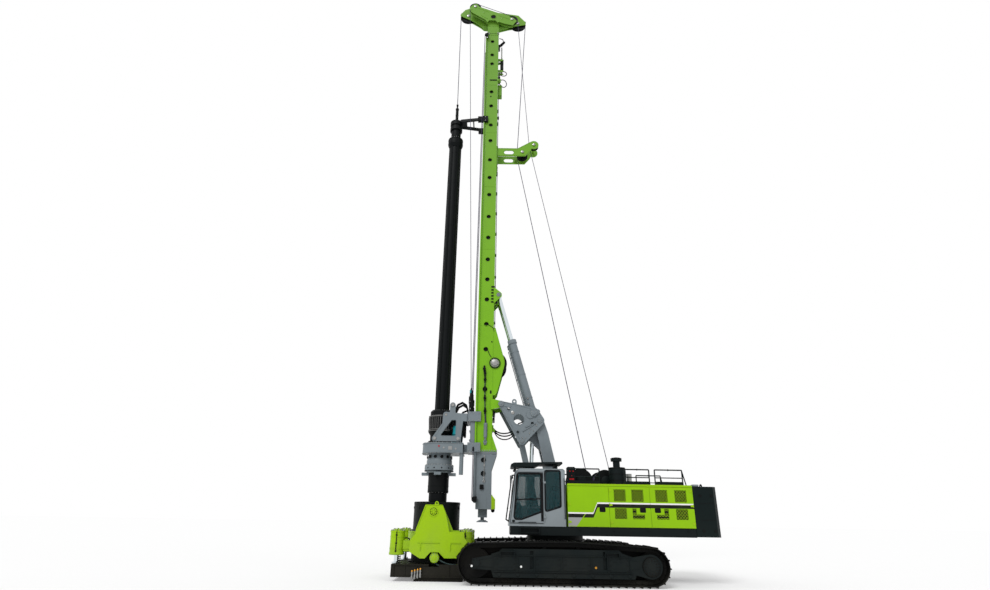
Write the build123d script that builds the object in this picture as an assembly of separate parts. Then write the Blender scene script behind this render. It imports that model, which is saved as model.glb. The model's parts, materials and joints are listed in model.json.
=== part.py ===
from build123d import *
import os
from math import atan2, cos, hypot, pi, radians, sin, sqrt, tan

# Rotary piling rig with kelly bar and front-mounted casing oscillator.
# Millimetres. +Z up, the mast stands towards -X, the cab is on the -Y side.
# All X values below are counted from the slew axis; the finished solids are shifted
# by ORIGIN_SHIFT so that the row's origin is the middle of the footprint on the ground.


# ---- running clearances -------------------------------------------------------
SEAT = 0.3             # gap between pieces that rest on each other
PIN_GAP = 1.0          # radial gap between a pin and its eye
ROD_EYE_GAP = 6        # play of the mast cylinder rods at their open pivot
LUFF_EYE_GAP = 10      # play of the luffing cylinder rod at its open pivot
FIT = 0.5              # running gap of rods, bearings and slewing ring
SHOE_GAP = 0.8         # gap between a guide shoe and its rail
SLIDE_GAP = 6.0        # gap between pieces that pass each other
DOOR_GAP = 8.0         # gap round a door
FACE_GAP = 6.0         # side gap between hinged plates


# ---- crawler undercarriage ----------------------------------------------------
TRACK_LENGTH = 6100
TRACK_SPREAD = 4500    # over both tracks
SHOE_WIDTH = 800
SHOE_PITCH = 216
SHOE_THICK = 32
GROUSER = 34           # bar height above the shoe
LINK_HEIGHT = 120
LINK_WIDTH = 250
IDLER_R = 575          # over the grousers
SPROCKET_R = 545
CARRIER_TOP = 1200     # top run over the carrier rollers
CARRIER_X = (-520, 470)
CARRIER_R, ROLLER_R = 70, 105
ROLLER_COUNT, ROLLER_FIRST, ROLLER_PITCH = 8, -1830, 530
FRAME_HIGH = 960
FRAME_WIDTH = 560
CAR_BODY_LOW, CAR_BODY_HIGH = 480, 1060
CROSS_BEAM_X = (-1060, 1030)
CROSS_BEAM_SIZE = 420
CAR_BODY_HALF = 1500
TRACK_Y = TRACK_SPREAD / 2 - SHOE_WIDTH / 2
BELT_INSIDE = GROUSER + SHOE_THICK + LINK_HEIGHT
PRONG = 60             # side plates of the track frame
BEAM_LOW = BELT_INSIDE + 2 * (ROLLER_R + SEAT)
BEAM_HIGH = CARRIER_TOP - BELT_INSIDE - 2 * (CARRIER_R + SEAT)
IDLER_X, SPROCKET_X = -TRACK_LENGTH / 2 + IDLER_R, TRACK_LENGTH / 2 - SPROCKET_R
FINAL_DRIVE_R = 250
GUARD_LOW, GUARD_T = 215, 25    # plates that cover the rollers
RING_R = 900
DECK_LOW, DECK_HIGH = 1310, 1560


# ---- upper structure ----------------------------------------------------------
UPPER_WIDTH = 3000
CAB_FRONT, CAB_REAR = -1550, 205
CAB_WIDTH = 960
CAB_HEIGHT = 1670
CAB_SLOPE = 225        # the front pillars lean back by this much
CAB_WALL = 55
CAB_EDGE_R = 45
CAB_Y0 = -UPPER_WIDTH / 2
CAB_Y1 = CAB_Y0 + CAB_WIDTH
CAB_LOW = DECK_HIGH + SEAT
CAB_TOP = CAB_LOW + CAB_HEIGHT
HINGE_X, HINGE_OUT, KNUCKLE_R = -467, 20, 18
KNUCKLES = (1790, 2790)    # lower ends of the fixed knuckles
HOOD_FRONT, HOOD_REAR = 260, 4130
HOOD_TOP = 2790
HOOD_WALL = 50
DOOR_EDGES = (260, 1530, 2795, 4130)
# middle and half width of the grilles on each door
GRILLES = (None, ((1873, 182), (2418, 184)), ((3156, 186), (3745, 182)))
GRILLE_ROWS = ((1802, 2104), (2301, 2651))
GRILLE_DEPTH = 30
HANDLES = (1318, 2552, 3008)       # middle of each door's handle
HANDLE_Z, HANDLE_W, HANDLE_H = 2056, 170, 120
HANDLE_CLEAR = 110                 # panel left plain beyond the handle
WINCHES = [(850, 2950, 300), (1650, 2950, 270)]   # X, Z and drum radius
WINCH_AXLE_R = 60
CW_REAR = 4890
CW_LOW = 1325
CW_HIGH = 2770


# ---- boom linkage (side view pivots, X and Z) ---------------------------------
BOOM_FOOT = (100, 2400)
BOOM_TOP = (-470, 4880)
LINK_OFFSET = (-610, -692)     # link pivots from the boom pivots
LINK_FOOT = (BOOM_FOOT[0] + LINK_OFFSET[0], BOOM_FOOT[1] + LINK_OFFSET[1])
LINK_TOP = (BOOM_TOP[0] + LINK_OFFSET[0], BOOM_TOP[1] + LINK_OFFSET[1])
LUFF_FOOT = (-830, 1720)
LUFF_TOP = (-700, 4330)
TRUNNION = (-683, 5120)
TILT_PIVOT = (-1800, 5430)
ROD_EYE = (-1930, 9532)
LIFTING_EYE = (-1344, 5520)
LIFTING_BORE_R = 35
BOOM_ARM_Y, BOOM_ARM_W = 330, 170
BOOM_OUT = BOOM_ARM_Y + BOOM_ARM_W / 2
BOOM_HALF = 185        # half height of a boom arm's side
CRADLE_Y, CRADLE_T = 500, 50
CYL_Y = 300
# pin radii
FOOT_PIN_R = 45        # boom, link and luffing cylinder on the platform
LUFF_TOP_PIN_R = 40
BOOM_TOP_PIN_R = 60
LINK_TOP_PIN_R = 45
TRUNNION_R = 90
TILT_PIN_R = 70
ROD_EYE_PIN_R = 55
LUFF_BARREL_R, LUFF_ROD_R = 130, 70
MAST_BARREL_R, MAST_ROD_R = 140, 75
HOSE_BLOCK_Y = (-290, 20)
HOSE_FITTING = 100     # length of the fitting at each end of a hanging hose
# hanging hoses: Y, diameter and points in the side view, from the mast to the cradle
MAST_HOSES = ((-250, 38, ((-2020, 4520), (-1965, 4410), (-1880, 4322), (-1765, 4272), (-1640, 4262),
                          (-1520, 4290), (-1420, 4352), (-1345, 4440))),
              (-130, 45, ((-2020, 4570), (-1955, 4490), (-1865, 4430), (-1755, 4397), (-1640, 4392),
                          (-1525, 4412), (-1420, 4455), (-1340, 4516))),
              (-20, 45, ((-2020, 4625), (-1940, 4560), (-1845, 4518), (-1740, 4500), (-1630, 4502),
                         (-1525, 4522), (-1430, 4556), (-1345, 4605))))


# ---- mast ---------------------------------------------------------------------
MAST_FRONT, MAST_REAR = -2600, -2090
LOWER_REAR = -2085
JOINT_REAR = -1920     # joint flanges reach back to here
MAST_WIDTH = 800
MAST_WALL = 30
MAST_FOOT, MAST_JOINT, MAST_TOP = 2040, 3850, 22650
FOLD_Z = 19880         # axis of the transport hinge
RAIL_FRONT, RAIL_BACK = -2680, -2636
RAIL_HALF = 70         # the rails reach this far inside and outside the mast's faces
RAIL_IN, RAIL_OUT = MAST_WIDTH / 2 - RAIL_HALF, MAST_WIDTH / 2 + RAIL_HALF
HOLE_R = 85
MAST_HOLES = [5960, 7416, 8374, 9347, 10170, 11010, 11960, 12900, 13920, 14741, 15613, 16587, 17410, 18437,
              19214, 20832, 21358, 22165]
CROWD_WINCH = (-2035, 6900)
CROWD_DRUM_R = 290
CROWD_FLANGE_R = 430
CROWD_AXLE_R = 50
SHEAVE_R = 370
SHEAVE_PIN_R, AUX_PIN_R, DEFLECTOR_PIN_R = 50, 45, 40
SHEAVE_GAP = 60        # cheeks stand this far from the middle of a main sheave
FRONT_SHEAVE = (-3550, 24100)
REAR_SHEAVE = (-1185, 23660)
AUX_SHEAVE_R = 270
AUX_FRONT = (-3212, 24270)
AUX_REAR = (-1475, 23494)
AUX_Y = -400
DEFLECTOR_SHEAVE = (-1011, 16101)
AUX_DEFLECTOR = (-525, 16480)
DEFLECTOR_R, DEFLECTOR_Y = 230, 300
AUX_DEFLECTOR_R, AUX_DEFLECTOR_Y = 200, -170


# ---- kelly, drive, casing -----------------------------------------------------
KELLY_X = -3870
KELLY_R = 235
KEY_HEIGHT, KEY_WIDTH = 20, 70
KEY_COUNT = 6
COLLAR_R, COLLAR_TOP = 300, 2520
CASING_R, CASING_WALL = 750, 45
CASING_LOW, CASING_TOP = 140, 2235
KELLY_FOOT = CASING_TOP + 20
KELLY_HEAD, KELLY_HEAD_R = 16420, 312
STUB_R = 120           # kelly stub in its head bearing
GUIDE_RING, GUIDE_CAP = 17330, 17860
GUIDE_LOW, GUIDE_TOP = 17180, 18080
DRIVE_LOW, DRIVE_HIGH = 3770, 4100
SLEEVE_R = 345
CLAW_FRONT, CLAW_REAR = -2919, -2485
CLAW_TOP = 5160
FRAME_OUT = 560        # half width over the drive's side frames
BEAM_FRONT = -3300                             # cross beam of the carriage
FOOT_PINS = ((-4024, 4231), (-3236, 4231))     # pins that hold the gearbox, X and Z


# ---- oscillator ---------------------------------------------------------------
OSC_FRONT = -5040
OSC_HALF_WIDTH = 1290
OSC_BASE_LOW, OSC_BASE_HIGH = 114, 460
SKID_FRONT = -4350
SIDE_PLATE_T = 300

LIFT_DRUM_R, LIFT_ROD_R = 232, 70
LIFT_ROD_TOP = 1210
LIFT_DROP = 100        # the lift frame goes this far below its place
DRUM_LOW, DRUM_TOP = 694, 1370
CLAMP_CYL = (-3765, 640, 130)  # clamp cylinder under the side plate: X, Z, radius
POST_FRONT_X, POST_REAR_X, POST_Y = KELLY_X - 1090, KELLY_X + 1010, 900
LIFT_POSTS = [(x, y) for x in (POST_FRONT_X, POST_REAR_X) for y in (-POST_Y, POST_Y)]
OSC_REAR = 2 * KELLY_X - OSC_FRONT
TABLE_LOW, TABLE_TOP = 800, 900
SIDE_PLATE = [  # X and Z round the tall side plate
    (-4528, 800), (-4528, 1110), (-4375, 1290), (-4365, 1430), (-4118, 2125), (-3590, 2125), (-3250, 1400),
    (-2895, 1400), (-2880, 1200), (-2780, 1090), (-3112, 690), (-3090, 635), (-3458, 630), (-3635, 795),
    (-3887, 795), (-4055, 620), (-4202, 620)]

ORIGIN_SHIFT = -(POST_FRONT_X - LIFT_DRUM_R + CW_REAR) / 2

MIN, MID = Align.MIN, Align.CENTER


# ---- shape helpers ------------------------------------------------------------
def block(x0, x1, y0, y1, z0, z1):
    """Box between two corners."""
    return Pos((x0 + x1) / 2, (y0 + y1) / 2, (z0 + z1) / 2) * Box(x1 - x0, y1 - y0, z1 - z0)


def side_prism(points, y0, y1):
    """Prism between two Y planes whose outline is given in the side view (X, Z)."""
    face = make_face(Polyline(*points, close=True))
    return Pos(0, y1, 0) * extrude(Plane.XZ * face, y1 - y0)


def hull_plate(circles, y0, y1):
    """Plate between two Y planes whose outline wraps circles given as (x, z, radius)."""
    rounds = Sketch() + [Pos(x, z) * Circle(r) for x, z, r in circles]
    return Pos(0, y1, 0) * extrude(Plane.XZ * make_hull(rounds.edges()), y1 - y0)


def rounded_prism(points, radius, y0, y1):
    """Prism between two Y planes with every corner of its side outline rounded."""
    face = make_face(Polyline(*points, close=True))
    return Pos(0, y1, 0) * extrude(Plane.XZ * fillet(face.vertices(), radius), y1 - y0)


def turned(x, y, profile):
    """Solid of revolution about the vertical axis at x, y from (radius, z) points."""
    face = make_face(Plane.XZ * Polyline(*profile, close=True))
    return Pos(x, y, 0) * revolve(face, Axis.Z)


def bar(start, end, radius):
    """Round bar from one point to another."""
    way = Vector(*end) - Vector(*start)
    place = Plane(origin=start, z_dir=way).location
    return place * Cylinder(radius, way.length, align=(MID, MID, MIN))


def cross_bar(x, z, radius, y0, y1):
    """Round bar along Y."""
    return bar((x, y0, z), (x, y1, z), radius)


def upright(x, y, radius, z0, z1):
    """Round bar along Z."""
    return bar((x, y, z0), (x, y, z1), radius)


def ring(x, y, outer, inner, z0, z1):
    """Round ring about a vertical axis."""
    return upright(x, y, outer, z0, z1) - upright(x, y, inner, z0 - 1, z1 + 1)


def both_sides(shape):
    """A shape and its mirror image across the machine's centre plane."""
    return shape + mirror(shape, about=Plane.XZ)


def pair(shape):
    """A shape and its mirror image as a list of separate solids."""
    return [shape, mirror(shape, about=Plane.XZ)]


def joined(shapes):
    """All shapes fused into one."""
    shapes = list(shapes)
    return shapes[0] + shapes[1:] if len(shapes) > 1 else shapes[0]


# ---- belt round wheels --------------------------------------------------------
def belt(wheels):
    """Runs of a belt round wheels (x, z, radius) listed counter-clockwise.

    Returns a list of (length, function) where function(s) gives (x, z, nx, nz).
    """
    normals = []
    count = len(wheels)
    for i in range(count):
        (x1, z1, r1), (x2, z2, r2) = wheels[i], wheels[(i + 1) % count]
        gap = hypot(x2 - x1, z2 - z1)
        ux, uz = (x2 - x1) / gap, (z2 - z1) / gap
        lean = (r1 - r2) / gap
        across = sqrt(1 - lean * lean)
        normals.append((ux * lean + uz * across, uz * lean - ux * across))
    runs = []
    for i in range(count):
        x, z, r = wheels[i]
        before, after = normals[i - 1], normals[i]
        start = atan2(before[1], before[0])
        turn = (atan2(after[1], after[0]) - start) % (2 * pi)

        def arc(s, x=x, z=z, r=r, start=start):
            a = start + s / r
            return x + r * cos(a), z + r * sin(a), cos(a), sin(a)

        runs.append((r * turn, arc))
        nx, nz = after
        x2, z2, r2 = wheels[(i + 1) % count]
        px, pz = x + r * nx, z + r * nz
        qx, qz = x2 + r2 * nx, z2 + r2 * nz
        length = hypot(qx - px, qz - pz)

        def straight(s, px=px, pz=pz, qx=qx, qz=qz, nx=nx, nz=nz, length=length):
            t = s / length
            return px + (qx - px) * t, pz + (qz - pz) * t, nx, nz

        runs.append((length, straight))
    return runs


def along(runs, s):
    """Point and outward normal at distance s along a belt."""
    for length, at in runs:
        if s <= length:
            return at(s)
        s -= length
    return runs[0][1](0)


def track_wheels(inset):
    """The wheels of a track loop, with every radius reduced by inset."""
    front = (-TRACK_LENGTH / 2 + IDLER_R, IDLER_R, IDLER_R - inset)
    rear = (TRACK_LENGTH / 2 - SPROCKET_R, SPROCKET_R, SPROCKET_R - inset)
    tops = [(x, CARRIER_TOP - 250, 250 - inset) for x in reversed(CARRIER_X)]
    return [front, rear] + tops


def loop_face(inset):
    """Face inside the track loop, reduced by inset."""
    rounds = Sketch() + [Pos(x, z) * Circle(r) for x, z, r in track_wheels(inset)]
    return make_hull(rounds.edges())


def track_loop(y_mid):
    """Chain loop with one grouser bar on every shoe."""
    runs = belt(track_wheels(GROUSER))
    total = sum(length for length, _ in runs)
    count = round(total / SHOE_PITCH)
    pitch = total / count
    # offsets along the shoe (share of pitch) and heights over the plate
    shoe = ((0.04, 0), (0.10, GROUSER), (0.20, GROUSER), (0.26, 0), (0.96, 0), (0.98, -12))
    outline = []
    for k in range(count):
        for share, height in shoe:
            x, z, nx, nz = along(runs, (k + share) * pitch)
            outline.append((x + nx * height, z + nz * height))
    plates = make_face(Polyline(*outline, close=True)) - loop_face(GROUSER + SHOE_THICK)
    chain = loop_face(GROUSER + SHOE_THICK - 8) - loop_face(GROUSER + SHOE_THICK + LINK_HEIGHT)
    band = extrude(Plane.XZ * plates, SHOE_WIDTH / 2, both=True)
    links = extrude(Plane.XZ * chain, LINK_WIDTH / 2, both=True)
    return Pos(0, y_mid, 0) * (band + links)


def wheel(x, z, radius, width, y_mid, hub, hub_half):
    """Wheel on a Y axis with a hub reaching hub_half to both sides."""
    disc = cross_bar(x, z, radius, y_mid - width / 2, y_mid + width / 2)
    return disc + cross_bar(x, z, hub, y_mid - hub_half, y_mid + hub_half)


def rollers(y_mid):
    """Idler, sprocket, bottom rollers and carrier rollers of one track."""
    idler, sprocket = track_wheels(BELT_INSIDE + SEAT)[:2]
    inner = FRAME_WIDTH / 2 - PRONG - SEAT
    found = [wheel(*idler, 160, y_mid, 130, inner),
             wheel(*sprocket, 160, y_mid, FINAL_DRIVE_R, FRAME_WIDTH / 2 + 40)]
    for k in range(ROLLER_COUNT):
        x = ROLLER_FIRST + k * ROLLER_PITCH
        found.append(wheel(x, BELT_INSIDE + SEAT + ROLLER_R, ROLLER_R, 180, y_mid, 60, 115))
    for x in CARRIER_X:
        found.append(wheel(x, BEAM_HIGH + SEAT + CARRIER_R, CARRIER_R, 180, y_mid, 40, 110))
    return found


def track_frame(y_mid):
    """Side frame: box girder, roller guards, idler fork in front and gear plates behind."""
    y0, y1 = y_mid - FRAME_WIDTH / 2, y_mid + FRAME_WIDTH / 2
    front, rear = IDLER_X + 420, SPROCKET_X - 420
    outline = [(front, BEAM_LOW), (front, BEAM_HIGH - 60), (front + 200, BEAM_HIGH),
               (rear - 380, BEAM_HIGH), (rear, BEAM_HIGH - 120), (rear, BEAM_LOW)]
    frame = side_prism(outline, y0, y1)
    for x in CROSS_BEAM_X:
        frame += block(x - 240, x + 240, y0, y1, BEAM_LOW, FRAME_HIGH)
    for side in (y0, y1 - PRONG):
        frame += side_prism([(IDLER_X - 130, BEAM_LOW + 30), (IDLER_X - 130, BEAM_HIGH - 180),
                             (front + 30, BEAM_HIGH - 80), (front + 30, BEAM_LOW)], side, side + PRONG)
        frame += hull_plate([(SPROCKET_X, SPROCKET_R, 320), (SPROCKET_X - 600, SPROCKET_R + 20, 200)],
                            side, side + PRONG)
    for side in (y0, y1 - GUARD_T):
        frame += side_prism([(front + 200, BEAM_HIGH - 1), (front + 300, FRAME_HIGH),
                             (rear - 480, FRAME_HIGH), (rear - 380, BEAM_HIGH - 1)], side, side + GUARD_T)
        frame += side_prism([(front, BEAM_LOW + 1), (front + 60, GUARD_LOW), (rear - 60, GUARD_LOW),
                             (rear, BEAM_LOW + 1)], side, side + GUARD_T)
    for x in CROSS_BEAM_X:
        for side in (y0 - 1, y1 - 69):
            frame -= block(x + 110, x + 210, side, side + 70, BEAM_LOW + 50, FRAME_HIGH - 50)
    return frame - cross_bar(SPROCKET_X, SPROCKET_R, FINAL_DRIVE_R + SLIDE_GAP, y0 - 5, y1 + 5)


def car_body():
    """Centre frame with its cross beams and the slewing ring seat."""
    half = TRACK_Y - FRAME_WIDTH / 2 - SEAT
    end = CAR_BODY_HALF
    body = side_prism([(-end, 620), (-end + 350, CAR_BODY_LOW), (end - 350, CAR_BODY_LOW), (end, 620),
                       (end, 940), (end - 450, CAR_BODY_HIGH), (450 - end, CAR_BODY_HIGH), (-end, 940)],
                      -900, 900)
    for x in CROSS_BEAM_X:
        s = CROSS_BEAM_SIZE / 2
        body += block(x - s, x + s, -half, half, 560, 560 + CROSS_BEAM_SIZE)
    return body + upright(0, 0, RING_R - 40, CAR_BODY_HIGH - 10, CAR_BODY_HIGH + 60)


# ---- oscillator ---------------------------------------------------------------
def oscillator_base():
    """Ground frame round the casing, joined to the undercarriage by two arms."""
    w = OSC_HALF_WIDTH
    base = block(OSC_FRONT, OSC_REAR, -w, w, OSC_BASE_LOW, OSC_BASE_HIGH)
    base += block(SKID_FRONT, OSC_REAR - 200, -w + 60, w - 60, 0, OSC_BASE_LOW + 5)
    base -= upright(KELLY_X, 0, CASING_R + 90, -1, OSC_BASE_HIGH + 1)
    x, z, r = CLAMP_CYL
    pocket = block(x - r - 20, x + r + 20, -w - 1, -w + 540, z - r - LIFT_DROP - 15, OSC_BASE_HIGH + 1)
    base -= both_sides(pocket)
    front = -CAR_BODY_HALF - SEAT
    arm = side_prism([(OSC_REAR - 60, 200), (front - 450, 200), (front, 640), (front, 900),
                      (front - 600, 420), (OSC_REAR - 60, 420)], 430, 640)
    return base + both_sides(arm)


def lift_rods():
    """Rods of the four lift cylinders, standing on the base."""
    found = []
    for x, y in LIFT_POSTS:
        rod = upright(x, y, LIFT_ROD_R, OSC_BASE_HIGH + SEAT, LIFT_ROD_TOP)
        found.append(rod + upright(x, y, 130, OSC_BASE_HIGH + SEAT, 500))
    return found


def lift_cylinders():
    """Barrels of the four lift cylinders with their bolted lids."""
    found = []
    for x, y in LIFT_POSTS:
        barrel = turned(x, y, [(LIFT_ROD_R + FIT, DRUM_LOW), (LIFT_DRUM_R - 12, DRUM_LOW),
                               (LIFT_DRUM_R, DRUM_LOW + 12), (LIFT_DRUM_R, DRUM_LOW + 60),
                               (LIFT_DRUM_R - 10, DRUM_LOW + 70), (LIFT_DRUM_R - 10, DRUM_TOP - 40),
                               (LIFT_DRUM_R, DRUM_TOP - 40), (LIFT_DRUM_R, DRUM_TOP),
                               (LIFT_DRUM_R - 60, DRUM_TOP), (LIFT_DRUM_R - 80, DRUM_TOP + 25),
                               (0, DRUM_TOP + 25), (0, DRUM_TOP - 40), (LIFT_ROD_R + FIT, DRUM_TOP - 40)])
        found.append(barrel)
    return found


def lift_frame():
    """Lifting table with its two tall side plates, clamp cylinders and cylinder brackets."""
    out, inner = -OSC_HALF_WIDTH, -OSC_HALF_WIDTH + SIDE_PLATE_T
    plate = side_prism(SIDE_PLATE, out, inner)
    plate -= cross_bar(-3851, 1930, 118, out - 1, out + 14)
    plate -= side_prism([(-3535, 2126), (-3345, 1360), (-2890, 1360), (-2890, 1401), (-3240, 1401),
                         (-3580, 2126)], out - 1, out + 240)
    x, z, r = CLAMP_CYL
    plate += cross_bar(x, z, r, out + 40, inner + 180) + block(x - 90, x + 90, out + 60, inner, z, 830)
    plate += hull_plate([(-3769, 2178, 55), (-3769, 2100, 75)], out + 20, out + 60)
    plate -= cross_bar(-3769, 2178, 26, out, out + 80)
    frame = both_sides(plate)
    w = OSC_HALF_WIDTH - SIDE_PLATE_T
    table = block(KELLY_X - 900, KELLY_X + 900, -w - 10, w + 10, TABLE_LOW, TABLE_TOP)
    table -= upright(KELLY_X, 0, CASING_R + 110, 700, 1000)
    frame += table
    for x, y in LIFT_POSTS:
        inside = KELLY_X + (x - KELLY_X) * 0.6
        frame += block(min(x, inside), max(x, inside), y - 120, y + 120, 860, 1100)
        frame -= upright(x, y, LIFT_DRUM_R + SEAT, 600, 1500)
    return frame


def clamp_collar():
    """Clamping collar gripping the casing, with two oscillation lugs."""
    collar = ring(KELLY_X, 0, CASING_R + 130, CASING_R + SEAT, TABLE_TOP + SEAT, 1350)
    ear = block(KELLY_X - 120, KELLY_X + 120, CASING_R + 100, CASING_R + 190, 1000, 1280)
    return collar + both_sides(ear)


def casing():
    """Drill casing held by the collar."""
    return ring(KELLY_X, 0, CASING_R, CASING_R - CASING_WALL, CASING_LOW, CASING_TOP)


# ---- upper structure ----------------------------------------------------------
def slew_ring():
    """Outer race of the slewing ring."""
    return ring(0, 0, RING_R, RING_R - 120, CAR_BODY_HIGH + 60 + FIT, DECK_LOW - SEAT)


def boom_cheek():
    """One of the two girders that carry the boom foot."""
    y0 = BOOM_OUT + FACE_GAP
    return side_prism([(-1250, DECK_HIGH - 10), (-1000, 1900), (LINK_FOOT[0] - 150, 1900),
                       (BOOM_FOOT[0] - 220, BOOM_FOOT[1] + 60), (BOOM_FOOT[0] - 60, BOOM_FOOT[1] + 180),
                       (BOOM_FOOT[0] + 150, BOOM_FOOT[1] + 150), (1500, DECK_HIGH - 10)], y0, y0 + 60)


def upper_frame():
    """Slewing platform: deck, side sills and the two boom cheeks with their pins."""
    half = UPPER_WIDTH / 2
    deck = block(-1250, HOOD_REAR, -half + 15, half - 15, DECK_LOW, DECK_HIGH)
    deck += block(CAB_FRONT + 50, -1200, -half + 15, -half + CAB_WIDTH, DECK_LOW, DECK_HIGH)
    deck += both_sides(boom_cheek())
    for x, z in (LUFF_FOOT, LINK_FOOT, BOOM_FOOT):
        deck += cross_bar(x, z, FOOT_PIN_R, -BOOM_OUT - FACE_GAP - 30, BOOM_OUT + FACE_GAP + 30)
    return deck


def lean(z):
    """How far the cab's front pillars lean back at height z."""
    return CAB_SLOPE * (z - DECK_HIGH) / CAB_HEIGHT


DOOR_TOP, DOOR_POST, SILL = 3140, 40, 1760
DOOR_OUTLINE = [(CAB_FRONT + lean(CAB_LOW + 70) + DOOR_POST, CAB_LOW + 70),
                (CAB_FRONT + lean(DOOR_TOP) + DOOR_POST, DOOR_TOP), (-475, DOOR_TOP), (-475, CAB_LOW + 70)]
DOOR_WINDOW = [(-1372, 1830), (-1272, 3075), (-552, 3075), (-562, 1972), (-1150, SILL), (-1340, SILL)]
SIDE_WINDOW = [(-420, 1985), (-420, 3165), (45, 3165), (45, 2125)]
WINDOW_R = 45


def grown(points, gap):
    """Outline in the side view, offset outwards by gap."""
    return offset(make_face(Polyline(*points, close=True)), gap, kind=Kind.INTERSECTION)


def cab_shell():
    """Cab with rounded edges, its door opening and its windows cut."""
    front_top = CAB_FRONT + CAB_SLOPE
    outline = [(CAB_FRONT, CAB_LOW), (front_top - 8, CAB_TOP - 90), (front_top + 110, CAB_TOP),
               (CAB_REAR - 60, CAB_TOP), (CAB_REAR, CAB_TOP - 60), (CAB_REAR, CAB_LOW)]
    shell = side_prism(outline, CAB_Y0, CAB_Y1)
    uprights = shell.edges().filter_by(lambda edge: edge.bounding_box().size.Z > 1000)
    shell = fillet(uprights, CAB_EDGE_R)
    inner = offset(make_face(Polyline(*outline, close=True)), -CAB_WALL, kind=Kind.INTERSECTION)
    shell -= Pos(0, CAB_Y1 - CAB_WALL, 0) * extrude(Plane.XZ * inner, CAB_WIDTH - 2 * CAB_WALL)
    shell -= Pos(0, CAB_Y0 + CAB_WALL + 1, 0) * extrude(Plane.XZ * grown(DOOR_OUTLINE, DOOR_GAP),
                                                        CAB_WALL + 2)
    shell -= rounded_prism(SIDE_WINDOW, WINDOW_R, CAB_Y0 - 1, CAB_Y0 + CAB_WALL + 1)
    far_window = [(-1270, 2150), (-1190, 3060), (-500, 3060), (-500, 2150)]
    shell -= rounded_prism(far_window, WINDOW_R, CAB_Y1 - CAB_WALL - 1, CAB_Y1 + 1)
    shell -= block(CAB_FRONT - 50, front_top + 250, CAB_Y0 + 80, CAB_Y1 - 80, 2080, CAB_TOP - 110)
    shell -= block(CAB_FRONT - 50, CAB_FRONT + 160, CAB_Y0 + 80, CAB_Y1 - 80, CAB_LOW + 120, 1980)
    shell -= block(front_top + 200, -500, CAB_Y0 + 130, CAB_Y1 - 130, CAB_TOP - 100, CAB_TOP + 5)
    shell -= block(CAB_REAR - 100, CAB_REAR + 5, CAB_Y0 + 130, CAB_Y1 - 130, 2300, CAB_TOP - 150)
    return joined([shell] + [knuckle(z, z + 60, 60) for z in KNUCKLES])


def cab_visor():
    """Dark sun and debris visor over the roof, on two feet."""
    outline = [(-1455, 3268), (-1475, 3355), (-1380, 3400), (130, 3440), (140, 3385), (-560, 3370),
               (-720, 3290)]
    visor = side_prism(outline, CAB_Y0 + 10, CAB_Y1 - 10)
    for x in (-1000, -50):
        visor += block(x - 50, x + 50, CAB_Y0 + 200, CAB_Y1 - 200, CAB_TOP + SEAT, 3390)
    return visor


def knuckle(z0, z1, reach):
    """Hinge knuckle outside the cab wall, with a leaf that reaches sideways onto the panel."""
    y = CAB_Y0 - HINGE_OUT
    leaf = block(min(HINGE_X, HINGE_X + reach), max(HINGE_X, HINGE_X + reach), y - 8, CAB_Y0 + 2, z0, z1)
    return upright(HINGE_X, y, KNUCKLE_R, z0, z1) + leaf


def cab_door():
    """Driver's door, as thick as the cab wall, with its window cut and its knuckles."""
    door = side_prism(DOOR_OUTLINE, CAB_Y0, CAB_Y0 + CAB_WALL)
    door -= rounded_prism(DOOR_WINDOW, WINDOW_R, CAB_Y0 - 1, CAB_Y0 + CAB_WALL + 1)
    return joined([door] + [knuckle(z + 60 + SEAT, z + 120, -60) for z in KNUCKLES])


def pane(points, radius, y):
    """Glass pane set inside a window with rounded corners."""
    window = fillet(make_face(Polyline(*points, close=True)).vertices(), radius)
    return Pos(0, y + 4, 0) * extrude(Plane.XZ * offset(window, -SEAT), 8)


def door_glass():
    """Pane of the door."""
    return pane(DOOR_WINDOW, WINDOW_R, CAB_Y0 + CAB_WALL / 2)


def cab_interior():
    """Seat, console and steering levers seen through the glass."""
    y = (CAB_Y0 + CAB_Y1) / 2
    seat = block(-640, -140, y - 240, y + 240, CAB_LOW + CAB_WALL + SEAT, 2020)
    seat += side_prism([(-260, 2000), (-160, 2700), (-40, 2700), (-120, 2000)], y - 230, y + 230)
    console = block(-1330, -1180, CAB_Y0 + 120, CAB_Y1 - 120, CAB_LOW + CAB_WALL + SEAT, 2250)
    return [seat, console]


def engine_block():
    """Engine with its pumps as one block."""
    return block(2350, 3750, -450, 450, DECK_HIGH + SEAT, 2480)


def hood_shell():
    """Engine house: roof, bulkheads, corner posts and the winch well."""
    half = UPPER_WIDTH / 2
    shell = block(HOOD_FRONT, HOOD_REAR, -half, half, DECK_HIGH + SEAT, HOOD_TOP)
    shell -= block(HOOD_FRONT + HOOD_WALL, HOOD_REAR - HOOD_WALL, -half - 1, half + 1,
                   DECK_HIGH - 1, HOOD_TOP - HOOD_WALL)
    shell -= block(HOOD_FRONT - 1, 2150, -700, 700, DECK_HIGH - 1, HOOD_TOP + 1)
    for x in (DOOR_EDGES[1], DOOR_EDGES[2]):
        for y in (-half + HOOD_WALL + SEAT, half - HOOD_WALL - SEAT - 60):
            shell += block(x - 45, x + 45, y, y + 60, DECK_HIGH + SEAT, HOOD_TOP - HOOD_WALL + 1)
    for x0, x1 in ((HOOD_FRONT - 1, HOOD_FRONT + HOOD_WALL + 1), (HOOD_REAR - HOOD_WALL - 1, HOOD_REAR + 1)):
        for y0, y1 in ((-half - 1, -half + HOOD_WALL + SEAT), (half - HOOD_WALL - SEAT, half + 1)):
            shell -= block(x0, x1, y0, y1, DECK_HIGH - 1, HOOD_TOP - HOOD_WALL)
    return shell


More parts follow.
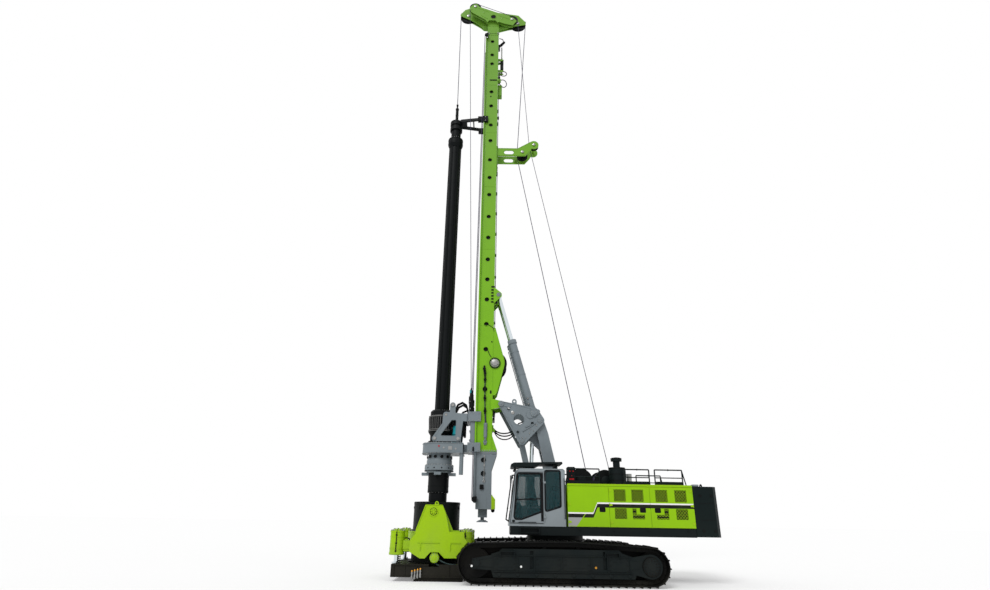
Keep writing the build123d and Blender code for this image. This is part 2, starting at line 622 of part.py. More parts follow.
def hood_door(index, side):
    """One hood door with its grilles and handle: index counts from the cab, side is -1 on the cab side."""
    gap = DOOR_GAP / 2
    x0, x1 = DOOR_EDGES[index] + gap, DOOR_EDGES[index + 1] - gap
    half = UPPER_WIDTH / 2
    door = block(x0, x1, -half, -half + HOOD_WALL, DECK_HIGH + DOOR_GAP, HOOD_TOP - HOOD_WALL - DOOR_GAP)
    for middle, width in GRILLES[index] or ():
        for low, high in GRILLE_ROWS:
            recess = block(middle - width, middle + width, -half - 1, -half + GRILLE_DEPTH, low, high)
            reach = HANDLE_W / 2 + HANDLE_CLEAR
            recess -= block(HANDLES[index] - reach, HANDLES[index] + reach, -half - 2, -half + 60,
                            HANDLE_Z - HANDLE_H, HANDLE_Z + HANDLE_H)
            door -= recess
    door -= block(HANDLES[index] - HANDLE_W / 2, HANDLES[index] + HANDLE_W / 2, -half - 1, -half + 20,
                  HANDLE_Z - HANDLE_H / 2, HANDLE_Z + HANDLE_H / 2)
    return door if side < 0 else mirror(door, about=Plane.XZ)


def counterweight():
    """Cast counterweight at the tail."""
    half = UPPER_WIDTH / 2
    casting = block(HOOD_REAR + SEAT, CW_REAR, -half, half, CW_LOW, CW_HIGH)
    return chamfer(casting.edges().filter_by(Axis.Z).group_by(Axis.X)[-1], 120)


def winch_frames():
    """Cheeks that carry the main and the auxiliary winch."""
    found = []
    foot = DECK_HIGH + 60 + SEAT
    for x, z, r in WINCHES:
        for y in (-560, 520):
            cheek = hull_plate([(x, z, 150), (x - 300, foot, 60), (x + 300, foot, 60)], y, y + 40)
            found.append(cheek - cross_bar(x, z, WINCH_AXLE_R + PIN_GAP, y - 1, y + 41))
    return found


def winch_drum(index):
    """Winch drum with flanges and axle."""
    x, z, r = WINCHES[index]
    drum = cross_bar(x, z, r, -500, 500) + cross_bar(x, z, WINCH_AXLE_R, -575, 575)
    return drum + cross_bar(x, z, r + 90, -512, -480) + cross_bar(x, z, r + 90, 480, 512)


def handrails():
    """Railings along the left edge of the roof and their mirror images."""
    found = []
    y = -1200
    for x0, x1 in ((340, 1330), (2160, 2910), (3090, 3960)):
        rail = joined([bar((x0, y, 3270), (x1, y, 3270), 20), bar((x0, y, 3030), (x1, y, 3030), 16)]
                      + [upright(x, y, 20, HOOD_TOP + SEAT, 3270) for x in (x0, x1)])
        found += pair(rail)
    return found


def air_cleaner():
    """Air intake: body, neck and rain cap."""
    x, y = 1960, -900
    return joined([upright(x, y, 265, HOOD_TOP + SEAT, 3330), upright(x, y, 110, 3320, 3560),
                   upright(x, y, 175, 3540, 3640)])


# ---- boom linkage -------------------------------------------------------------
def boom():
    """Lower boom: two box arms with cross tubes and the luffing lug."""
    fx, fz = BOOM_FOOT
    tx, tz = BOOM_TOP

    def at(share):
        """Point on the boom's centre line, as a share of its length."""
        return fx + share * (tx - fx), fz + share * (tz - fz)

    y0, y1 = BOOM_ARM_Y - BOOM_ARM_W / 2, BOOM_OUT
    lower, upper = at(0.2), at(0.82)
    arm = hull_plate([(fx, fz, 150), (*lower, BOOM_HALF)], y0, y1)
    arm += hull_plate([(*lower, BOOM_HALF), (*upper, BOOM_HALF)], y0, y1)
    arm += hull_plate([(*upper, BOOM_HALF), (tx, tz, 140)], y0, y1)
    frame = both_sides(arm)
    for share, r in ((0.3, 110), (0.62, 110), (0.85, 80)):
        frame += cross_bar(*at(share), r, -y0 - 5, y0 + 5)
    lug = hull_plate([(*LUFF_TOP, 110), (*at(0.62), 110), (*at(0.85), 100)], 110, 150)
    frame += both_sides(lug)
    frame -= cross_bar(fx, fz, FOOT_PIN_R + PIN_GAP, -BOOM_OUT - 1, BOOM_OUT + 1)
    frame += cross_bar(tx, tz, BOOM_TOP_PIN_R, -CRADLE_Y - CRADLE_T, CRADLE_Y + CRADLE_T)
    return frame + cross_bar(*LUFF_TOP, LUFF_TOP_PIN_R, -150, 150)


def boom_link():
    """Parallel link below the boom: two bars on one long pin."""
    plate = hull_plate([(*LINK_FOOT, 85), (*LINK_TOP, 85)], 170, 230)
    links = both_sides(plate - cross_bar(*LINK_FOOT, FOOT_PIN_R + PIN_GAP, 100, 300))
    return links + cross_bar(*LINK_TOP, LINK_TOP_PIN_R, -CRADLE_Y - 40, CRADLE_Y + 40)


def run(start, end):
    """Unit direction and length between two side-view points."""
    length = hypot(end[0] - start[0], end[1] - start[1])
    return (end[0] - start[0]) / length, (end[1] - start[1]) / length, length


def on_line(start, end, distance):
    """Side-view point at a distance along a line."""
    ux, uz, _ = run(start, end)
    return start[0] + ux * distance, start[1] + uz * distance


def tube_along(start, end, a, b, radius, y):
    """Round bar in the side view plane at y, from distance a to b along a line."""
    (x0, z0), (x1, z1) = on_line(start, end, a), on_line(start, end, b)
    return bar((x0, y, z0), (x1, y, z1), radius)


def cylinder_barrel(foot, eye, y, radius, rod_r, length, eye_r, eye_w, pin_r):
    """Hydraulic cylinder barrel with its foot eye, bored for the rod."""
    barrel = tube_along(foot, eye, eye_r * 0.6, length, radius, y)
    barrel += cross_bar(*foot, eye_r, y - eye_w, y + eye_w)
    barrel += tube_along(foot, eye, length - 130, length, radius + 22, y)
    barrel -= tube_along(foot, eye, eye_r + 120, length + 1, rod_r + FIT, y)
    if pin_r:
        barrel -= cross_bar(*foot, pin_r + PIN_GAP, y - radius - 1, y + radius + 1)
    return barrel


def cylinder_rod(foot, eye, y, rod_r, start, eye_r, eye_w, bore_r):
    """Rod with its eye."""
    _, _, length = run(foot, eye)
    rod = tube_along(foot, eye, start, length, rod_r, y) + cross_bar(*eye, eye_r, y - eye_w, y + eye_w)
    return rod - cross_bar(*eye, bore_r, y - eye_w - 1, y + eye_w + 1)


def luff_barrel():
    """Luffing cylinder barrel on the platform."""
    return cylinder_barrel(LUFF_FOOT, LUFF_TOP, 0, LUFF_BARREL_R, LUFF_ROD_R, 1550, 105, 95, FOOT_PIN_R)


def luff_rod():
    """Luffing cylinder rod at the boom."""
    return cylinder_rod(LUFF_FOOT, LUFF_TOP, 0, LUFF_ROD_R, 700, 100, 80, LUFF_TOP_PIN_R + LUFF_EYE_GAP)


def hose_fitting(y, diameter, tip, beside):
    """Fitting that a hanging hose comes out of, in line with the hose's end run."""
    ux, uz, _ = run(beside, tip)
    near = (tip[0] + SEAT * ux, y, tip[1] + SEAT * uz)
    far = (tip[0] + HOSE_FITTING * ux, y, tip[1] + HOSE_FITTING * uz)
    return bar(near, far, diameter / 2 + 8)


def cradle():
    """Triangular cradle between boom and mast: two plates, their trunnion caps and a cross tube."""
    outline = [(*TILT_PIVOT, 93), (*TRUNNION, 195), (*BOOM_TOP, 150), (*LINK_TOP, 120)]
    y0, y1 = CRADLE_Y, CRADLE_Y + CRADLE_T
    plate = hull_plate(outline, y0, y1)
    for x, z, r in ((-1188, 4909, 178), (-1546, 5250, 55), (-728, 4780, 52), (-1222, 4479, 52)):
        plate -= cross_bar(x, z, r, y0 - 1, y1 + 1)
    plate += hull_plate([(-800, 5072, 130), (-540, 5175, 78)], y1 - 1, y1 + 32)
    plate += hull_plate([(TILT_PIVOT[0] - 5, TILT_PIVOT[1], 62),
                         (TILT_PIVOT[0] + 290, TILT_PIVOT[1] - 78, 45)], y1 - 1, y1 + 22)
    for pin, r in ((TRUNNION, TRUNNION_R), (TILT_PIVOT, TILT_PIN_R), (BOOM_TOP, BOOM_TOP_PIN_R),
                   (LINK_TOP, LINK_TOP_PIN_R)):
        plate -= cross_bar(*pin, r + PIN_GAP, y0 - 1, y1 + 40)
    x, z = LIFTING_EYE
    plate += hull_plate([(x, z, 80), (x, z - 200, 85)], y0, y1)
    plate -= cross_bar(x, z, LIFTING_BORE_R, y0 - 1, y1 + 1)
    found = both_sides(plate) + cross_bar(-1400, 5130, 80, -y0 - 5, y0 + 5)
    found += block(-1315, -1265, *HOSE_BLOCK_Y, 4455, 4680) + cross_bar(-1290, 4590, 35, -y0 - 5, y0 + 5)
    for y, diameter, points in MAST_HOSES:
        found += hose_fitting(y, diameter, points[-1], points[-2])
    return found


def mast_barrels():
    """The two mast cylinder barrels with the trunnion pin that carries them."""
    found = [cylinder_barrel(TRUNNION, ROD_EYE, y, MAST_BARREL_R, MAST_ROD_R, 2760, 150, 110, 0)
             for y in (-CYL_Y, CYL_Y)]
    reach = CRADLE_Y + CRADLE_T + 45
    pin = cross_bar(*TRUNNION, TRUNNION_R, -reach, reach)
    return joined(found + [pin])


def mast_rods():
    """The two mast cylinder rods."""
    return [cylinder_rod(TRUNNION, ROD_EYE, y, MAST_ROD_R, 1100, 120, 90, ROD_EYE_PIN_R + ROD_EYE_GAP)
            for y in (-CYL_Y, CYL_Y)]


def hose(y, diameter, points):
    """Hanging hose: straight runs joined by arcs as large as the runs allow."""
    ends = [Vector(x, y, z) for x, z in points]
    runs = [after - before for before, after in zip(ends, ends[1:])]
    radii = []
    for before, after in zip(runs, runs[1:]):
        turn = radians(before.get_angle(after))
        radii.append(0.45 * min(before.length, after.length) / tan(turn / 2))
    print("hose", diameter, "radii", [round(radius) for radius in radii])
    route = FilletPolyline(*ends, radius=radii)
    return sweep(Plane(origin=route @ 0, z_dir=route % 0) * Circle(diameter / 2), path=route)


def mast_hoses():
    """The hoses that hang between the mast and the cradle."""
    return [hose(*route) for route in MAST_HOSES]


# ---- mast ---------------------------------------------------------------------
def rails(z0, z1):
    """Guide rails in front of the mast, standing on webs."""
    rail = block(RAIL_FRONT, RAIL_BACK, RAIL_IN, RAIL_OUT, z0, z1)
    web = block(RAIL_BACK - 1, MAST_FRONT + 1, RAIL_IN, MAST_WIDTH / 2, z0, z1)
    return both_sides(rail + web)


def mast_lower():
    """Lower mast section with its foot, side holes and joint flange."""
    half, wall = MAST_WIDTH / 2 - 10, MAST_WALL
    section = block(MAST_FRONT, LOWER_REAR, -half, half, MAST_FOOT, MAST_JOINT - SEAT)
    section += block(MAST_FRONT, JOINT_REAR, -half - 5, half + 5, MAST_JOINT - 90, MAST_JOINT - SEAT)
    cavity = block(MAST_FRONT + wall, LOWER_REAR - wall, 10, half - wall, MAST_FOOT + 40, MAST_JOINT + 1)
    section -= both_sides(cavity)
    for z in (3570, 3140):
        for y in (-half - 1, half - wall - 1):
            section -= cross_bar(-2370, z, HOLE_R, y, y + wall + 2)
    gusset = side_prism([(LOWER_REAR - 2, 3750), (JOINT_REAR - 10, 3750), (LOWER_REAR, 3270)], half - 40,
                        half)
    section += both_sides(gusset)
    section += side_prism([(LOWER_REAR - 2, 3750), (JOINT_REAR - 10, 3750), (LOWER_REAR, 3270)], -20, 20)
    wedge = side_prism([(LOWER_REAR - 2, 2480), (LOWER_REAR + 30, 2480), (LOWER_REAR + 120, 2110),
                        (LOWER_REAR + 70, MAST_FOOT), (LOWER_REAR - 2, MAST_FOOT)], half - 60, half)
    section += both_sides(wedge)
    section += block(-2517, -2217, -150, 150, 1790, MAST_FOOT + 5)
    section += upright(-2372, 0, 60, 1700, 1795)
    section += turned(-2372, 0, [(0, 1645), (192, 1645), (192, 1662), (120, 1705), (0, 1705)])
    return section + rails(MAST_FOOT + 200, MAST_JOINT - SEAT)


def mast_main():
    """Main mast: box section with side holes, winch housing, transport hinge, pivots and rails."""
    half, wall = MAST_WIDTH / 2, MAST_WALL
    mast = block(MAST_FRONT, MAST_REAR, -half, half, MAST_JOINT, MAST_TOP)
    mast -= block(MAST_FRONT + wall, MAST_REAR - wall, -half + wall, half - wall, MAST_JOINT + 40,
                  MAST_TOP - 40)
    mast += side_prism([(MAST_FRONT, MAST_JOINT), (JOINT_REAR, MAST_JOINT), (JOINT_REAR, MAST_JOINT + 60),
                        (MAST_REAR - wall + 5, MAST_JOINT + 60), (MAST_FRONT, MAST_JOINT + 60)], -half, half)
    gusset = side_prism([(MAST_REAR - 2, MAST_JOINT + 59), (JOINT_REAR - 5, MAST_JOINT + 59),
                         (MAST_REAR + 5, 4350), (MAST_REAR - 2, 4350)], half - wall, half)
    mast += both_sides(gusset)
    x, z = CROWD_WINCH
    cheek = [(MAST_REAR - 20, z + 1350), (MAST_REAR + 50, z + 1325), (x + 250, z + 380), (x + 325, z + 110),
             (x + 325, z - 60), (x + 255, z - 375), (x + 75, z - 1060), (x + 20, z - 1145),
             (MAST_REAR - 20, z - 1150)]
    mast += both_sides(side_prism(cheek, half - wall, half))
    mast -= block(MAST_REAR - wall - 1, MAST_REAR + 1, -half + wall, half - wall, z - 520, z + 520)
    for y in (-half - 25, half - 1):
        mast += cross_bar(x, z, 190, y, y + 26)
    mast -= cross_bar(x, z, CROWD_AXLE_R + PIN_GAP, -half - 30, half + 30)
    for hole in MAST_HOLES:
        mast -= cross_bar(-2370, hole, HOLE_R, -half - 1, half + 1)
    lug = hull_plate([(*TILT_PIVOT, 105), (MAST_REAR, TILT_PIVOT[1] + 145, 30),
                      (MAST_REAR, TILT_PIVOT[1] - 145, 30)], half - 20, CRADLE_Y - FACE_GAP)
    pad = block(MAST_REAR - 60, MAST_REAR + 10, half - 25, CRADLE_Y - FACE_GAP, TILT_PIVOT[1] - 175,
                TILT_PIVOT[1] + 175)
    mast += both_sides(lug) + both_sides(pad)
    mast += cross_bar(*TILT_PIVOT, TILT_PIN_R, -CRADLE_Y - CRADLE_T - 30, CRADLE_Y + CRADLE_T + 30)
    for y0 in (CYL_Y - 150, CYL_Y + 96):
        ear = hull_plate([(*ROD_EYE, 115), (MAST_REAR, ROD_EYE[1] + 250, 30),
                          (MAST_REAR, ROD_EYE[1] - 290, 30)], y0, y0 + 54)
        mast += both_sides(ear)
    mast += both_sides(cross_bar(*ROD_EYE, ROD_EYE_PIN_R, CYL_Y - 150, CYL_Y + 150))
    mast += block(MAST_REAR - 1, MAST_REAR + 40, *HOSE_BLOCK_Y, 4530, 4740)
    for y, diameter, points in MAST_HOSES:
        mast += hose_fitting(y, diameter, points[0], points[1])
    for y0 in (half - 120, -half + 60):
        mast += hull_plate([(MAST_REAR + 5, FOLD_Z + 45, 45), (MAST_REAR + 5, FOLD_Z - 45, 45)], y0, y0 + 60)
    return mast + rails(MAST_JOINT, MAST_TOP - 250)


def crown():
    """Mast head: post, sheave beam with open noses, and the two auxiliary sheave plates."""
    half = MAST_WIDTH / 2 - 60
    head = block(MAST_FRONT, MAST_REAR, -half, half, MAST_TOP + SEAT, 23400)
    cheek = [(-3936, 24120), (-3936, 24193), (-3714, 24501), (-3522, 24581), (-1157, 24179), (-800, 23738),
             (-830, 23600), (-1541, 23426), (-2100, 23300), (-2803, 23400), (-3303, 23758)]
    head += both_sides(side_prism(cheek, SHEAVE_GAP, SHEAVE_GAP + 30))
    head += side_prism([(-3080, 24300), (-3080, 23700), (-2803, 23400), (-2100, 23300), (-1640, 23460),
                        (-1640, 24100)], -140, 140)
    for x, z in (FRONT_SHEAVE, REAR_SHEAVE):
        head += cross_bar(x, z, SHEAVE_PIN_R, -SHEAVE_GAP - 45, SHEAVE_GAP + 45)
    plate = [(-3493, 24189), (-3336, 24395), (-3146, 24452), (-3032, 24274), (-1394, 23583), (-1259, 23403),
             (-1447, 23130), (-1877, 23244), (-2093, 23334), (-2146, 23275), (-2250, 23420), (-2530, 23430),
             (-2630, 23301), (-2742, 23481), (-2961, 23623), (-3404, 23945)]
    for y0 in (AUX_Y - 75, AUX_Y + 40):
        head += side_prism(plate, y0, y0 + 35) - cross_bar(-2351, 23636, 120, y0 - 1, y0 + 36)
    head += cross_bar(-2750, 23900, 60, AUX_Y + 30, -130) + cross_bar(-2000, 23600, 60, AUX_Y + 30, -130)
    for x, z in (AUX_FRONT, AUX_REAR):
        head += cross_bar(x, z, AUX_PIN_R, AUX_Y - 95, AUX_Y + 95)
    return head


def sheave(x, z, radius, bore, width, y):
    """Grooved rope sheave."""
    profile = make_face(Polyline((bore, -width), (bore, width), (radius * 0.35, width),
                                 (radius * 0.35, width * 0.5), (radius * 0.8, width * 0.5), (radius, width),
                                 (radius - 25, 0), (radius, -width), (radius * 0.8, -width * 0.5),
                                 (radius * 0.35, -width * 0.5), (radius * 0.35, -width), close=True))
    return Pos(x, y, z) * revolve(Plane.XY * profile, Axis.Y)


def rope_deflector():
    """Arms behind the mast whose two sheaves lead the ropes clear of the boom."""
    back = MAST_REAR + SEAT
    end_x, end_z = AUX_DEFLECTOR
    outline = [(back, 15895), (back, 16288), (-1204, 16290), (end_x - 90, end_z + 178), (end_x, end_z),
               (end_x - 150, end_z - 300), (-891, 15905)]
    arm = side_prism(outline, DEFLECTOR_Y - 30, DEFLECTOR_Y)
    arm += cross_bar(end_x, end_z, 200, DEFLECTOR_Y - 30, DEFLECTOR_Y)
    arm -= hull_plate([(-1690, 16075, 95), (-1470, 16075, 95)], DEFLECTOR_Y - 31, DEFLECTOR_Y + 1)
    frame = both_sides(arm)
    frame += block(back, MAST_REAR + 35, -DEFLECTOR_Y - 30, DEFLECTOR_Y + 30, 15400, 16370)
    frame += block(-1330, -1290, -DEFLECTOR_Y + 25, DEFLECTOR_Y - 25, 15960, 16200)
    for x, z in (DEFLECTOR_SHEAVE, AUX_DEFLECTOR):
        frame += cross_bar(x, z, DEFLECTOR_PIN_R, -DEFLECTOR_Y - 25, DEFLECTOR_Y + 25)
    return frame


def crowd_drum():
    """Crowd winch drum in the mast."""
    x, z = CROWD_WINCH
    w = MAST_WIDTH / 2 - MAST_WALL - SLIDE_GAP
    drum = cross_bar(x, z, CROWD_DRUM_R, -w, w)
    drum += cross_bar(x, z, CROWD_AXLE_R, -MAST_WIDTH / 2 - 35, MAST_WIDTH / 2 + 35)
    return drum + cross_bar(x, z, CROWD_FLANGE_R, -w, -w + 30) + cross_bar(x, z, CROWD_FLANGE_R, w - 30, w)


def claws(z0, z1):
    """Guide shoes that reach round both mast rails."""
    gap = SHOE_GAP
    half = MAST_WIDTH / 2
    shoe = block(CLAW_FRONT, CLAW_REAR, -RAIL_OUT - 50, RAIL_OUT + 50, z0, z1)
    shoe -= block(RAIL_FRONT - gap, CLAW_REAR + 5, -half - gap, half + gap, z0 - 1, z1 + 1)
    return shoe - block(RAIL_FRONT - gap, RAIL_BACK + gap, -RAIL_OUT - gap, RAIL_OUT + gap, z0 - 1, z1 + 1)


# ---- drive --------------------------------------------------------------------
def drive_carriage():
    """Crowd carriage: column on the rails, cross beam and the two triangular side frames."""
    front = -2840
    column = block(front, RAIL_FRONT - SLIDE_GAP, -RAIL_OUT + 20, RAIL_OUT - 20, DRIVE_LOW + 53, CLAW_TOP)
    column -= block(front - 1, RAIL_FRONT - SLIDE_GAP - 60, -280, 280, 4250, 4700)
    for z in (4200, 4500, 4760):
        column += block(front - 30, front + 5, -RAIL_OUT, RAIL_OUT, z, z + 25)
    frame = column + claws(DRIVE_LOW + 53, 4120) + claws(4828, CLAW_TOP)
    frame += block(BEAM_FRONT, CLAW_FRONT + 5, -FRAME_OUT + 50, FRAME_OUT - 50, 4816, 5077)
    frame -= block(BEAM_FRONT + 40, CLAW_FRONT - 40, -FRAME_OUT + 90, FRAME_OUT - 90, 4815, 5050)
    frame += block(-3050 + SEAT, CLAW_FRONT + 5, -300, 300, DRIVE_LOW + 45, DRIVE_HIGH - 30)
    inner = FRAME_OUT - 60
    front_foot, rear_foot = FOOT_PINS
    side = hull_plate([(*front_foot, 92), (*rear_foot, 92), (-3677, 4700, 112), (-3180, 4800, 88)], inner,
                      FRAME_OUT)
    side += hull_plate([(-3677, 4700, 112), (-3677, 5028, 96), (-3180, 4990, 87), (-3180, 4800, 88)],
                       inner, FRAME_OUT)
    side += block(-3190, CLAW_FRONT - 40, inner, FRAME_OUT, 4816, 5077)
    side += hull_plate([(-3456, 5354, 95), (-3456, 5060, 95)], inner, FRAME_OUT)
    side -= rounded_prism([(-3475, 4845), (-3325, 4845), (-3325, 4325), (-3845, 4325)], 28, inner - 1,
                          FRAME_OUT + 1)
    side -= cross_bar(-3677, 5028, 45, inner - 1, FRAME_OUT + 1)
    for x, z in FOOT_PINS:
        side += hull_plate([(x, z, 70), (x, DRIVE_HIGH + 70 + SEAT, 70)], inner - 70, inner + 1)
        side += cross_bar(x, z, 62, FRAME_OUT - 1, FRAME_OUT + 14)
    side += cross_bar(-3456, 5354, 60, FRAME_OUT - 1, FRAME_OUT + 14)
    return frame + both_sides(side)


def drive_gearbox():
    """Gearbox casing with its rims, lower cone, flange ring, torque wings and hanging tube."""
    plan = make_hull(((Pos(KELLY_X, 0) * Circle(605)) + Pos(-3350, 0) * Rectangle(600, 1180)).edges())
    box = Pos(0, 0, DRIVE_LOW) * extrude(offset(plan, -14), DRIVE_HIGH - DRIVE_LOW)
    for z in (DRIVE_LOW, DRIVE_HIGH - 28):
        box += Pos(0, 0, z) * extrude(plan, 28)
    box += turned(KELLY_X, 0, [(0, DRIVE_LOW + 5), (375, DRIVE_LOW + 5), (375, 3730), (430, 3540),
                               (430, 3400), (485, 3392), (485, 3210), (430, 3200), (400, 3150), (0, 3150)])
    box += block(KELLY_X - 570, KELLY_X + 570, -110, 110, 3070, 3160)
    box += block(KELLY_X - 110, KELLY_X + 110, -570, 570, 3070, 3160)
    box += upright(-3100, -480, 67, 3080, DRIVE_LOW + 5)
    return box - upright(KELLY_X, 0, SLEEVE_R + FIT, 3000, 4200)


def drive_motors():
    """Hydraulic motors standing on the gearbox."""
    found = []
    for x, y, r in ((-3330, 250, 155), (-3330, -250, 155), (-3270, 0, 88)):
        low, high = DRIVE_HIGH + SEAT, 4690
        found.append(turned(x, y, [(0, low), (r, low), (r, low + 60), (r - 15, low + 70), (r - 15, low + 260),
                                   (r * 0.8, low + 290), (r * 0.8, high - 60), (r * 0.6, high), (0, high)]))
    return found


def kelly_section(radius, z0, z1, gap=0):
    """Round tube with drive keys, as a solid; gap widens it for the matching bore."""
    tube = upright(KELLY_X, 0, radius + gap, z0, z1)
    for k in range(KEY_COUNT):
        key = block(KELLY_R - 60, KELLY_R + KEY_HEIGHT + gap, -KEY_WIDTH / 2 - gap, KEY_WIDTH / 2 + gap, z0,
                    z1)
        tube += Pos(KELLY_X, 0, 0) * Rot(0, 0, 360 / KEY_COUNT * k) * key
    return tube


def drive_sleeve():
    """Turning sleeve with keyways for the kelly, its damper and the lower skirt."""
    skirt_top = 3700
    sleeve = turned(KELLY_X, 0, [(0, 2530), (SLEEVE_R, 2530), (SLEEVE_R, DRIVE_HIGH + SLIDE_GAP),
                                 (425, DRIVE_HIGH + SLIDE_GAP), (425, 4185), (365, 4215), (365, 4390),
                                 (437, 4500), (437, 4550), (416, 4563), (443, 4990), (443, 5030),
                                 (387, 5038), (387, 5198), (330, 5253), (0, 5253)])
    sleeve -= upright(KELLY_X, 0, COLLAR_R + SLIDE_GAP, 2500, skirt_top)
    return sleeve - kelly_section(KELLY_R, skirt_top - 10, 5300, SLIDE_GAP)


def kelly_bar():
    """Telescopic kelly: keyed outer tube, foot collar, head collar and bearing stub."""
    kelly = kelly_section(KELLY_R, KELLY_FOOT + 5, KELLY_HEAD + 20)
    kelly += turned(KELLY_X, 0, [(0, KELLY_FOOT), (COLLAR_R - 12, KELLY_FOOT), (COLLAR_R, KELLY_FOOT + 12),
                                 (COLLAR_R, COLLAR_TOP), (0, COLLAR_TOP)])
    neck = 205
    return kelly + turned(KELLY_X, 0, [(0, KELLY_HEAD), (KELLY_HEAD_R - 60, KELLY_HEAD),
                                       (KELLY_HEAD_R, KELLY_HEAD + 160), (KELLY_HEAD_R, KELLY_HEAD + 430),
                                       (KELLY_HEAD_R - 30, KELLY_HEAD + 455), (neck, KELLY_HEAD + 480),
                                       (neck, GUIDE_RING - SLIDE_GAP), (STUB_R, GUIDE_RING - SLIDE_GAP),
                                       (STUB_R, GUIDE_CAP - 70), (0, GUIDE_CAP - 70)])


def kelly_guide():
    """Kelly head guide on the mast rails, with the head bearing and rope swivel."""
    frame = turned(KELLY_X, 0, [(0, GUIDE_RING), (262, GUIDE_RING), (262, GUIDE_RING + 150),
                                (225, GUIDE_RING + 158), (225, GUIDE_RING + 232), (262, GUIDE_RING + 240),
                                (262, GUIDE_CAP - 130), (150, GUIDE_CAP - 122), (150, GUIDE_CAP),
                                (62, GUIDE_CAP + 10), (62, GUIDE_CAP + 620), (32, GUIDE_CAP + 640),
                                (32, GUIDE_CAP + 940), (0, GUIDE_CAP + 940)])
    frame -= upright(KELLY_X, 0, STUB_R + FIT, GUIDE_RING - 10, GUIDE_CAP - 64)
    back = CLAW_FRONT + 5
    cheek = [(-3776, GUIDE_CAP), (back, GUIDE_TOP - 12), (back, GUIDE_LOW + 18), (-3579, 17272),
             (-3776, 17300)]
    plate = side_prism(cheek, 180, 225)
    plate -= rounded_prism([(-3405, 17430), (-3405, 17700), (-3120, 17745), (-3120, 17430)], 30, 179, 226)
    plate -= upright(KELLY_X, 0, 226, 17000, 18000)
    frame += both_sides(plate)
    frame += side_prism([(-3700, GUIDE_CAP - 120), (back, GUIDE_TOP - 40), (back, GUIDE_TOP - 90),
                         (-3700, GUIDE_CAP - 170)], -182, 182) - upright(KELLY_X, 0, 200, 17000, 18000)
    frame += block(CLAW_FRONT, RAIL_FRONT - SLIDE_GAP, -RAIL_OUT, RAIL_OUT, GUIDE_LOW, GUIDE_TOP)
    frame -= block(CLAW_FRONT - 1, RAIL_FRONT - SLIDE_GAP - 60, -150, 150, 17400, 17800)
    return frame + claws(GUIDE_LOW, GUIDE_LOW + 150) + claws(GUIDE_TOP - 300, GUIDE_TOP)


def hook_block():
    """Swivel and hook of the auxiliary rope, shackled to the carriage."""
    x, y, foot = -2850, -400, CLAW_TOP + SEAT
    shackle = hull_plate([(x, foot + 60, 60), (x, foot + 250, 60)], y - 45, y + 45)
    shackle -= hull_plate([(x, foot + 120, 30), (x, foot + 220, 30)], y - 46, y + 46)
    return joined([shackle, upright(x, y, 75, foot + 290, foot + 520),
                   upright(x, y, 45, foot + 515, foot + 760)])


NODES = {
    "car_body": car_body,
    "track_frame_left": lambda: track_frame(-TRACK_Y),
    "track_frame_right": lambda: track_frame(TRACK_Y),
    "track_left": lambda: track_loop(-TRACK_Y),
    "track_right": lambda: track_loop(TRACK_Y),
    "track_rollers_left": lambda: rollers(-TRACK_Y),
    "track_rollers_right": lambda: rollers(TRACK_Y),
    "oscillator_base": oscillator_base,
    "lift_rods": lift_rods,
    "lift_cylinders": lift_cylinders,
    "lift_frame": lift_frame,
    "clamp_collar": clamp_collar,
    "drill_casing": casing,
    "slew_ring": slew_ring,
    "upper_frame": upper_frame,
    "cab_shell": cab_shell,
    "cab_visor": cab_visor,
    "cab_interior": cab_interior,
    "cab_door": cab_door,
    "door_glass": door_glass,
    "engine_block": engine_block,
    "hood_shell": hood_shell,
    "counterweight": counterweight,
    "winch_frames": winch_frames,
    "main_winch_drum": lambda: winch_drum(0),
    "auxiliary_winch_drum": lambda: winch_drum(1),
    "handrails": handrails,
    "air_cleaner": air_cleaner,
    "boom": boom,
    "boom_link": boom_link,
    "luff_cylinder_barrel": luff_barrel,
    "luff_cylinder_rod": luff_rod,
    "mast_cradle": cradle,
    "mast_cylinder_barrels": mast_barrels,
    "mast_cylinder_rods": mast_rods,
    "mast_hoses": mast_hoses,
    "mast_lower": mast_lower,
    "mast_main": mast_main,
    "crown": crown,
    "front_sheave": lambda: sheave(*FRONT_SHEAVE, SHEAVE_R, SHEAVE_PIN_R + PIN_GAP, 48, 0),
    "rear_sheave": lambda: sheave(*REAR_SHEAVE, SHEAVE_R, SHEAVE_PIN_R + PIN_GAP, 48, 0),
    "auxiliary_front_sheave": lambda: sheave(*AUX_FRONT, AUX_SHEAVE_R, AUX_PIN_R + PIN_GAP, 32, AUX_Y),
    "auxiliary_rear_sheave": lambda: sheave(*AUX_REAR, AUX_SHEAVE_R, AUX_PIN_R + PIN_GAP, 32, AUX_Y),
    "rope_deflector": rope_deflector,
    "deflector_sheave": lambda: sheave(*DEFLECTOR_SHEAVE, DEFLECTOR_R, DEFLECTOR_PIN_R + PIN_GAP, 40, 0),
    "auxiliary_deflector_sheave": lambda: sheave(*AUX_DEFLECTOR, AUX_DEFLECTOR_R, DEFLECTOR_PIN_R + PIN_GAP,
                                                 32, AUX_DEFLECTOR_Y),
    "crowd_winch_drum": crowd_drum,
    "drive_carriage": drive_carriage,
    "drive_gearbox": drive_gearbox,
    "drive_motors": drive_motors,
    "drive_sleeve": drive_sleeve,
    "kelly_bar": kelly_bar,
    "kelly_guide": kelly_guide,
    "hook_block": hook_block,
}
for number in range(3):
    NODES[f"hood_door_left_{number + 1}"] = lambda number=number: hood_door(number, -1)
    NODES[f"hood_door_right_{number + 1}"] = lambda number=number: hood_door(number, 1)


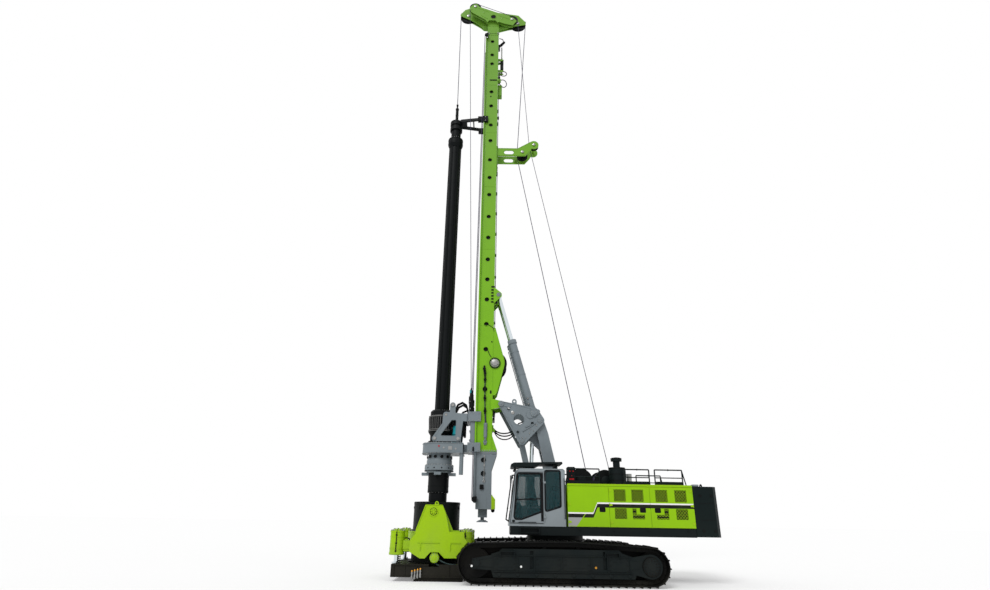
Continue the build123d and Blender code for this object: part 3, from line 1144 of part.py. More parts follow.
def main():
    os.makedirs("parts", exist_ok=True)
    for name, make in NODES.items():
        shape = make()
        shapes = shape if isinstance(shape, list) else [shape]
        solids = [solid for item in shapes for solid in item.solids()]
        placed = Compound(children=[Pos(ORIGIN_SHIFT, 0, 0) * solid for solid in solids])
        export_step(placed, f"parts/{name}.step")


if __name__ == "__main__":
    main()
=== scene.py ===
"""Looks of a crawler rotary piling rig with a casing oscillator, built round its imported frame.

Builder classes work in the rig's own frame: metres, X counted from the slewing axis towards the
counterweight, the mast towards -X, the cab on the -Y side, Z up from the ground.
"""

from __future__ import annotations

import json
import logging
import math
from dataclasses import dataclass
from enum import Enum
from typing import Callable, Iterable, Sequence

import bmesh
import bpy
from mathutils import Matrix, Vector


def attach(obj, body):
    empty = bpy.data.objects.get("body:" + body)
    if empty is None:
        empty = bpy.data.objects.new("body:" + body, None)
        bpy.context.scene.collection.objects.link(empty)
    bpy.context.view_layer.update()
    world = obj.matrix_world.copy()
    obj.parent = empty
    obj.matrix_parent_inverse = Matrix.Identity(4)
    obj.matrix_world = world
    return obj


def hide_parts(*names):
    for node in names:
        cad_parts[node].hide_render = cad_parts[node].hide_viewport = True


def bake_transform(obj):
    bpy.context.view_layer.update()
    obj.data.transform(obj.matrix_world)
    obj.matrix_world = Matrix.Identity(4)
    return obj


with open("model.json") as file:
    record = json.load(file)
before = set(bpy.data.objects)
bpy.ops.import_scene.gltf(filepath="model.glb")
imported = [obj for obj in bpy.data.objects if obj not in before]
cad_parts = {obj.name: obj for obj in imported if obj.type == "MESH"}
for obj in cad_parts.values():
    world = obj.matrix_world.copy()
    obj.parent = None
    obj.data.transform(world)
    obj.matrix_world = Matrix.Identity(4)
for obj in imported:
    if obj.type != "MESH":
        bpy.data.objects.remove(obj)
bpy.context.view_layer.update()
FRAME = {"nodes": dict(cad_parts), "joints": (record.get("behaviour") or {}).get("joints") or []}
LOG = logging.getLogger("rig")

Point = tuple[float, float, float]
Flat = tuple[float, float]
Colour = tuple[float, float, float]

AXIS_X: float = next(j for j in FRAME["joints"] if j["name"] == "slew")["pos_m"][0]


# ---- node trees ----------------------------------------------------------------------------------
class Sock:
    """A node's output that takes part in arithmetic."""

    def __init__(self, graph: "Graph", socket: bpy.types.NodeSocket) -> None:
        """Keep the graph and the socket."""
        self.graph = graph
        self.socket = socket

    def _math(self, operation: str, *values: "Sock | float") -> "Sock":
        """Add a Math node.

        Args:
            operation: the Math node's operation.
            values: its inputs in order.

        Returns:
            The node's output.
        """
        return self.graph.node("ShaderNodeMath", {"operation": operation}, dict(enumerate(values)))

    def __add__(self, other: "Sock | float") -> "Sock":
        """Sum."""
        return self._math("ADD", self, other)

    __radd__ = __add__

    def __sub__(self, other: "Sock | float") -> "Sock":
        """Difference."""
        return self._math("SUBTRACT", self, other)

    def __rsub__(self, other: "Sock | float") -> "Sock":
        """Difference with the number first."""
        return self._math("SUBTRACT", other, self)

    def __mul__(self, other: "Sock | float") -> "Sock":
        """Product."""
        return self._math("MULTIPLY", self, other)

    __rmul__ = __mul__

    def __truediv__(self, other: "Sock | float") -> "Sock":
        """Quotient."""
        return self._math("DIVIDE", self, other)

    def __gt__(self, other: "Sock | float") -> "Sock":
        """1 where this is greater, else 0."""
        return self._math("GREATER_THAN", self, other)

    def __lt__(self, other: "Sock | float") -> "Sock":
        """1 where this is less, else 0."""
        return self._math("LESS_THAN", self, other)

    def __abs__(self) -> "Sock":
        """Absolute value."""
        return self._math("ABSOLUTE", self)

    def low(self, other: "Sock | float") -> "Sock":
        """The smaller of two values."""
        return self._math("MINIMUM", self, other)

    def high(self, other: "Sock | float") -> "Sock":
        """The larger of two values."""
        return self._math("MAXIMUM", self, other)

    def wave(self) -> "Sock":
        """Sine."""
        return self._math("SINE", self)

    def ramp(self, low: float, high: float, to_low: float = 0.0, to_high: float = 1.0) -> "Sock":
        """Smooth step from one value to another.

        Args:
            low: value at which the step starts.
            high: value at which it ends.
            to_low: result below the step.
            to_high: result above it.

        Returns:
            The stepped value.
        """
        inputs = {"Value": self, "From Min": low, "From Max": high, "To Min": to_low, "To Max": to_high}
        return self.graph.node("ShaderNodeMapRange", {"interpolation_type": "SMOOTHSTEP"}, inputs)


class Graph:
    """A node tree while it is being built."""

    def __init__(self, tree: bpy.types.NodeTree) -> None:
        """Keep the tree."""
        self.tree = tree

    def feed(self, socket: bpy.types.NodeSocket, value: object) -> None:
        """Link a value to a socket or set it there."""
        if isinstance(value, Sock):
            self.tree.links.new(value.socket, socket)
        elif value is not None:
            socket.default_value = value

    def node(self, kind: str, settings: dict | None = None, inputs: dict | None = None,
             out: int | str = 0) -> Sock:
        """Add a node.

        Args:
            kind: the node's type.
            settings: attributes set before the inputs, "stops" for a ramp's (place, colour) pairs.
            inputs: socket name or number to value or link.
            out: the output to return.

        Returns:
            That output.
        """
        made = self.tree.nodes.new(kind)
        for key, value in (settings or {}).items():
            if key == "stops":
                while len(made.color_ramp.elements) < len(value):
                    made.color_ramp.elements.new(0.5)
                for element, (place, colour) in zip(made.color_ramp.elements, value):
                    element.position, element.color = place, colour
            else:
                setattr(made, key, value)
        for key, value in (inputs or {}).items():
            self.feed(made.inputs[key], value)
        return Sock(self, made.outputs[out])


def linear(colour: Colour) -> tuple[float, float, float, float]:
    """Scene-linear RGBA of a display colour given in 0 to 255."""
    def one(c: float) -> float:
        c /= 255
        return c / 12.92 if c <= 0.04045 else ((c + 0.055) / 1.055) ** 2.4
    return (one(colour[0]), one(colour[1]), one(colour[2]), 1.0)


class Surface(Graph):
    """The node tree of one material."""

    def __init__(self, name: str) -> None:
        """Make an empty material of that name."""
        self.material = bpy.data.materials.new(name)
        self.material.use_nodes = True
        super().__init__(self.material.node_tree)
        self.tree.nodes.clear()

    def place(self) -> Sock:
        """Object coordinates."""
        return self.node("ShaderNodeTexCoord", out="Object")

    def split(self, vector: Sock) -> tuple[Sock, Sock, Sock]:
        """The three parts of a vector."""
        first = self.node("ShaderNodeSeparateXYZ", inputs={0: vector})
        outputs = first.socket.node.outputs
        return first, Sock(self, outputs[1]), Sock(self, outputs[2])

    def stretch(self, vector: Sock, scale: Point) -> Sock:
        """A vector scaled along each axis."""
        return self.node("ShaderNodeVectorMath", {"operation": "MULTIPLY"}, {0: vector, 1: scale})

    def noise(self, vector: Sock, scale: float, detail: float = 3.0, rough: float = 0.55) -> Sock:
        """Cloudy noise from 0 to 1."""
        return self.node("ShaderNodeTexNoise", None,
                         {"Vector": vector, "Scale": scale, "Detail": detail, "Roughness": rough})

    def cells(self, vector: Sock, scale: float) -> Sock:
        """Distance to the nearest of scattered points."""
        return self.node("ShaderNodeTexVoronoi", None, {"Vector": vector, "Scale": scale})

    def mix(self, share: Sock | float, first: Sock | tuple, second: Sock | tuple) -> Sock:
        """Blend of two colours."""
        return self.node("ShaderNodeMix", {"data_type": "RGBA"}, {0: share, 6: first, 7: second}, 2)

    def bump(self, height: Sock, depth: float, normal: Sock | None = None) -> Sock:
        """Normal disturbed by a height from 0 to 1 over depth metres."""
        return self.node("ShaderNodeBump", None, {"Strength": 1.0, "Distance": depth, "Height": height,
                                                  "Normal": normal})

    def close(self, shader: Sock) -> bpy.types.Material:
        """Send the shader to the output and return the material."""
        out = self.tree.nodes.new("ShaderNodeOutputMaterial")
        self.tree.links.new(shader.socket, out.inputs["Surface"])
        return self.material


# ---- finishes ------------------------------------------------------------------------------------
DUST = (142, 136, 122)
SOOT = (20, 21, 20)


@dataclass(frozen=True)
class Finish:
    """A hard surface whose colour drifts, with dust low down, fine grain and scattered scuffs.

    Attributes:
        name: the material's name.
        colour: display colour, 0 to 255.
        roughness: mean roughness.
        metallic: 0 for paint, 1 for bare metal.
        coat: weight of a clear coat.
        drift: how far the colour wanders.
        dust: share of dust at the ground.
        dust_top: height in metres where dust has faded out.
        streak: share of rain streaks.
        scuff: share of dark scuffs.
        grain: bump depth in metres.
        grain_scale: grains per metre.
        shine: strength of the plain reflection.
    """

    name: str
    colour: Colour
    roughness: float = 0.38
    metallic: float = 0.0
    coat: float = 0.0
    drift: float = 0.10
    dust: float = 0.30
    dust_top: float = 2.4
    streak: float = 0.12
    scuff: float = 0.10
    grain: float = 0.0006
    grain_scale: float = 55.0
    shine: float = 0.15

    def paint(self, g: Surface, p: Sock) -> tuple[Sock | tuple, Sock | float]:
        """Clean colour and an extra roughness before weather is laid on.

        Args:
            g: the material's tree.
            p: object coordinates.

        Returns:
            The colour and a value added to the roughness.
        """
        return linear(self.colour), 0.0

    def relief(self, g: Surface, p: Sock) -> Sock | None:
        """Normal of shapes too fine to model, or None."""
        return None

    def build(self) -> bpy.types.Material:
        """Make the material."""
        g = Surface(self.name)
        p = g.place()
        colour, rougher = self.paint(g, p)
        cloud = g.noise(p, 1.7, 4)
        fine = g.noise(p, self.grain_scale, 2)
        streaks = g.noise(g.stretch(p, (9.0, 9.0, 0.35)), 1.6, 3)
        _, _, height = g.split(p)
        dark = linear(tuple(0.72 * c for c in self.colour))
        tint = g.mix(cloud.ramp(0.35, 0.75) * self.drift * 2.2, colour, dark)
        tint = g.mix(streaks.ramp(0.55, 0.8) * self.streak, tint, linear(SOOT))
        settled = (height.ramp(0.0, self.dust_top, 1.0, 0.06) * cloud.ramp(0.25, 0.8) * self.dust).low(0.9)
        tint = g.mix(settled, tint, linear(DUST))
        scuffed = g.noise(p, 11.0, 6, 0.75).ramp(0.64, 0.72) * self.scuff
        tint = g.mix(scuffed, tint, linear(SOOT))
        rough = settled * 0.4 + scuffed * 0.3 + cloud.ramp(0.3, 0.8) * 0.08 + fine * 0.05 + rougher
        normal = g.bump(fine, self.grain, self.relief(g, p))
        shader = g.node("ShaderNodeBsdfPrincipled", None, {
            "Base Color": tint, "Roughness": rough + (self.roughness - 0.06), "Metallic": self.metallic,
            "Coat Weight": self.coat, "Coat Roughness": 0.12, "Specular IOR Level": self.shine,
            "Normal": normal})
        return g.close(shader)


@dataclass(frozen=True)
class MastPaint(Finish):
    """Mast green that darkens towards the top: painted shade over the upper mast and the crown.

    Attributes:
        top_colour: the green at the top, darkened as painted shade.
        low: height at which it starts to deepen.
        top: height at which it's deepest.
    """

    top_colour: Colour = (98, 144, 44)
    low: float = 4.0
    top: float = 22.0

    def paint(self, g: Surface, p: Sock) -> tuple[Sock | tuple, Sock | float]:
        """Blend of the low and the high green."""
        _, _, height = g.split(p)
        return g.mix(height.ramp(self.low, self.top), linear(self.colour), linear(self.top_colour)), 0.0


@dataclass(frozen=True)
class HoodPaint(Finish):
    """Hood green with a two-tone stripe that steps up behind the cab, and a grey corner panel.

    Attributes:
        low_z: height of the stripe's foot beside the cab.
        high_z: height of its foot along the doors.
        step: X where the step starts and ends.
        white: height of the pale band.
        black: height of the dark band under it.
        half: half width of the hood, outside which the stripe is painted.
        slant: how far the panel's slanting edge runs back for each metre up.
        edge: places of the panel's edge and of the stripe's end along that slant.
        panel_top: height of the panel.
        panel_colour: the panel's grey.
        dark: the dark band's colour.
        pale: the pale band's colour.
    """

    low_z: float = 1.827
    high_z: float = 2.118
    step: Flat = (1.033, 1.172)
    white: float = 0.042
    black: float = 0.104
    half: float = 1.49
    slant: float = 0.741
    edge: Flat = (-0.655, -0.625)
    panel_top: float = 1.84
    panel_colour: Colour = (150, 150, 150)
    dark: Colour = (9, 8, 8)
    pale: Colour = (232, 226, 232)

    def paint(self, g: Surface, p: Sock) -> tuple[Sock | tuple, Sock | float]:
        """Green, then the corner panel, the dark band and the pale band over it."""
        x, y, z = g.split(p)
        x = x - AXIS_X
        line = g.node("ShaderNodeMapRange", None,
                      {"Value": x, "From Min": self.step[0], "From Max": self.step[1],
                                                   "To Min": self.low_z, "To Max": self.high_z})
        side = abs(y) > self.half
        slash = x - z * self.slant
        panel = (slash < self.edge[0]) * (z < self.panel_top) * side
        colour = g.mix(panel, linear(self.colour), linear(self.panel_colour))
        gap = 1 - (slash > self.edge[0]) * (slash < self.edge[1])
        black = (z > line) * (z < line + self.black) * side * gap
        white = (z > line + self.black) * (z < line + (self.black + self.white)) * side
        colour = g.mix(black, colour, linear(self.dark))
        return g.mix(white, colour, linear(self.pale)), 0.0


@dataclass(frozen=True)
class Glass:
    """Tinted window glass."""

    name: str
    tint: Colour

    def build(self) -> bpy.types.Material:
        """Make the material."""
        g = Surface(self.name)
        p = g.place()
        smear = g.noise(g.stretch(p, (3.0, 3.0, 0.9)), 2.2, 4).ramp(0.4, 0.85)
        glass = g.node("ShaderNodeBsdfPrincipled", None, {
            "Base Color": linear(self.tint), "Roughness": smear * 0.06 + 0.03, "IOR": 1.45,
            "Alpha": smear * 0.12 + 0.42, "Coat Weight": 0.05, "Coat Roughness": 0.03,
            "Specular IOR Level": 0.3})
        return g.close(glass)


@dataclass(frozen=True)
class Rope(Finish):
    """Steel wire rope with its lay drawn by the normal."""

    turns: float = 26.0

    def relief(self, g: Surface, p: Sock) -> Sock | None:
        """Slanting strands."""
        x, y, z = g.split(p)
        strands = ((z * self.turns + x * 90 + y * 90) * 6.283).wave() * 0.5 + 0.5
        return g.bump(strands, 0.004)


class Paint(Enum):
    """Every finish of the rig."""

    LIME = Finish("lime_enamel", (146, 184, 4), 0.36, coat=0.04, drift=0.05, dust=0.16, streak=0.05,
                  scuff=0.03)
    HOOD = HoodPaint("striped_enamel", (134, 182, 0), 0.34, coat=0.04, drift=0.04, dust=0.06, streak=0.04,
                     scuff=0.02)
    MAST = MastPaint("mast_enamel", (113, 169, 20), 0.38, coat=0.04, drift=0.06, dust=0.10, streak=0.07,
                     scuff=0.03)
    GREY = Finish("grey_enamel", (112, 121, 126), 0.42, coat=0.02, drift=0.08, dust=0.12, streak=0.10,
                  scuff=0.05)
    CAB = Finish("cab_enamel", (130, 138, 142), 0.36, coat=0.04, drift=0.05, dust=0.10, streak=0.05,
                 scuff=0.03)
    CHASSIS = Finish("chassis_enamel", (13, 21, 22), 0.5, drift=0.1, dust=0.03, streak=0.08, scuff=0.08,
                     shine=0.10)
    WEIGHT = Finish("counterweight_enamel", (9, 21, 21), 0.46, drift=0.08, dust=0.03, streak=0.05, scuff=0.05,
                    shine=0.10)
    TRACK = Finish("track_iron", (9, 10, 10), 0.55, metallic=0.1, drift=0.2, dust=0.07, dust_top=1.6,
                   streak=0.1, scuff=0.12, grain=0.0015, grain_scale=38, shine=0.10)
    BASE = Finish("base_iron", (27, 26, 21), 0.58, drift=0.14, dust=0.05, dust_top=1.0, streak=0.1, scuff=0.2,
                  shine=0.10)
    CASING = Finish("casing_iron", (15, 20, 17), 0.5, metallic=0.2, drift=0.12, dust=0.03, streak=0.2,
                    scuff=0.15, shine=0.10)
    KELLY = Finish("kelly_iron", (12, 15, 16), 0.5, metallic=0.1, drift=0.12, dust=0.01, streak=0.2,
                   scuff=0.2, shine=0.08)
    STEEL = Finish("worn_steel", (150, 150, 148), 0.34, metallic=0.9, drift=0.1, dust=0.04, streak=0.1,
                   scuff=0.12)
    CHROME = Finish("chromed_rod", (214, 222, 226), 0.13, metallic=1.0, drift=0.02, dust=0.0, streak=0.03,
                    scuff=0.0, grain=0.0001)
    TEAL = Finish("motor_enamel", (22, 150, 160), 0.35, coat=0.2, drift=0.1, dust=0.05, scuff=0.1)
    RUBBER = Finish("black_rubber", (14, 15, 17), 0.6, drift=0.08, dust=0.03, streak=0.0, scuff=0.02,
                    shine=0.10)
    HOSE = Finish("grey_hose_cover", (62, 78, 80), 0.55, drift=0.08, dust=0.04, streak=0.0, scuff=0.03,
                  shine=0.10)
    DARK = Finish("dark_fittings", (9, 12, 13), 0.5, drift=0.08, dust=0.03, streak=0.04, scuff=0.05,
                  shine=0.10)
    TRIM = Finish("seat_cloth", (44, 46, 50), 0.85, drift=0.1, dust=0.02, streak=0.0, scuff=0.0,
                  grain=0.0012, grain_scale=260)
    ROPE = Rope("wire_rope", (58, 54, 76), 0.5, metallic=0.2, drift=0.1, dust=0.0, streak=0.0, scuff=0.1)
    RED = Finish("red_enamel", (176, 30, 34), 0.35, drift=0.05, dust=0.0, streak=0.0, scuff=0.02)
    WHITE = Finish("white_enamel", (226, 228, 226), 0.35, drift=0.04, dust=0.02, streak=0.0, scuff=0.02)
    BRASS = Finish("brass_fitting", (196, 140, 52), 0.35, metallic=0.8, drift=0.1, dust=0.05, scuff=0.1)
    GLASS = Glass("window_glass", (20, 58, 62))
    LENS = Glass("lamp_lens", (214, 222, 224))

    @property
    def material(self) -> bpy.types.Material:
        """The finish's material, made on first use."""
        found = bpy.data.materials.get(self.value.name)
        return found or self.value.build()

    @property
    def slot(self) -> str:
        """The record's material slot listed for this finish."""
        return SLOTS[self.name]


SLOTS: dict[str, str] = {
    "BASE": "dark_paint", "BRASS": "bare_steel", "CAB": "cab_grey", "CASING": "dark_paint",
    "CHASSIS": "dark_paint", "CHROME": "chrome", "DARK": "dark_paint", "GLASS": "glass", "GREY": "grey_paint",
    "KELLY": "kelly_black", "LENS": "glass", "LIME": "lime_paint", "MAST": "mast_lime", "RED": "dark_paint",
    "ROPE": "bare_steel", "RUBBER": "track_black", "STEEL": "bare_steel", "TEAL": "teal_paint",
    "TRACK": "track_black", "TRIM": "interior_dark", "WHITE": "grey_paint",
}


# ---- meshes --------------------------------------------------------------------------------------
def rectangle(x0: float, x1: float, z0: float, z1: float) -> tuple[Flat, ...]:
    """Corners of an upright rectangle in X and Z."""
    return (x0, z0), (x1, z0), (x1, z1), (x0, z1)


class Shape:
    """A mesh under construction in the rig's own frame."""

    def __init__(self) -> None:
        """Start empty."""
        self.mesh = bmesh.new()

    def hull(self, verts: Sequence[Point], faces: Sequence[Sequence[int]]) -> "Shape":
        """Add vertices and the faces that join them."""
        made = [self.mesh.verts.new(v) for v in verts]
        for face in faces:
            self.mesh.faces.new([made[i] for i in face])
        return self

    def box(self, low: Point, high: Point, bevel: float = 0.0, turn: Matrix | None = None) -> "Shape":
        """Add a box between two corners.

        Args:
            low: lowest corner.
            high: highest corner.
            bevel: width of its chamfered edges.
            turn: a turn about the box's own centre.

        Returns:
            This shape.
        """
        middle = (Vector(low) + Vector(high)) / 2
        size = Vector(high) - Vector(low)
        place = Matrix.Translation(middle) @ (turn or Matrix.Identity(4)) @ Matrix.Diagonal((*size, 1))
        made = bmesh.ops.create_cube(self.mesh, size=1, matrix=place)["verts"]
        if bevel:
            edges = list({e for v in made for e in v.link_edges})
            bmesh.ops.bevel(self.mesh, geom=edges, offset=bevel, segments=2, affect="EDGES",
                            clamp_overlap=True)
        return self

    def extrude(self, near: Sequence[Point], far: Sequence[Point]) -> "Shape":
        """Add a prism between two matching outlines."""
        n = len(near)
        faces = [list(range(n)), list(range(2 * n - 1, n - 1, -1))]
        faces += [(i, i + n, (i + 1) % n + n, (i + 1) % n) for i in range(n)]
        return self.hull([*near, *far], faces)

    def prism(self, outline: Sequence[Flat], y0: float, y1: float) -> "Shape":
        """Add a prism between two Y planes from an outline in X and Z."""
        return self.extrude(*([(x, y, z) for x, z in outline] for y in (y0, y1)))

    def plan(self, outline: Sequence[Flat], z0: float, z1: float) -> "Shape":
        """Add a plate between two levels from an outline in X and Y."""
        return self.extrude(*([(x, y, z) for x, y in outline] for z in (z0, z1)))

    def lathe(self, start: Point, end: Point, profile: Sequence[Flat], sides: int = 24) -> "Shape":
        """Add a turned piece.

        Args:
            start: point of the axis at share 0.
            end: point of the axis at share 1.
            profile: (share of the axis, radius) pairs; a radius of 0 closes it in a point.
            sides: number of sides.

        Returns:
            This shape.
        """
        a, b = Vector(start), Vector(end)
        along = (b - a).normalized()
        side = along.orthogonal().normalized()
        up = along.cross(side)
        rings = []
        closed = tuple(profile[0]) == tuple(profile[-1])
        for share, radius in profile[:-1] if closed else profile:
            centre = a + (b - a) * share
            if radius < 1e-6:
                rings.append([self.mesh.verts.new(centre)])
                continue
            rings.append([self.mesh.verts.new(centre + radius * (math.cos(t) * side + math.sin(t) * up))
                          for t in (math.tau * k / sides for k in range(sides))])
        for r0, r1 in zip(rings, rings[1:] + rings[:1] if closed else rings[1:]):
            for k in range(sides):
                m = (k + 1) % sides
                corners = [r0[k % len(r0)], r0[m % len(r0)], r1[m % len(r1)], r1[k % len(r1)]]
                unique = list(dict.fromkeys(corners))
                if len(unique) > 2:
                    self.mesh.faces.new(unique)
        for ring in () if closed else (rings[0], rings[-1]):
            if len(ring) > 1:
                self.mesh.faces.new(ring)
        return self

    def rod(self, start: Point, end: Point, radius: float, sides: int = 16) -> "Shape":
        """Add a round bar."""
        return self.lathe(start, end, ((0, radius), (1, radius)), sides)

    def ring(self, start: Point, end: Point, outer: float, inner: float, sides: int = 32) -> "Shape":
        """Add a tube with a hole."""
        return self.lathe(start, end, ((0, inner), (0, outer), (1, outer), (1, inner), (0, inner)), sides)

    def tube(self, points: Sequence[Point], radius: float, sides: int = 8) -> "Shape":
        """Add a tube along points, with its corners mitred."""
        path = [Vector(p) for p in points]
        normal = (path[1] - path[0]).normalized().orthogonal().normalized()
        rings = []
        for i, centre in enumerate(path):
            before = (centre - path[i - 1]).normalized() if i else (path[1] - path[0]).normalized()
            after = (path[i + 1] - centre).normalized() if i + 1 < len(path) else before
            along = (before + after).normalized()
            normal = (normal - normal.dot(along) * along).normalized()
            up = along.cross(normal)
            rings.append([self.mesh.verts.new(centre + radius * (math.cos(t) * normal + math.sin(t) * up))
                          for t in (math.tau * k / sides for k in range(sides))])
        for r0, r1 in zip(rings, rings[1:]):
            for k in range(sides):
                self.mesh.faces.new((r0[k], r0[(k + 1) % sides], r1[(k + 1) % sides], r1[k]))
        self.mesh.faces.new(rings[0])
        self.mesh.faces.new(rings[-1])
        return self

    def twin(self) -> "Shape":
        """Add the mirror image across the rig's centre plane."""
        made = bmesh.ops.duplicate(self.mesh,
                                   geom=self.mesh.verts[:] + self.mesh.edges[:] + self.mesh.faces[:])
        verts = [v for v in made["geom"] if isinstance(v, bmesh.types.BMVert)]
        bmesh.ops.scale(self.mesh, vec=(1, -1, 1), verts=verts)
        return self

    def bolt(self, centre: Point, axis: Point, size: float = 0.03, high: float = 0.02) -> "Shape":
        """Add a hexagon head on its washer, standing along an axis."""
        at, way = Vector(centre), Vector(axis).normalized()
        self.rod(at, at + way * high * 0.25, size * 0.62, 10)
        return self.lathe(at + way * high * 0.25, at + way * high, dome(size / 2, size * 0.4, 0.8), 6)

    def torus(self, centre: Point, axis: Point, radius: float, thick: float, sides: int = 24,
              rounds: int = 6) -> "Shape":
        """Add a round ring about an axis."""
        at, way = Vector(centre), Vector(axis).normalized()
        side = way.orthogonal().normalized()
        up = way.cross(side)
        rows = []
        for k in range(sides):
            out = math.cos(math.tau * k / sides) * side + math.sin(math.tau * k / sides) * up
            turns = [math.tau * m / rounds for m in range(rounds)]
            rows.append([self.mesh.verts.new(at + out * (radius + thick * math.cos(t)) + way * thick
                                             * math.sin(t))
                         for t in turns])
        for k in range(sides):
            a, b = rows[k], rows[(k + 1) % sides]
            for m in range(rounds):
                self.mesh.faces.new((a[m], a[(m + 1) % rounds], b[(m + 1) % rounds], b[m]))
        return self

    def frame(self, outline: Sequence[Flat], radius: float, outer: float, inner: float, y0: float,
              y1: float) -> "Shape":
        """Add a flat frame round an outline in X and Z, such as a window seal."""
        a, b = rounded(outline, radius, outer), rounded(outline, radius, inner)
        n = len(a)
        verts = [(x, y, z) for y in (y0, y1) for ring in (a, b) for x, z in ring]
        faces = []
        for k in range(n):
            m = (k + 1) % n
            faces += [(k, m, n + m, n + k), (2 * n + k, 3 * n + k, 3 * n + m, 2 * n + m),
                      (k, 2 * n + k, 2 * n + m, m), (n + k, n + m, 3 * n + m, 3 * n + k)]
        return self.hull(verts, faces)

    def slab(self, outline: Sequence[Flat], radius: float, grow: float, y0: float, y1: float) -> "Shape":
        """Add a plate with rounded corners between two Y planes."""
        return self.prism(rounded(outline, radius, grow), y0, y1)

    def data(self, name: str, shift: bool = True) -> bpy.types.Mesh:
        """Close the mesh with its faces outwards, in the shared frame or about its own origin."""
        bmesh.ops.recalc_face_normals(self.mesh, faces=self.mesh.faces[:])
        if shift:
            bmesh.ops.translate(self.mesh, vec=(AXIS_X, 0, 0), verts=self.mesh.verts[:])
        made = bpy.data.meshes.new(name)
        self.mesh.to_mesh(made)
        self.mesh.free()
        made.shade_smooth()
        made.set_sharp_from_angle(angle=math.radians(32))
        return made


def keep(made: bpy.types.Mesh, name: str, body: str, paint: Paint) -> bpy.types.Object:
    """Turn a mesh into a finished piece.

    Args:
        made: the mesh, in the shared frame.
        name: the piece's name.
        body: the body it rides on.
        paint: its finish.

    Returns:
        The piece.
    """
    if not made.materials:
        made.materials.append(paint.material)
    piece = bpy.data.objects.new(name, made)
    bpy.context.scene.collection.objects.link(piece)
    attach(piece, body)
    LOG.info("%s: %d faces on %s", name, len(made.polygons), body)
    return piece


def show(shape: Shape, name: str, body: str, paint: Paint) -> bpy.types.Object:
    """Finish a shape as a piece of that name, body and finish."""
    return keep(shape.data(name), name, body, paint)


def rounded(outline: Sequence[Flat], radius: float, grow: float = 0.0, steps: int = 4) -> list[Flat]:
    """Convex outline with round corners, grown by a distance.

    Args:
        outline: corners in X and Z.
        radius: corner radius before growing.
        grow: distance by which it grows.
        steps: arc pieces at each corner.

    Returns:
        The points round it.
    """
    n = len(outline)
    area = sum(outline[i][0] * outline[(i + 1) % n][1] - outline[(i + 1) % n][0] * outline[i][1]
               for i in range(n))
    points = list(outline) if area > 0 else list(reversed(outline))
    found: list[Flat] = []
    for i, here in enumerate(points):
        at, before, after = Vector(here), Vector(points[i - 1]), Vector(points[(i + 1) % n])
        d0, d1 = (at - before).normalized(), (after - at).normalized()
        n0, n1 = Vector((d0.y, -d0.x)), Vector((d1.y, -d1.x))
        half = math.acos(max(-1.0, min(1.0, n0.dot(n1)))) / 2
        centre = at - (n0 + n1).normalized() * radius / math.cos(half)
        start, turn = math.atan2(n0.y, n0.x), 2 * half
        for k in range(steps + 1):
            angle = start + turn * k / steps
            found.append((centre.x + (radius + grow) * math.cos(angle),
                          centre.y + (radius + grow) * math.sin(angle)))
    return found


def wrap(wheels: Sequence[tuple[float, float, float]], closed: bool = False,
         step: float = 0.12) -> list[Flat]:
    """Path of a belt or rope past wheels given as X, Z and signed radius.

    Args:
        wheels: wheels in order; a positive radius lies to the right of the way the path runs.
        closed: whether the path returns to its first wheel.
        step: largest angle between points on a wheel, in radians.

    Returns:
        Points in X and Z.
    """
    count = len(wheels)
    lines = []
    for i in range(count if closed else count - 1):
        (x0, z0, r0), (x1, z1, r1) = wheels[i], wheels[(i + 1) % count]
        gap = math.hypot(x1 - x0, z1 - z0)
        ux, uz = (x1 - x0) / gap, (z1 - z0) / gap
        lean = (r0 - r1) / gap
        across = math.sqrt(1 - lean * lean)
        nx, nz = ux * lean - uz * across, uz * lean + ux * across
        lines.append(((x0 + r0 * nx, z0 + r0 * nz), (x1 + r1 * nx, z1 + r1 * nz)))
    found: list[Flat] = [] if closed else [lines[0][0]]
    for i, (begin, end) in enumerate(lines):
        if not closed and i == len(lines) - 1:
            found.append(end)
            break
        x, z, r = wheels[(i + 1) % count]
        leave = lines[(i + 1) % len(lines)][0]
        start = math.atan2(end[1] - z, end[0] - x)
        turn = math.atan2(leave[1] - z, leave[0] - x) - start
        turn = (turn + math.pi) % math.tau - math.pi if abs(r) < 0.3 and not closed else \
            (-((-turn) % math.tau) if r > 0 else turn % math.tau)
        pieces = max(1, math.ceil(abs(turn) / step))
        found += [(x + abs(r) * math.cos(start + turn * k / pieces),
                   z + abs(r) * math.sin(start + turn * k / pieces))
                  for k in range(pieces + 1)]
    return found


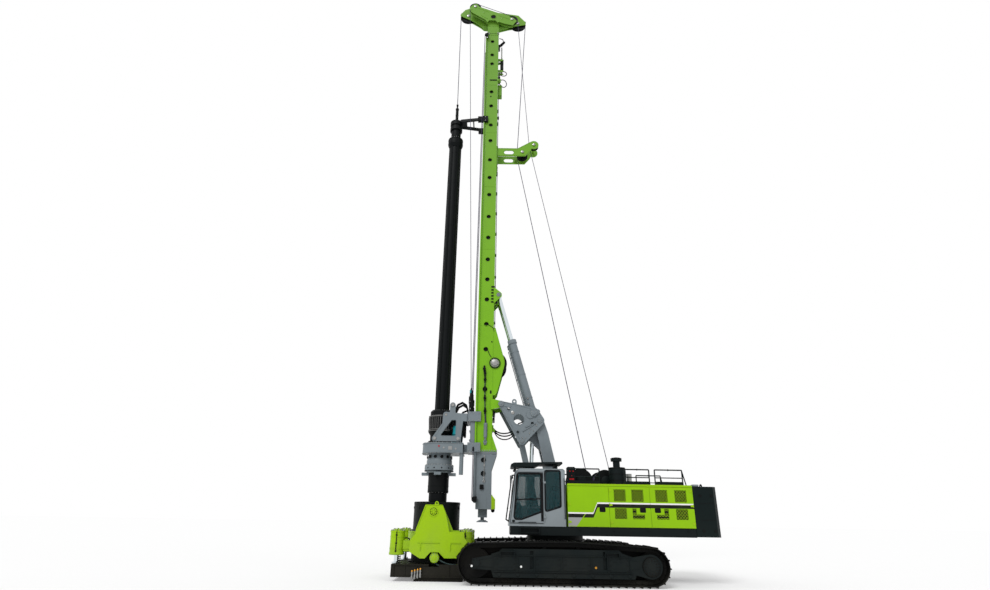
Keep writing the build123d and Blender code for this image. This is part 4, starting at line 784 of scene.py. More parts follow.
class Copies:
    """Sets copies of a small mesh along a path with Geometry Nodes."""

    NAME = "set_along_path"

    @classmethod
    def tree(cls) -> bpy.types.NodeTree:
        """Build the node tree on first use."""
        found = bpy.data.node_groups.get(cls.NAME)
        if found:
            return found
        tree = bpy.data.node_groups.new(cls.NAME, "GeometryNodeTree")
        for name, kind in (("Path", "Geometry"), ("Copy", "Object"), ("Even", "Bool"), ("Count", "Int"),
                           ("Follow", "Float"), ("Finish", "Material")):
            tree.interface.new_socket(name, in_out="INPUT", socket_type=f"NodeSocket{kind}")
        tree.interface.new_socket("Result", in_out="OUTPUT", socket_type="NodeSocketGeometry")
        g = Graph(tree)
        entry = tree.nodes.new("NodeGroupInput")
        given = {socket.name: Sock(g, socket) for socket in entry.outputs if socket.name}
        curve = g.node("GeometryNodeMeshToCurve", None, {"Mesh": given["Path"]})
        even = g.node("GeometryNodeResampleCurve", {"mode": "COUNT"},
                      {"Curve": curve, "Count": given["Count"]})
        chosen = g.node("GeometryNodeSwitch", {"input_type": "GEOMETRY"},
                        {"Switch": given["Even"], "False": curve, "True": even})
        turned = g.node("FunctionNodeAlignRotationToVector", {"axis": "X", "pivot_axis": "Y"},
                        {"Factor": given["Follow"], "Vector": g.node("GeometryNodeInputTangent")})
        copy = g.node("GeometryNodeObjectInfo", None, {"Object": given["Copy"]}, "Geometry")
        laid = g.node("GeometryNodeInstanceOnPoints", None,
                      {"Points": chosen, "Instance": copy, "Rotation": turned})
        real = g.node("GeometryNodeRealizeInstances", None, {0: laid})
        done = g.node("GeometryNodeSetMaterial", None, {"Geometry": real, "Material": given["Finish"]})
        out = tree.nodes.new("NodeGroupOutput")
        tree.links.new(done.socket, out.inputs["Result"])
        return tree

    @classmethod
    def lay(cls, copy: Shape, paths: Sequence[Sequence[Point]], paint: Paint, count: int = 0,
            follow: bool = False, closed: bool = False) -> bpy.types.Mesh:
        """Lay copies along paths.

        Args:
            copy: the small mesh, made about its own origin.
            paths: points of each path; a copy stands at every point unless a count is given.
            paint: the copies' finish.
            count: number of copies at even steps on each path, or 0.
            follow: whether a copy's X axis follows the path.
            closed: whether each path is a loop.

        Returns:
            The plain mesh.
        """
        verts = [(x + AXIS_X, y, z) for path in paths for x, y, z in path]
        edges, first = [], 0
        for path in paths:
            edges += [(first + i, first + i + 1) for i in range(len(path) - 1)]
            edges += [(first + len(path) - 1, first)] if closed else []
            first += len(path)
        line = bpy.data.meshes.new("path")
        line.from_pydata(verts, edges, [])
        holder, small = bpy.data.objects.new("path", line), bpy.data.objects.new("copy",
                                                                                 copy.data("copy", False))
        bpy.context.scene.collection.objects.link(holder)
        tree = cls.tree()
        modifier = holder.modifiers.new("copies", "NODES")
        modifier.node_group = tree
        values = {"Copy": small, "Even": count > 0, "Count": max(count, 2), "Follow": float(follow),
                  "Finish": paint.material}
        for item in tree.interface.items_tree:
            if item.name in values:
                modifier[item.identifier] = values[item.name]
        scene_graph = bpy.context.evaluated_depsgraph_get()
        made = bpy.data.meshes.new_from_object(holder.evaluated_get(scene_graph), depsgraph=scene_graph)
        holder.modifiers.clear()
        bpy.data.objects.remove(holder)
        bpy.data.objects.remove(small)
        return made


def lay(copy: Shape, path: Sequence[Point], name: str, body: str, paint: Paint,
        count: int = 0) -> bpy.types.Object:
    """Lay copies along one path as a finished piece.

    Args:
        copy: the small mesh, made about its own origin.
        path: points of the path.
        name: the piece's name.
        body: the body it rides on.
        paint: its finish.
        count: number of copies at even steps, or 0 for one at every point.

    Returns:
        The piece.
    """
    return keep(Copies.lay(copy, [path], paint, count), name, body, paint)


def dome(radius: float, tip: float, share: float = 0.6) -> tuple[Flat, Flat, Flat]:
    """Profile of a turned end that is straight up to a share of its length and then narrows to its tip."""
    return (0, radius), (share, radius), (1, tip)


def circle(centre: Point, axis: str, radius: float, count: int, start: float = 0.0) -> list[Point]:
    """Points round a circle about the X, Y or Z axis."""
    x, y, z = centre
    turn = {"X": lambda c, s: (x, y + c, z + s), "Y": lambda c, s: (x + c, y, z + s), "Z": lambda c,
            s: (x + c, y + s, z)}
    angles = [start + math.tau * k / count for k in range(count)]
    return [turn[axis](radius * math.cos(a), radius * math.sin(a)) for a in angles]


BRICK = ((0, 1, 3, 2), (4, 6, 7, 5), (0, 4, 5, 1), (2, 3, 7, 6), (1, 5, 7, 3), (0, 2, 6, 4))
AXES: dict[str, Point] = {"X": (1, 0, 0), "-X": (-1, 0, 0), "Y": (0, 1, 0), "-Y": (0, -1, 0), "Z": (0, 0, 1),
                          "-Z": (0, 0, -1)}


def bolts(name: str, body: str, groups: Sequence[Sequence[Point]], way: str, size: float = 0.034,
          high: float = 0.022, paint: Paint = Paint.STEEL) -> bpy.types.Object:
    """Set bolt heads at groups of points.

    Args:
        name: the piece's name.
        body: the body they ride on.
        groups: groups of places.
        way: the axis they stand along.
        size: width over flats.
        high: height of a head.
        paint: their finish.

    Returns:
        The piece.
    """
    head = Shape().bolt((0, 0, 0), AXES[way], size, high)
    return keep(Copies.lay(head, [g for g in groups if len(g) > 1], paint), name, body, paint)


def mirrored(points: Iterable[Point]) -> list[Point]:
    """Points across the rig's centre plane."""
    return [(x, -y, z) for x, y, z in points]


def twin_bolts(name: str, body: str, groups: Sequence[Sequence[Point]], size: float, high: float,
               paint: Paint = Paint.STEEL, far: str = "far") -> None:
    """Set bolt heads on the near flank and the same ones on the far flank.

    Args:
        name: the near piece's name.
        body: the body they ride on.
        groups: groups of places on the near flank.
        size: width over flats.
        high: height of a head.
        paint: their finish.
        far: what the far piece's name ends in.
    """
    bolts(name, body, groups, "-Y", size, high, paint)
    bolts(f"{name}_{far}", body, [mirrored(g) for g in groups], "Y", size, high, paint)


class Builder:
    """A sub-assembly whose methods each make some of its pieces."""

    BODY = "root"

    def show(self, shape: Shape, name: str, paint: Paint, slot: str = "", body: str = "") -> bpy.types.Object:
        """Finish a shape as a piece of this sub-assembly."""
        return show(shape, name, body or self.BODY, paint)

    def steps(self) -> Sequence[Callable[[], None]]:
        """The methods that make the pieces, in order."""
        raise NotImplementedError

    def build(self) -> None:
        """Make every piece."""
        for step in self.steps():
            step()
        LOG.info("%s done", type(self).__name__)


# ---- cords and ropes -----------------------------------------------------------------------------
class Spline:
    """A smooth line whose control points are a route's points."""

    @staticmethod
    def curve(name: str, points: Sequence[Point]) -> bpy.types.Curve:
        """NURBS curve through a route in the rig's frame."""
        data = bpy.data.curves.new(name, "CURVE")
        data.dimensions = "3D"
        data.resolution_u = 10
        spline = data.splines.new("NURBS")
        spline.points.add(len(points) - 1)
        for point, (x, y, z) in zip(spline.points, points):
            point.co = (x + AXIS_X, y, z, 1.0)
        spline.order_u = 3
        spline.use_endpoint_u = True
        return data

    @classmethod
    def points(cls, route: Sequence[Point]) -> list[Vector]:
        """Points of the smooth line, in the shared frame."""
        holder = bpy.data.objects.new("route", cls.curve("route", route))
        bpy.context.scene.collection.objects.link(holder)
        scene_graph = bpy.context.evaluated_depsgraph_get()
        line = bpy.data.meshes.new_from_object(holder.evaluated_get(scene_graph), depsgraph=scene_graph)
        found = [v.co.copy() for v in line.vertices]
        bpy.data.objects.remove(holder)
        bpy.data.meshes.remove(line)
        return found


@dataclass(frozen=True)
class Hose:
    """A hydraulic hose on a smooth route.

    Attributes:
        name: the piece's name.
        body: the body it rides on.
        diameter: outside diameter in metres.
        route: its points in the rig's frame.
        slot: the record's material slot, if not the finish's own; not used.
        paint: its finish.
        other: a second body that it runs to, or an empty string; then the piece rides on no body.
    """

    name: str
    body: str
    diameter: float
    route: Sequence[Point]
    slot: str = "track_black"
    paint: Paint = Paint.RUBBER
    other: str = ""

    def tube(self) -> tuple[bpy.types.Mesh, list[Vector]]:
        """Its mesh and the line that it follows."""
        line = Spline.points(self.route)
        shape = Shape().tube([(p.x - AXIS_X, p.y, p.z) for p in line], self.diameter / 2, 12)
        return shape.data(self.name), line

    def build(self) -> tuple[bpy.types.Object, list[Vector]]:
        """Make the piece on its body, or on no body when it runs between two."""
        made, line = self.tube()
        if not self.other:
            return keep(made, self.name, self.body, self.paint), line
        made.materials.append(self.paint.material)
        piece = bpy.data.objects.new(self.name, made)
        bpy.context.scene.collection.objects.link(piece)
        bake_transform(piece)
        return piece, line

    def declare(self) -> bpy.types.Object:
        """Make the piece and log its length."""
        piece, line = self.build()
        length = sum((b - a).length for a, b in zip(line, line[1:]))
        LOG.info("%s: %.3f m long", self.name, length)
        return piece


@dataclass
class FreeHoses(Builder):
    """The hoses that hang or lie free.

    Attributes:
        hanging: Y, diameter and points in X and Z of each hose from the mast to the cradle.
        clamp: points in X and Z of each hose from the near clamp cylinder to the base.
    """

    hanging: tuple = (
        (-0.250, 0.038, ((-2.020, 4.520), (-1.965, 4.410), (-1.880, 4.322), (-1.765, 4.272), (-1.640, 4.262),
                         (-1.520, 4.290), (-1.420, 4.352), (-1.345, 4.440))),
        (-0.130, 0.045, ((-2.020, 4.570), (-1.955, 4.490), (-1.865, 4.430), (-1.755, 4.397), (-1.640, 4.392),
                         (-1.525, 4.412), (-1.420, 4.455), (-1.340, 4.516))),
        (-0.020, 0.045, ((-2.020, 4.625), (-1.940, 4.560), (-1.845, 4.518), (-1.740, 4.500), (-1.630, 4.502),
                         (-1.525, 4.522), (-1.430, 4.556), (-1.345, 4.605))))
    clamp: tuple = (
        ((-3.123, 0.446), (-3.210, 0.452), (-3.345, 0.470), (-3.484, 0.512), (-3.610, 0.572), (-3.730, 0.622),
         (-3.852, 0.664)),
        ((-3.161, 0.361), (-3.265, 0.344), (-3.371, 0.348), (-3.475, 0.364), (-3.583, 0.402), (-3.705, 0.470),
         (-3.822, 0.532)))

    def steps(self) -> Sequence[Callable[[], None]]:
        """The hanging hoses and the clamp's hoses."""
        return (self.hang, self.clamps)

    def clamps(self) -> None:
        """Grey hoses between the base and the clamp cylinder."""
        for name, points in zip(("clamp_hose_upper", "clamp_hose_lower"), self.clamp):
            route = [(x, -1.15, z) for x, z in points]
            Hose(name, "undercarriage", 0.040, route, "grey_paint", Paint.HOSE,
                 "oscillator_lift").declare()

    def hang(self) -> None:
        """Hoses between the mast and the cradle."""
        names = ("pressure_hose", "return_hose", "drain_hose")
        for name, (y, diameter, points) in zip(names, self.hanging):
            route = [(x, y, z) for x, z in reversed(points)]
            hose = Hose(name, "cradle", diameter, route, other="mast").declare()
            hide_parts("mast_hoses")


@dataclass
class Ropes(Builder):
    """Taut wire ropes over the sheaves.

    Attributes:
        main: radius of the main rope.
        thin: radius of the auxiliary rope.
        crowd: radius of the crowd ropes.
    """

    main: float = 0.014
    thin: float = 0.011
    crowd: float = 0.014

    def steps(self) -> Sequence[Callable[[], None]]:
        """Each rope."""
        return (self.over_crown, self.to_kelly, self.to_hook, self.to_winches, self.on_drums,
                self.crowd_ropes)

    def over_crown(self) -> None:
        """The parts of both hoisting ropes that lie on the crown's sheaves."""
        self.over("main_rope_over_crown", 0, (-3.55, 24.10), (-1.185, 23.66), 0.345, self.main,
                  [(-1.66, 24.137)])
        self.over("auxiliary_rope_over_crown", -0.4, (-3.212, 24.27), (-1.475, 23.494), 0.245, self.thin, [])

    def over(self, name: str, y: float, front: Flat, rear: Flat, groove: float, thick: float,
             between: list[Flat]) -> None:
        """Lay one rope over two sheaves of the crown.

        Args:
            name: the piece's name.
            y: Y of both sheaves.
            front: X and Z of the front sheave.
            rear: X and Z of the rear sheave.
            groove: radius of the sheaves' grooves.
            thick: radius of the rope.
            between: X and Z of the point that stands for the rope's first one on the rear sheave, if any.
        """
        r = groove + thick
        path = wrap([(*front, r), (*rear, r)])
        points = []
        for (x, z), (px, pz), ends in ((front, path[0], (math.pi, None)), (rear, path[1], (None, -0.05))):
            lead = math.atan2(pz - z, px - x)
            angles = self.arc(*(lead if end is None else end for end in ends))
            points.append([(x + r * math.cos(a), z + r * math.sin(a)) for a in angles])
        line = points[0] + between + points[1][len(between):]
        self.rope(name, "mast", [(x, y, z) for x, z in line], thick)

    @staticmethod
    def arc(start: float, end: float, pieces: int = 12) -> list[float]:
        """Even angles from one to another."""
        return [start + (end - start) * k / pieces for k in range(pieces + 1)]

    def rope(self, name: str, body: str, points: Sequence[Point], radius: float, other: str = "") -> None:
        """Make one straight-sided rope on one body, or on no body when it runs between two."""
        if not other:
            self.show(Shape().tube(points, radius, 10), name, Paint.ROPE, body=body)
            return
        a, b = Vector(points[0]), Vector(points[-1])
        line = [tuple(a.lerp(b, k / 8)) for k in range(9)]
        made = Shape().tube(line, radius, 10).data(name)
        made.materials.append(Paint.ROPE.material)
        piece = bpy.data.objects.new(name, made)
        bpy.context.scene.collection.objects.link(piece)
        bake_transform(piece)

    def to_kelly(self) -> None:
        """Main rope from the front sheave to the swivel over the kelly."""
        self.rope("main_rope_front", "mast", [(-3.909, 0, 24.10), (-3.872, 0, 18.80)], self.main,
                  "kelly_guide")

    def to_hook(self) -> None:
        """Auxiliary rope from its front sheave to the hook on the carriage."""
        self.rope("auxiliary_rope_front", "mast", [(-3.468, -0.4, 24.27), (-2.850, -0.4, 5.93)], self.thin,
                  "rotary_drive")

    def to_winches(self) -> None:
        """Both ropes from the crown to the deflector, and from there down to the drums."""
        runs = (("main", self.main, 0.345, (-1.185, 23.66), 0.0, (-1.011, 16.101, 0.205), 0.0,
                 (0.85, 2.95, 0.30)),
                ("auxiliary", self.thin, 0.245, (-1.475, 23.494), -0.4, (-0.525, 16.480, 0.175), -0.17,
                 (1.65, 2.95, 0.27)))
        for name, thick, top_r, (x0, z0), y0, (x1, z1, r1), y1, (x2, z2, r2) in runs:
            upper = wrap([(x0, z0, top_r + thick), (x1, z1, -(r1 + thick))])
            lower = wrap([(x1, z1, -(r1 + thick)), (x2, z2, r2 + thick)])
            begin = math.atan2(upper[1][1] - z1, upper[1][0] - x1)
            end = math.atan2(lower[0][1] - z1, lower[0][0] - x1)
            end = end + math.tau if end < begin - math.pi else end
            bend = [(x1 + (r1 + thick) * math.cos(a), y1, z1 + (r1 + thick) * math.sin(a))
                    for a in self.arc(begin, end, 4)]
            self.rope(f"{name}_rope_behind_mast", "mast", [(upper[0][0], y0, upper[0][1])] + bend, thick)
            self.rope(f"{name}_rope_to_winch", "cradle", [(lower[1][0], y1, lower[1][1]), bend[-1]], thick,
                      "mast")

    def on_drums(self) -> None:
        """Layers of rope on the three drums."""
        for name, body, x, z, r, thick, reach in (
                ("main_winch_layer", "main_winch", 0.85, 2.95, 0.30, self.main, 0.478),
                ("auxiliary_winch_layer", "auxiliary_winch", 1.65, 2.95, 0.27, self.thin, 0.478),
                ("crowd_winch_layer", "crowd_winch", -2.035, 6.90, 0.29, self.crowd, 0.330)):
            turn = Shape().torus((0, 0, 0), (0, 1, 0), r + thick * 0.9, thick, 28, 5)
            count = int((2 * reach) / (2.1 * thick))
            path = [(x, -reach + thick, z), (x, reach - thick, z)]
            lay(turn, path, name, body, Paint.ROPE, count=count)

    def crowd_ropes(self) -> None:
        """Crowd ropes in front of both rails, with their sockets on the carriage and small sheaves."""
        y, x = 0.545, -2.718
        foot_x, foot_y, foot_z = -2.815, 0.490, 5.165
        for side, s in (("near", -1), ("far", 1)):
            self.rope(f"crowd_rope_{side}", "mast", [(x, s * y, 22.42), (foot_x, s * foot_y, foot_z + 0.7)],
                      self.crowd, "rotary_drive")
            self.rope(f"crowd_rope_{side}_low", "mast", [(x, s * y, 2.35), (x, s * y, 3.86)], self.crowd,
                      "rotary_drive")
        socket = Shape()
        socket.lathe((foot_x, -foot_y, foot_z), (foot_x, -foot_y, foot_z + 0.74),
                     ((0, 0.075), (0.06, 0.075), (0.08, 0.045), (0.14, 0.045), (0.16, 0.068), (0.40, 0.068),
                      (0.42, 0.05), (0.48, 0.05), (0.50, 0.064), (0.76, 0.064), (0.80, 0.035), (0.94, 0.030),
                      (1, 0.015)), 20)
        socket.lathe((x, -y, 3.84), (x, -y, 3.98), ((0, 0.020), (0.1, 0.030), (0.8, 0.026), (1, 0.014)), 14)
        self.show(socket.twin(), "crowd_rope_sockets", Paint.DARK, body="rotary_drive")
        wheels = Shape()
        for z in (22.42, 2.33):
            wheels.lathe((x + 0.075, -y - 0.024, z), (x + 0.075, -y + 0.024, z),
                         ((0, 0.03), (0, 0.085), (0.3, 0.068), (0.7, 0.068), (1, 0.085), (1, 0.03),
                          (0, 0.03)), 32)
        wheels.twin()
        self.show(wheels, "crowd_sheaves", Paint.DARK, body="mast")
        plates = Shape()
        for z in (22.42, 2.33):
            for y0 in (-y - 0.042, -y + 0.030):
                plates.slab(((x + 0.03, z - 0.06), (x + 0.16, z - 0.10), (x + 0.16, z + 0.10),
                             (x + 0.03, z + 0.06)),
                            0.02, 0.0, y0, y0 + 0.012)
            plates.rod((x + 0.075, -y - 0.050, z), (x + 0.075, -y + 0.050, z), 0.022)
            plates.box((x + 0.120, -y - 0.03, z - 0.08), (x + 0.155, -0.39, z + 0.08), 0.006)
        self.show(plates.twin(), "crowd_sheave_plates", Paint.DARK, body="mast")


# ---- undercarriage -------------------------------------------------------------------------------
@dataclass
class Crawlers(Builder):
    """Link chains, guards, covers and bolts of both crawlers.

    Attributes:
        middle: Y of a track's middle.
        wheels: X, Z and radius of the wheels that the shoes' outside runs round.
        inset: distance from the shoes' outside to the links' middle.
        shoes: shoes on a track.
        frame_y: Y of the outer face of the near side frame.
    """

    BODY = "undercarriage"
    middle: float = 1.85
    wheels: tuple = ((-2.475, 0.575, 0.575), (2.505, 0.545, 0.545), (0.47, 0.95, 0.25), (-0.52, 0.95, 0.25))
    inset: float = 0.118
    shoes: int = 70
    frame_y: float = -2.13

    def steps(self) -> Sequence[Callable[[], None]]:
        """Chains, shoe bolts, covers, hubs, guards and car body fittings."""
        return (self.chains, self.shoe_bolts, self.covers, self.hubs, self.ring_bolts, self.steps_up)

    def loop(self, inset: float, y: float) -> list[Point]:
        """Path inside the shoes at one Y."""
        path = wrap([(x, z, -(r - inset)) for x, z, r in self.wheels], closed=True, step=0.2)
        return [(x, y, z) for x, z in path]

    def chains(self) -> None:
        """Side plates of the links with their pin ends, along both edges of both chains."""
        for side, s in (("left", -1), ("right", 1)):
            for edge, e in (("outer", 1), ("inner", -1)):
                link = Shape().slab(((-0.094, -0.032), (0.094, -0.044), (0.094, 0.030), (-0.094, 0.044)),
                                    0.026, 0, -0.011, 0.011)
                for x in (-0.060, 0.062):
                    link.rod((x, -0.022, -0.004), (x, 0.022, -0.004), 0.024, 10)
                y = s * (self.middle + e * 0.139)
                made = Copies.lay(link, [self.loop(self.inset, y)], Paint.TRACK, self.shoes, True, True)
                keep(made, f"track_links_{side}_{edge}", self.BODY, Paint.TRACK)

    def shoe_bolts(self) -> None:
        """Four bolts through every shoe."""
        for side, s in (("left", -1), ("right", 1)):
            head = Shape()
            for x in (-0.03, 0.035):
                for y in (-0.075, 0.075):
                    head.rod((x, y, -0.004), (x, y, 0.013), 0.013, 6)
            path = self.loop(0.034, s * self.middle)
            made = Copies.lay(head, [path], Paint.TRACK, self.shoes, True, True)
            keep(made, f"track_bolts_{side}", self.BODY, Paint.TRACK)

    def covers(self) -> None:
        """Bolted covers, ribs and reflectors on the side frames."""
        y = self.frame_y
        plates = Shape()
        for x0, x1 in ((-1.92, -1.36), (-0.76, -0.10), (0.02, 0.76), (1.30, 1.86)):
            plates.slab(rectangle(x0, x1, 0.40, 0.72), 0.05, 0, y - 0.010, y + 0.002)
            plates.slab(rectangle(x0 + 0.08, x1 - 0.08, 0.48, 0.64), 0.03, 0, y - 0.018, y - 0.008)
        for x in (-2.02, -1.30, -0.82, -0.04, 0.80, 1.26, 1.90):
            plates.box((x - 0.014, y - 0.026, 0.37), (x + 0.014, y + 0.002, 0.78), 0.004)
        plates.box((-1.98, y - 0.030, 0.775), (1.96, y + 0.002, 0.80), 0.004)
        plates.box((-1.98, y - 0.040, 0.355), (1.96, y + 0.002, 0.375), 0.004)
        self.show(plates.twin(), "track_frame_covers", Paint.CHASSIS)
        places = [[(x, y - 0.010, z) for x in (x0 + 0.035, x1 - 0.035) for z in (0.43, 0.56, 0.69)]
                  for x0, x1 in ((-1.92, -1.36), (-0.76, -0.10), (0.02, 0.76), (1.30, 1.86))]
        twin_bolts("track_cover_bolts", self.BODY, places, 0.024, 0.014, Paint.DARK, far="right")
        spots = Shape()
        for x in (-2.61, -1.205):
            spots.rod((x, y - 0.024, 0.50), (x, y + 0.002, 0.50), 0.030, 16)
        self.show(spots.twin(), "track_frame_plugs", Paint.WHITE)
        self.show(Shape().rod((0.92, y - 0.024, 0.50), (0.92, y + 0.002, 0.50), 0.030, 16).twin(),
                  "drain_plugs", Paint.BRASS)

    def hubs(self) -> None:
        """Final drive covers, idler hubs and roller caps."""
        y = -2.17
        hub = Shape().lathe((2.505, y, 0.545), (2.505, y - 0.045, 0.545),
                            ((0, 0.235), (0.25, 0.235), (0.35, 0.20), (0.7, 0.20), (0.8, 0.12), (1, 0.11)),
                            40)
        hub.lathe((-2.475, -2.128, 0.575), (-2.475, -2.165, 0.575),
                  ((0, 0.14), (0.4, 0.14), (0.6, 0.09), (1, 0.085)), 32)
        for k in range(8):
            x = -1.83 + 0.53 * k
            hub.lathe((x, -2.128, 0.292), (x, -2.150, 0.292), dome(0.055, 0.042), 20)
        self.show(hub.twin(), "hub_covers", Paint.CHASSIS)
        rings = [circle((2.505, y - 0.010, 0.545), "Y", 0.218, 16),
                 circle((2.505, y - 0.032, 0.545), "Y", 0.165, 12),
                 circle((-2.475, -2.143, 0.575), "Y", 0.115, 8)]
        twin_bolts("hub_bolts", self.BODY, rings, 0.028, 0.016, Paint.TRACK, far="right")
        yoke = Shape().slab(((-2.42, 0.50), (-1.98, 0.47), (-1.98, 0.70), (-2.42, 0.65)), 0.03, 0, -2.146,
                            -2.128)
        yoke.slab(((1.88, 0.46), (2.16, 0.49), (2.16, 0.66), (1.88, 0.70)), 0.03, 0, -2.146, -2.128)
        self.show(yoke.twin(), "yoke_plates", Paint.CHASSIS)
        inner = wrap([(x, z, -(r - 0.135)) for x, z, r in self.wheels[:2]] + [(x, z, -(r - 0.10)) for x, z,
                                                                              r in self.wheels[2:]],
                     closed=True, step=0.3)
        self.show(Shape().prism(inner, -1.700, -1.690).twin(), "track_dirt_guards", Paint.TRACK)

    def ring_bolts(self) -> None:
        """Bolts round the slewing ring."""
        bolts("slew_ring_bolts", self.BODY, [[(x, y, 1.128) for x, y, _ in circle((0, 0, 0), "Z", 0.93, 60)]],
              "Z", 0.034, 0.03)
        seat = Shape().ring((0, 0, 1.118), (0, 0, 1.130), 0.97, 0.905, 60)
        self.show(seat, "slew_ring_seat", Paint.CHASSIS)

    def steps_up(self) -> None:
        """Steps and grips on the near frame, and the valve block on the car body."""
        step = Shape()
        for x, z in ((-1.60, 0.88), (1.40, 0.88)):
            step.box((x - 0.22, -2.245, z), (x + 0.22, -2.13, z + 0.025), 0.006)
            for e in (-0.20, 0.20):
                step.box((x + e - 0.01, -2.24, z - 0.12), (x + e + 0.01, -2.13, z), 0.003)
        self.show(step.twin(), "track_steps", Paint.CHASSIS)
        block = Shape().box((-1.62, -0.42, 0.86), (-1.515, 0.42, 1.02), 0.01)
        for y in (-0.3, -0.15, 0.0, 0.15, 0.3):
            block.rod((-1.565, y, 1.02), (-1.565, y, 1.07), 0.025, 12)
        self.show(block, "travel_valve_block", Paint.DARK)


# ---- casing oscillator ---------------------------------------------------------------------------
@dataclass
class Oscillator(Builder):
    """Fittings of the casing oscillator.

    Attributes:
        centre: X of the casing's axis.
        side: Y of the near side plate's outer face.
        posts: X and Y of the four lift cylinders.
        drum: radius of their barrels.
        lid: height of their lids.
    """

    BODY = "oscillator_lift"
    centre: float = -3.870
    side: float = -1.290
    posts: tuple = ((-4.96, -0.9), (-4.96, 0.9), (-2.86, -0.9), (-2.86, 0.9))
    drum: float = 0.232
    lid: float = 1.395

    def steps(self) -> Sequence[Callable[[], None]]:
        """Plates, rings, cylinders, collar, casing and hoses."""
        return (self.swing_pins, self.ribs, self.lids, self.collar, self.casing, self.base, self.pipes)

    def swing_pins(self) -> None:
        """Pin covers of the swing cylinders in the side plates, with their star of bolts."""
        x, z, y = -3.851, 1.930, self.side + 0.013
        pin = Shape().lathe((x, y, z), (x, y - 0.045, z),
                            ((0, 0.112), (0.3, 0.112), (0.4, 0.098), (0.8, 0.09), (1, 0.06)), 40)
        self.show(pin.twin(), "swing_pin_covers", Paint.LIME)
        rings = [circle((x, y - 0.016, z), "Y", 0.098, 12), circle((x, y - 0.036, z), "Y", 0.055, 6)]
        twin_bolts("swing_pin_bolts", self.BODY, rings, 0.026, 0.018, Paint.DARK)
        rim = Shape().ring((x, self.side + 0.004, z), (x, self.side - 0.012, z), 0.150, 0.118, 40)
        self.show(rim.twin(), "swing_pin_rims", Paint.LIME)

    def ribs(self) -> None:
        """Stiffening ribs, edge beads and small brackets of the side plates."""
        y = self.side
        ribs = Shape()
        ribs.tube([(-4.10, y - 0.004, 2.09), (-4.345, y - 0.004, 1.44)], 0.012, 6)
        ribs.tube([(-4.08, y - 0.004, 2.118), (-3.60, y - 0.004, 2.118)], 0.012, 6)
        ribs.tube([(-3.875, y - 0.004, 0.802), (-3.64, y - 0.004, 0.802), (-3.46, y - 0.004, 0.640),
                   (-3.10, y - 0.004, 0.645)],
                  0.010, 6)
        for x0, z0, x1, z1 in ((-4.30, 1.05, -3.62, 1.05), (-3.30, 1.05, -2.98, 1.05)):
            ribs.box((x0, y - 0.020, z0 - 0.012), (x1, y + 0.002, z1 + 0.012), 0.004)
        for x in (-4.20, -3.30):
            ribs.box((x - 0.014, y - 0.022, 0.83), (x + 0.014, y + 0.002, 1.05), 0.004)
        self.show(ribs.twin(), "side_plate_ribs", Paint.LIME)
        x, z, r = -3.765, 0.640, 0.130
        cap = Shape().lathe((x, y + 0.042, z), (x, y + 0.010, z),
                            ((0, r), (0.5, r - 0.004), (0.7, 0.09), (1, 0.07)), 36)
        cap.ring((x, y + 0.060, z), (x, y + 0.044, z), r + 0.012, r - 0.01, 36)
        self.show(cap.twin(), "clamp_cylinder_caps", Paint.LIME)
        ring = circle((x, y + 0.026, z), "Y", 0.108, 10)
        twin_bolts("clamp_cap_bolts", self.BODY, [ring], 0.022, 0.014)

    def lids(self) -> None:
        """Bolted lids and bands of the lift cylinders."""
        lid, rings = Shape(), []
        for x, y in self.posts:
            lid.lathe((x, y, self.lid - 0.001), (x, y, self.lid + 0.030),
                      ((0, 0.150), (0.6, 0.150), (0.8, 0.10), (1, 0.05)), 36)
            lid.rod((x, y, self.lid + 0.028), (x, y, self.lid + 0.050), 0.03, 12)
            rings.append(circle((x, y, self.lid - 0.024), "Z", 0.203, 16))
            rings.append(circle((x, y, self.lid + 0.012), "Z", 0.125, 8))
        self.show(lid, "lift_cylinder_lids", Paint.LIME)
        bolts("lift_lid_bolts", self.BODY, rings, "Z", 0.030, 0.030)
        bands = Shape()
        for x, y in self.posts:
            for z in (0.86, 1.19):
                bands.ring((x, y, z), (x, y, z + 0.028), self.drum - 0.001, self.drum - 0.012, 40)
            bands.ring((x, y, 0.690), (x, y, 0.700), self.drum - 0.02, 0.085, 40)
        self.show(bands, "lift_cylinder_bands", Paint.LIME)
        clips = Shape()
        for x, y in self.posts:
            out = -1 if y < 0 else 1
            clips.tube([(x, y + out * (self.drum + 0.012), 0.78), (x, y + out * (self.drum + 0.014), 1.30),
                        (x, y + out * (self.drum - 0.03), 1.40)], 0.013, 8)
            for z in (0.80, 1.02, 1.25):
                clips.box((x - 0.03, y + out * (self.drum - 0.012) - 0.016, z - 0.018),
                          (x + 0.03, y + out * (self.drum + 0.008) + 0.016, z + 0.018), 0.004)
        self.show(clips, "lift_cylinder_pipes", Paint.DARK)

    def collar(self) -> None:
        """Bands, bolts and lug pins of the clamp collar."""
        bands = Shape()
        for z0, z1, r in ((1.318, 1.352, 0.892), (0.902, 0.935, 0.892), (1.10, 1.13, 0.886)):
            bands.ring((self.centre, 0, z0), (self.centre, 0, z1), r, 0.876, 64)
        self.show(bands, "collar_bands", Paint.LIME, body="oscillator_collar")
        ring = circle((self.centre, 0, 1.351), "Z", 0.835, 24)
        bolts("collar_bolts", "oscillator_collar", [ring], "Z", 0.036, 0.026)
        pins = Shape()
        pins.rod((self.centre, -0.915, 0.985), (self.centre, -0.915, 1.30), 0.035, 16)
        self.show(pins.twin(), "collar_lug_pins", Paint.STEEL, body="oscillator_collar")

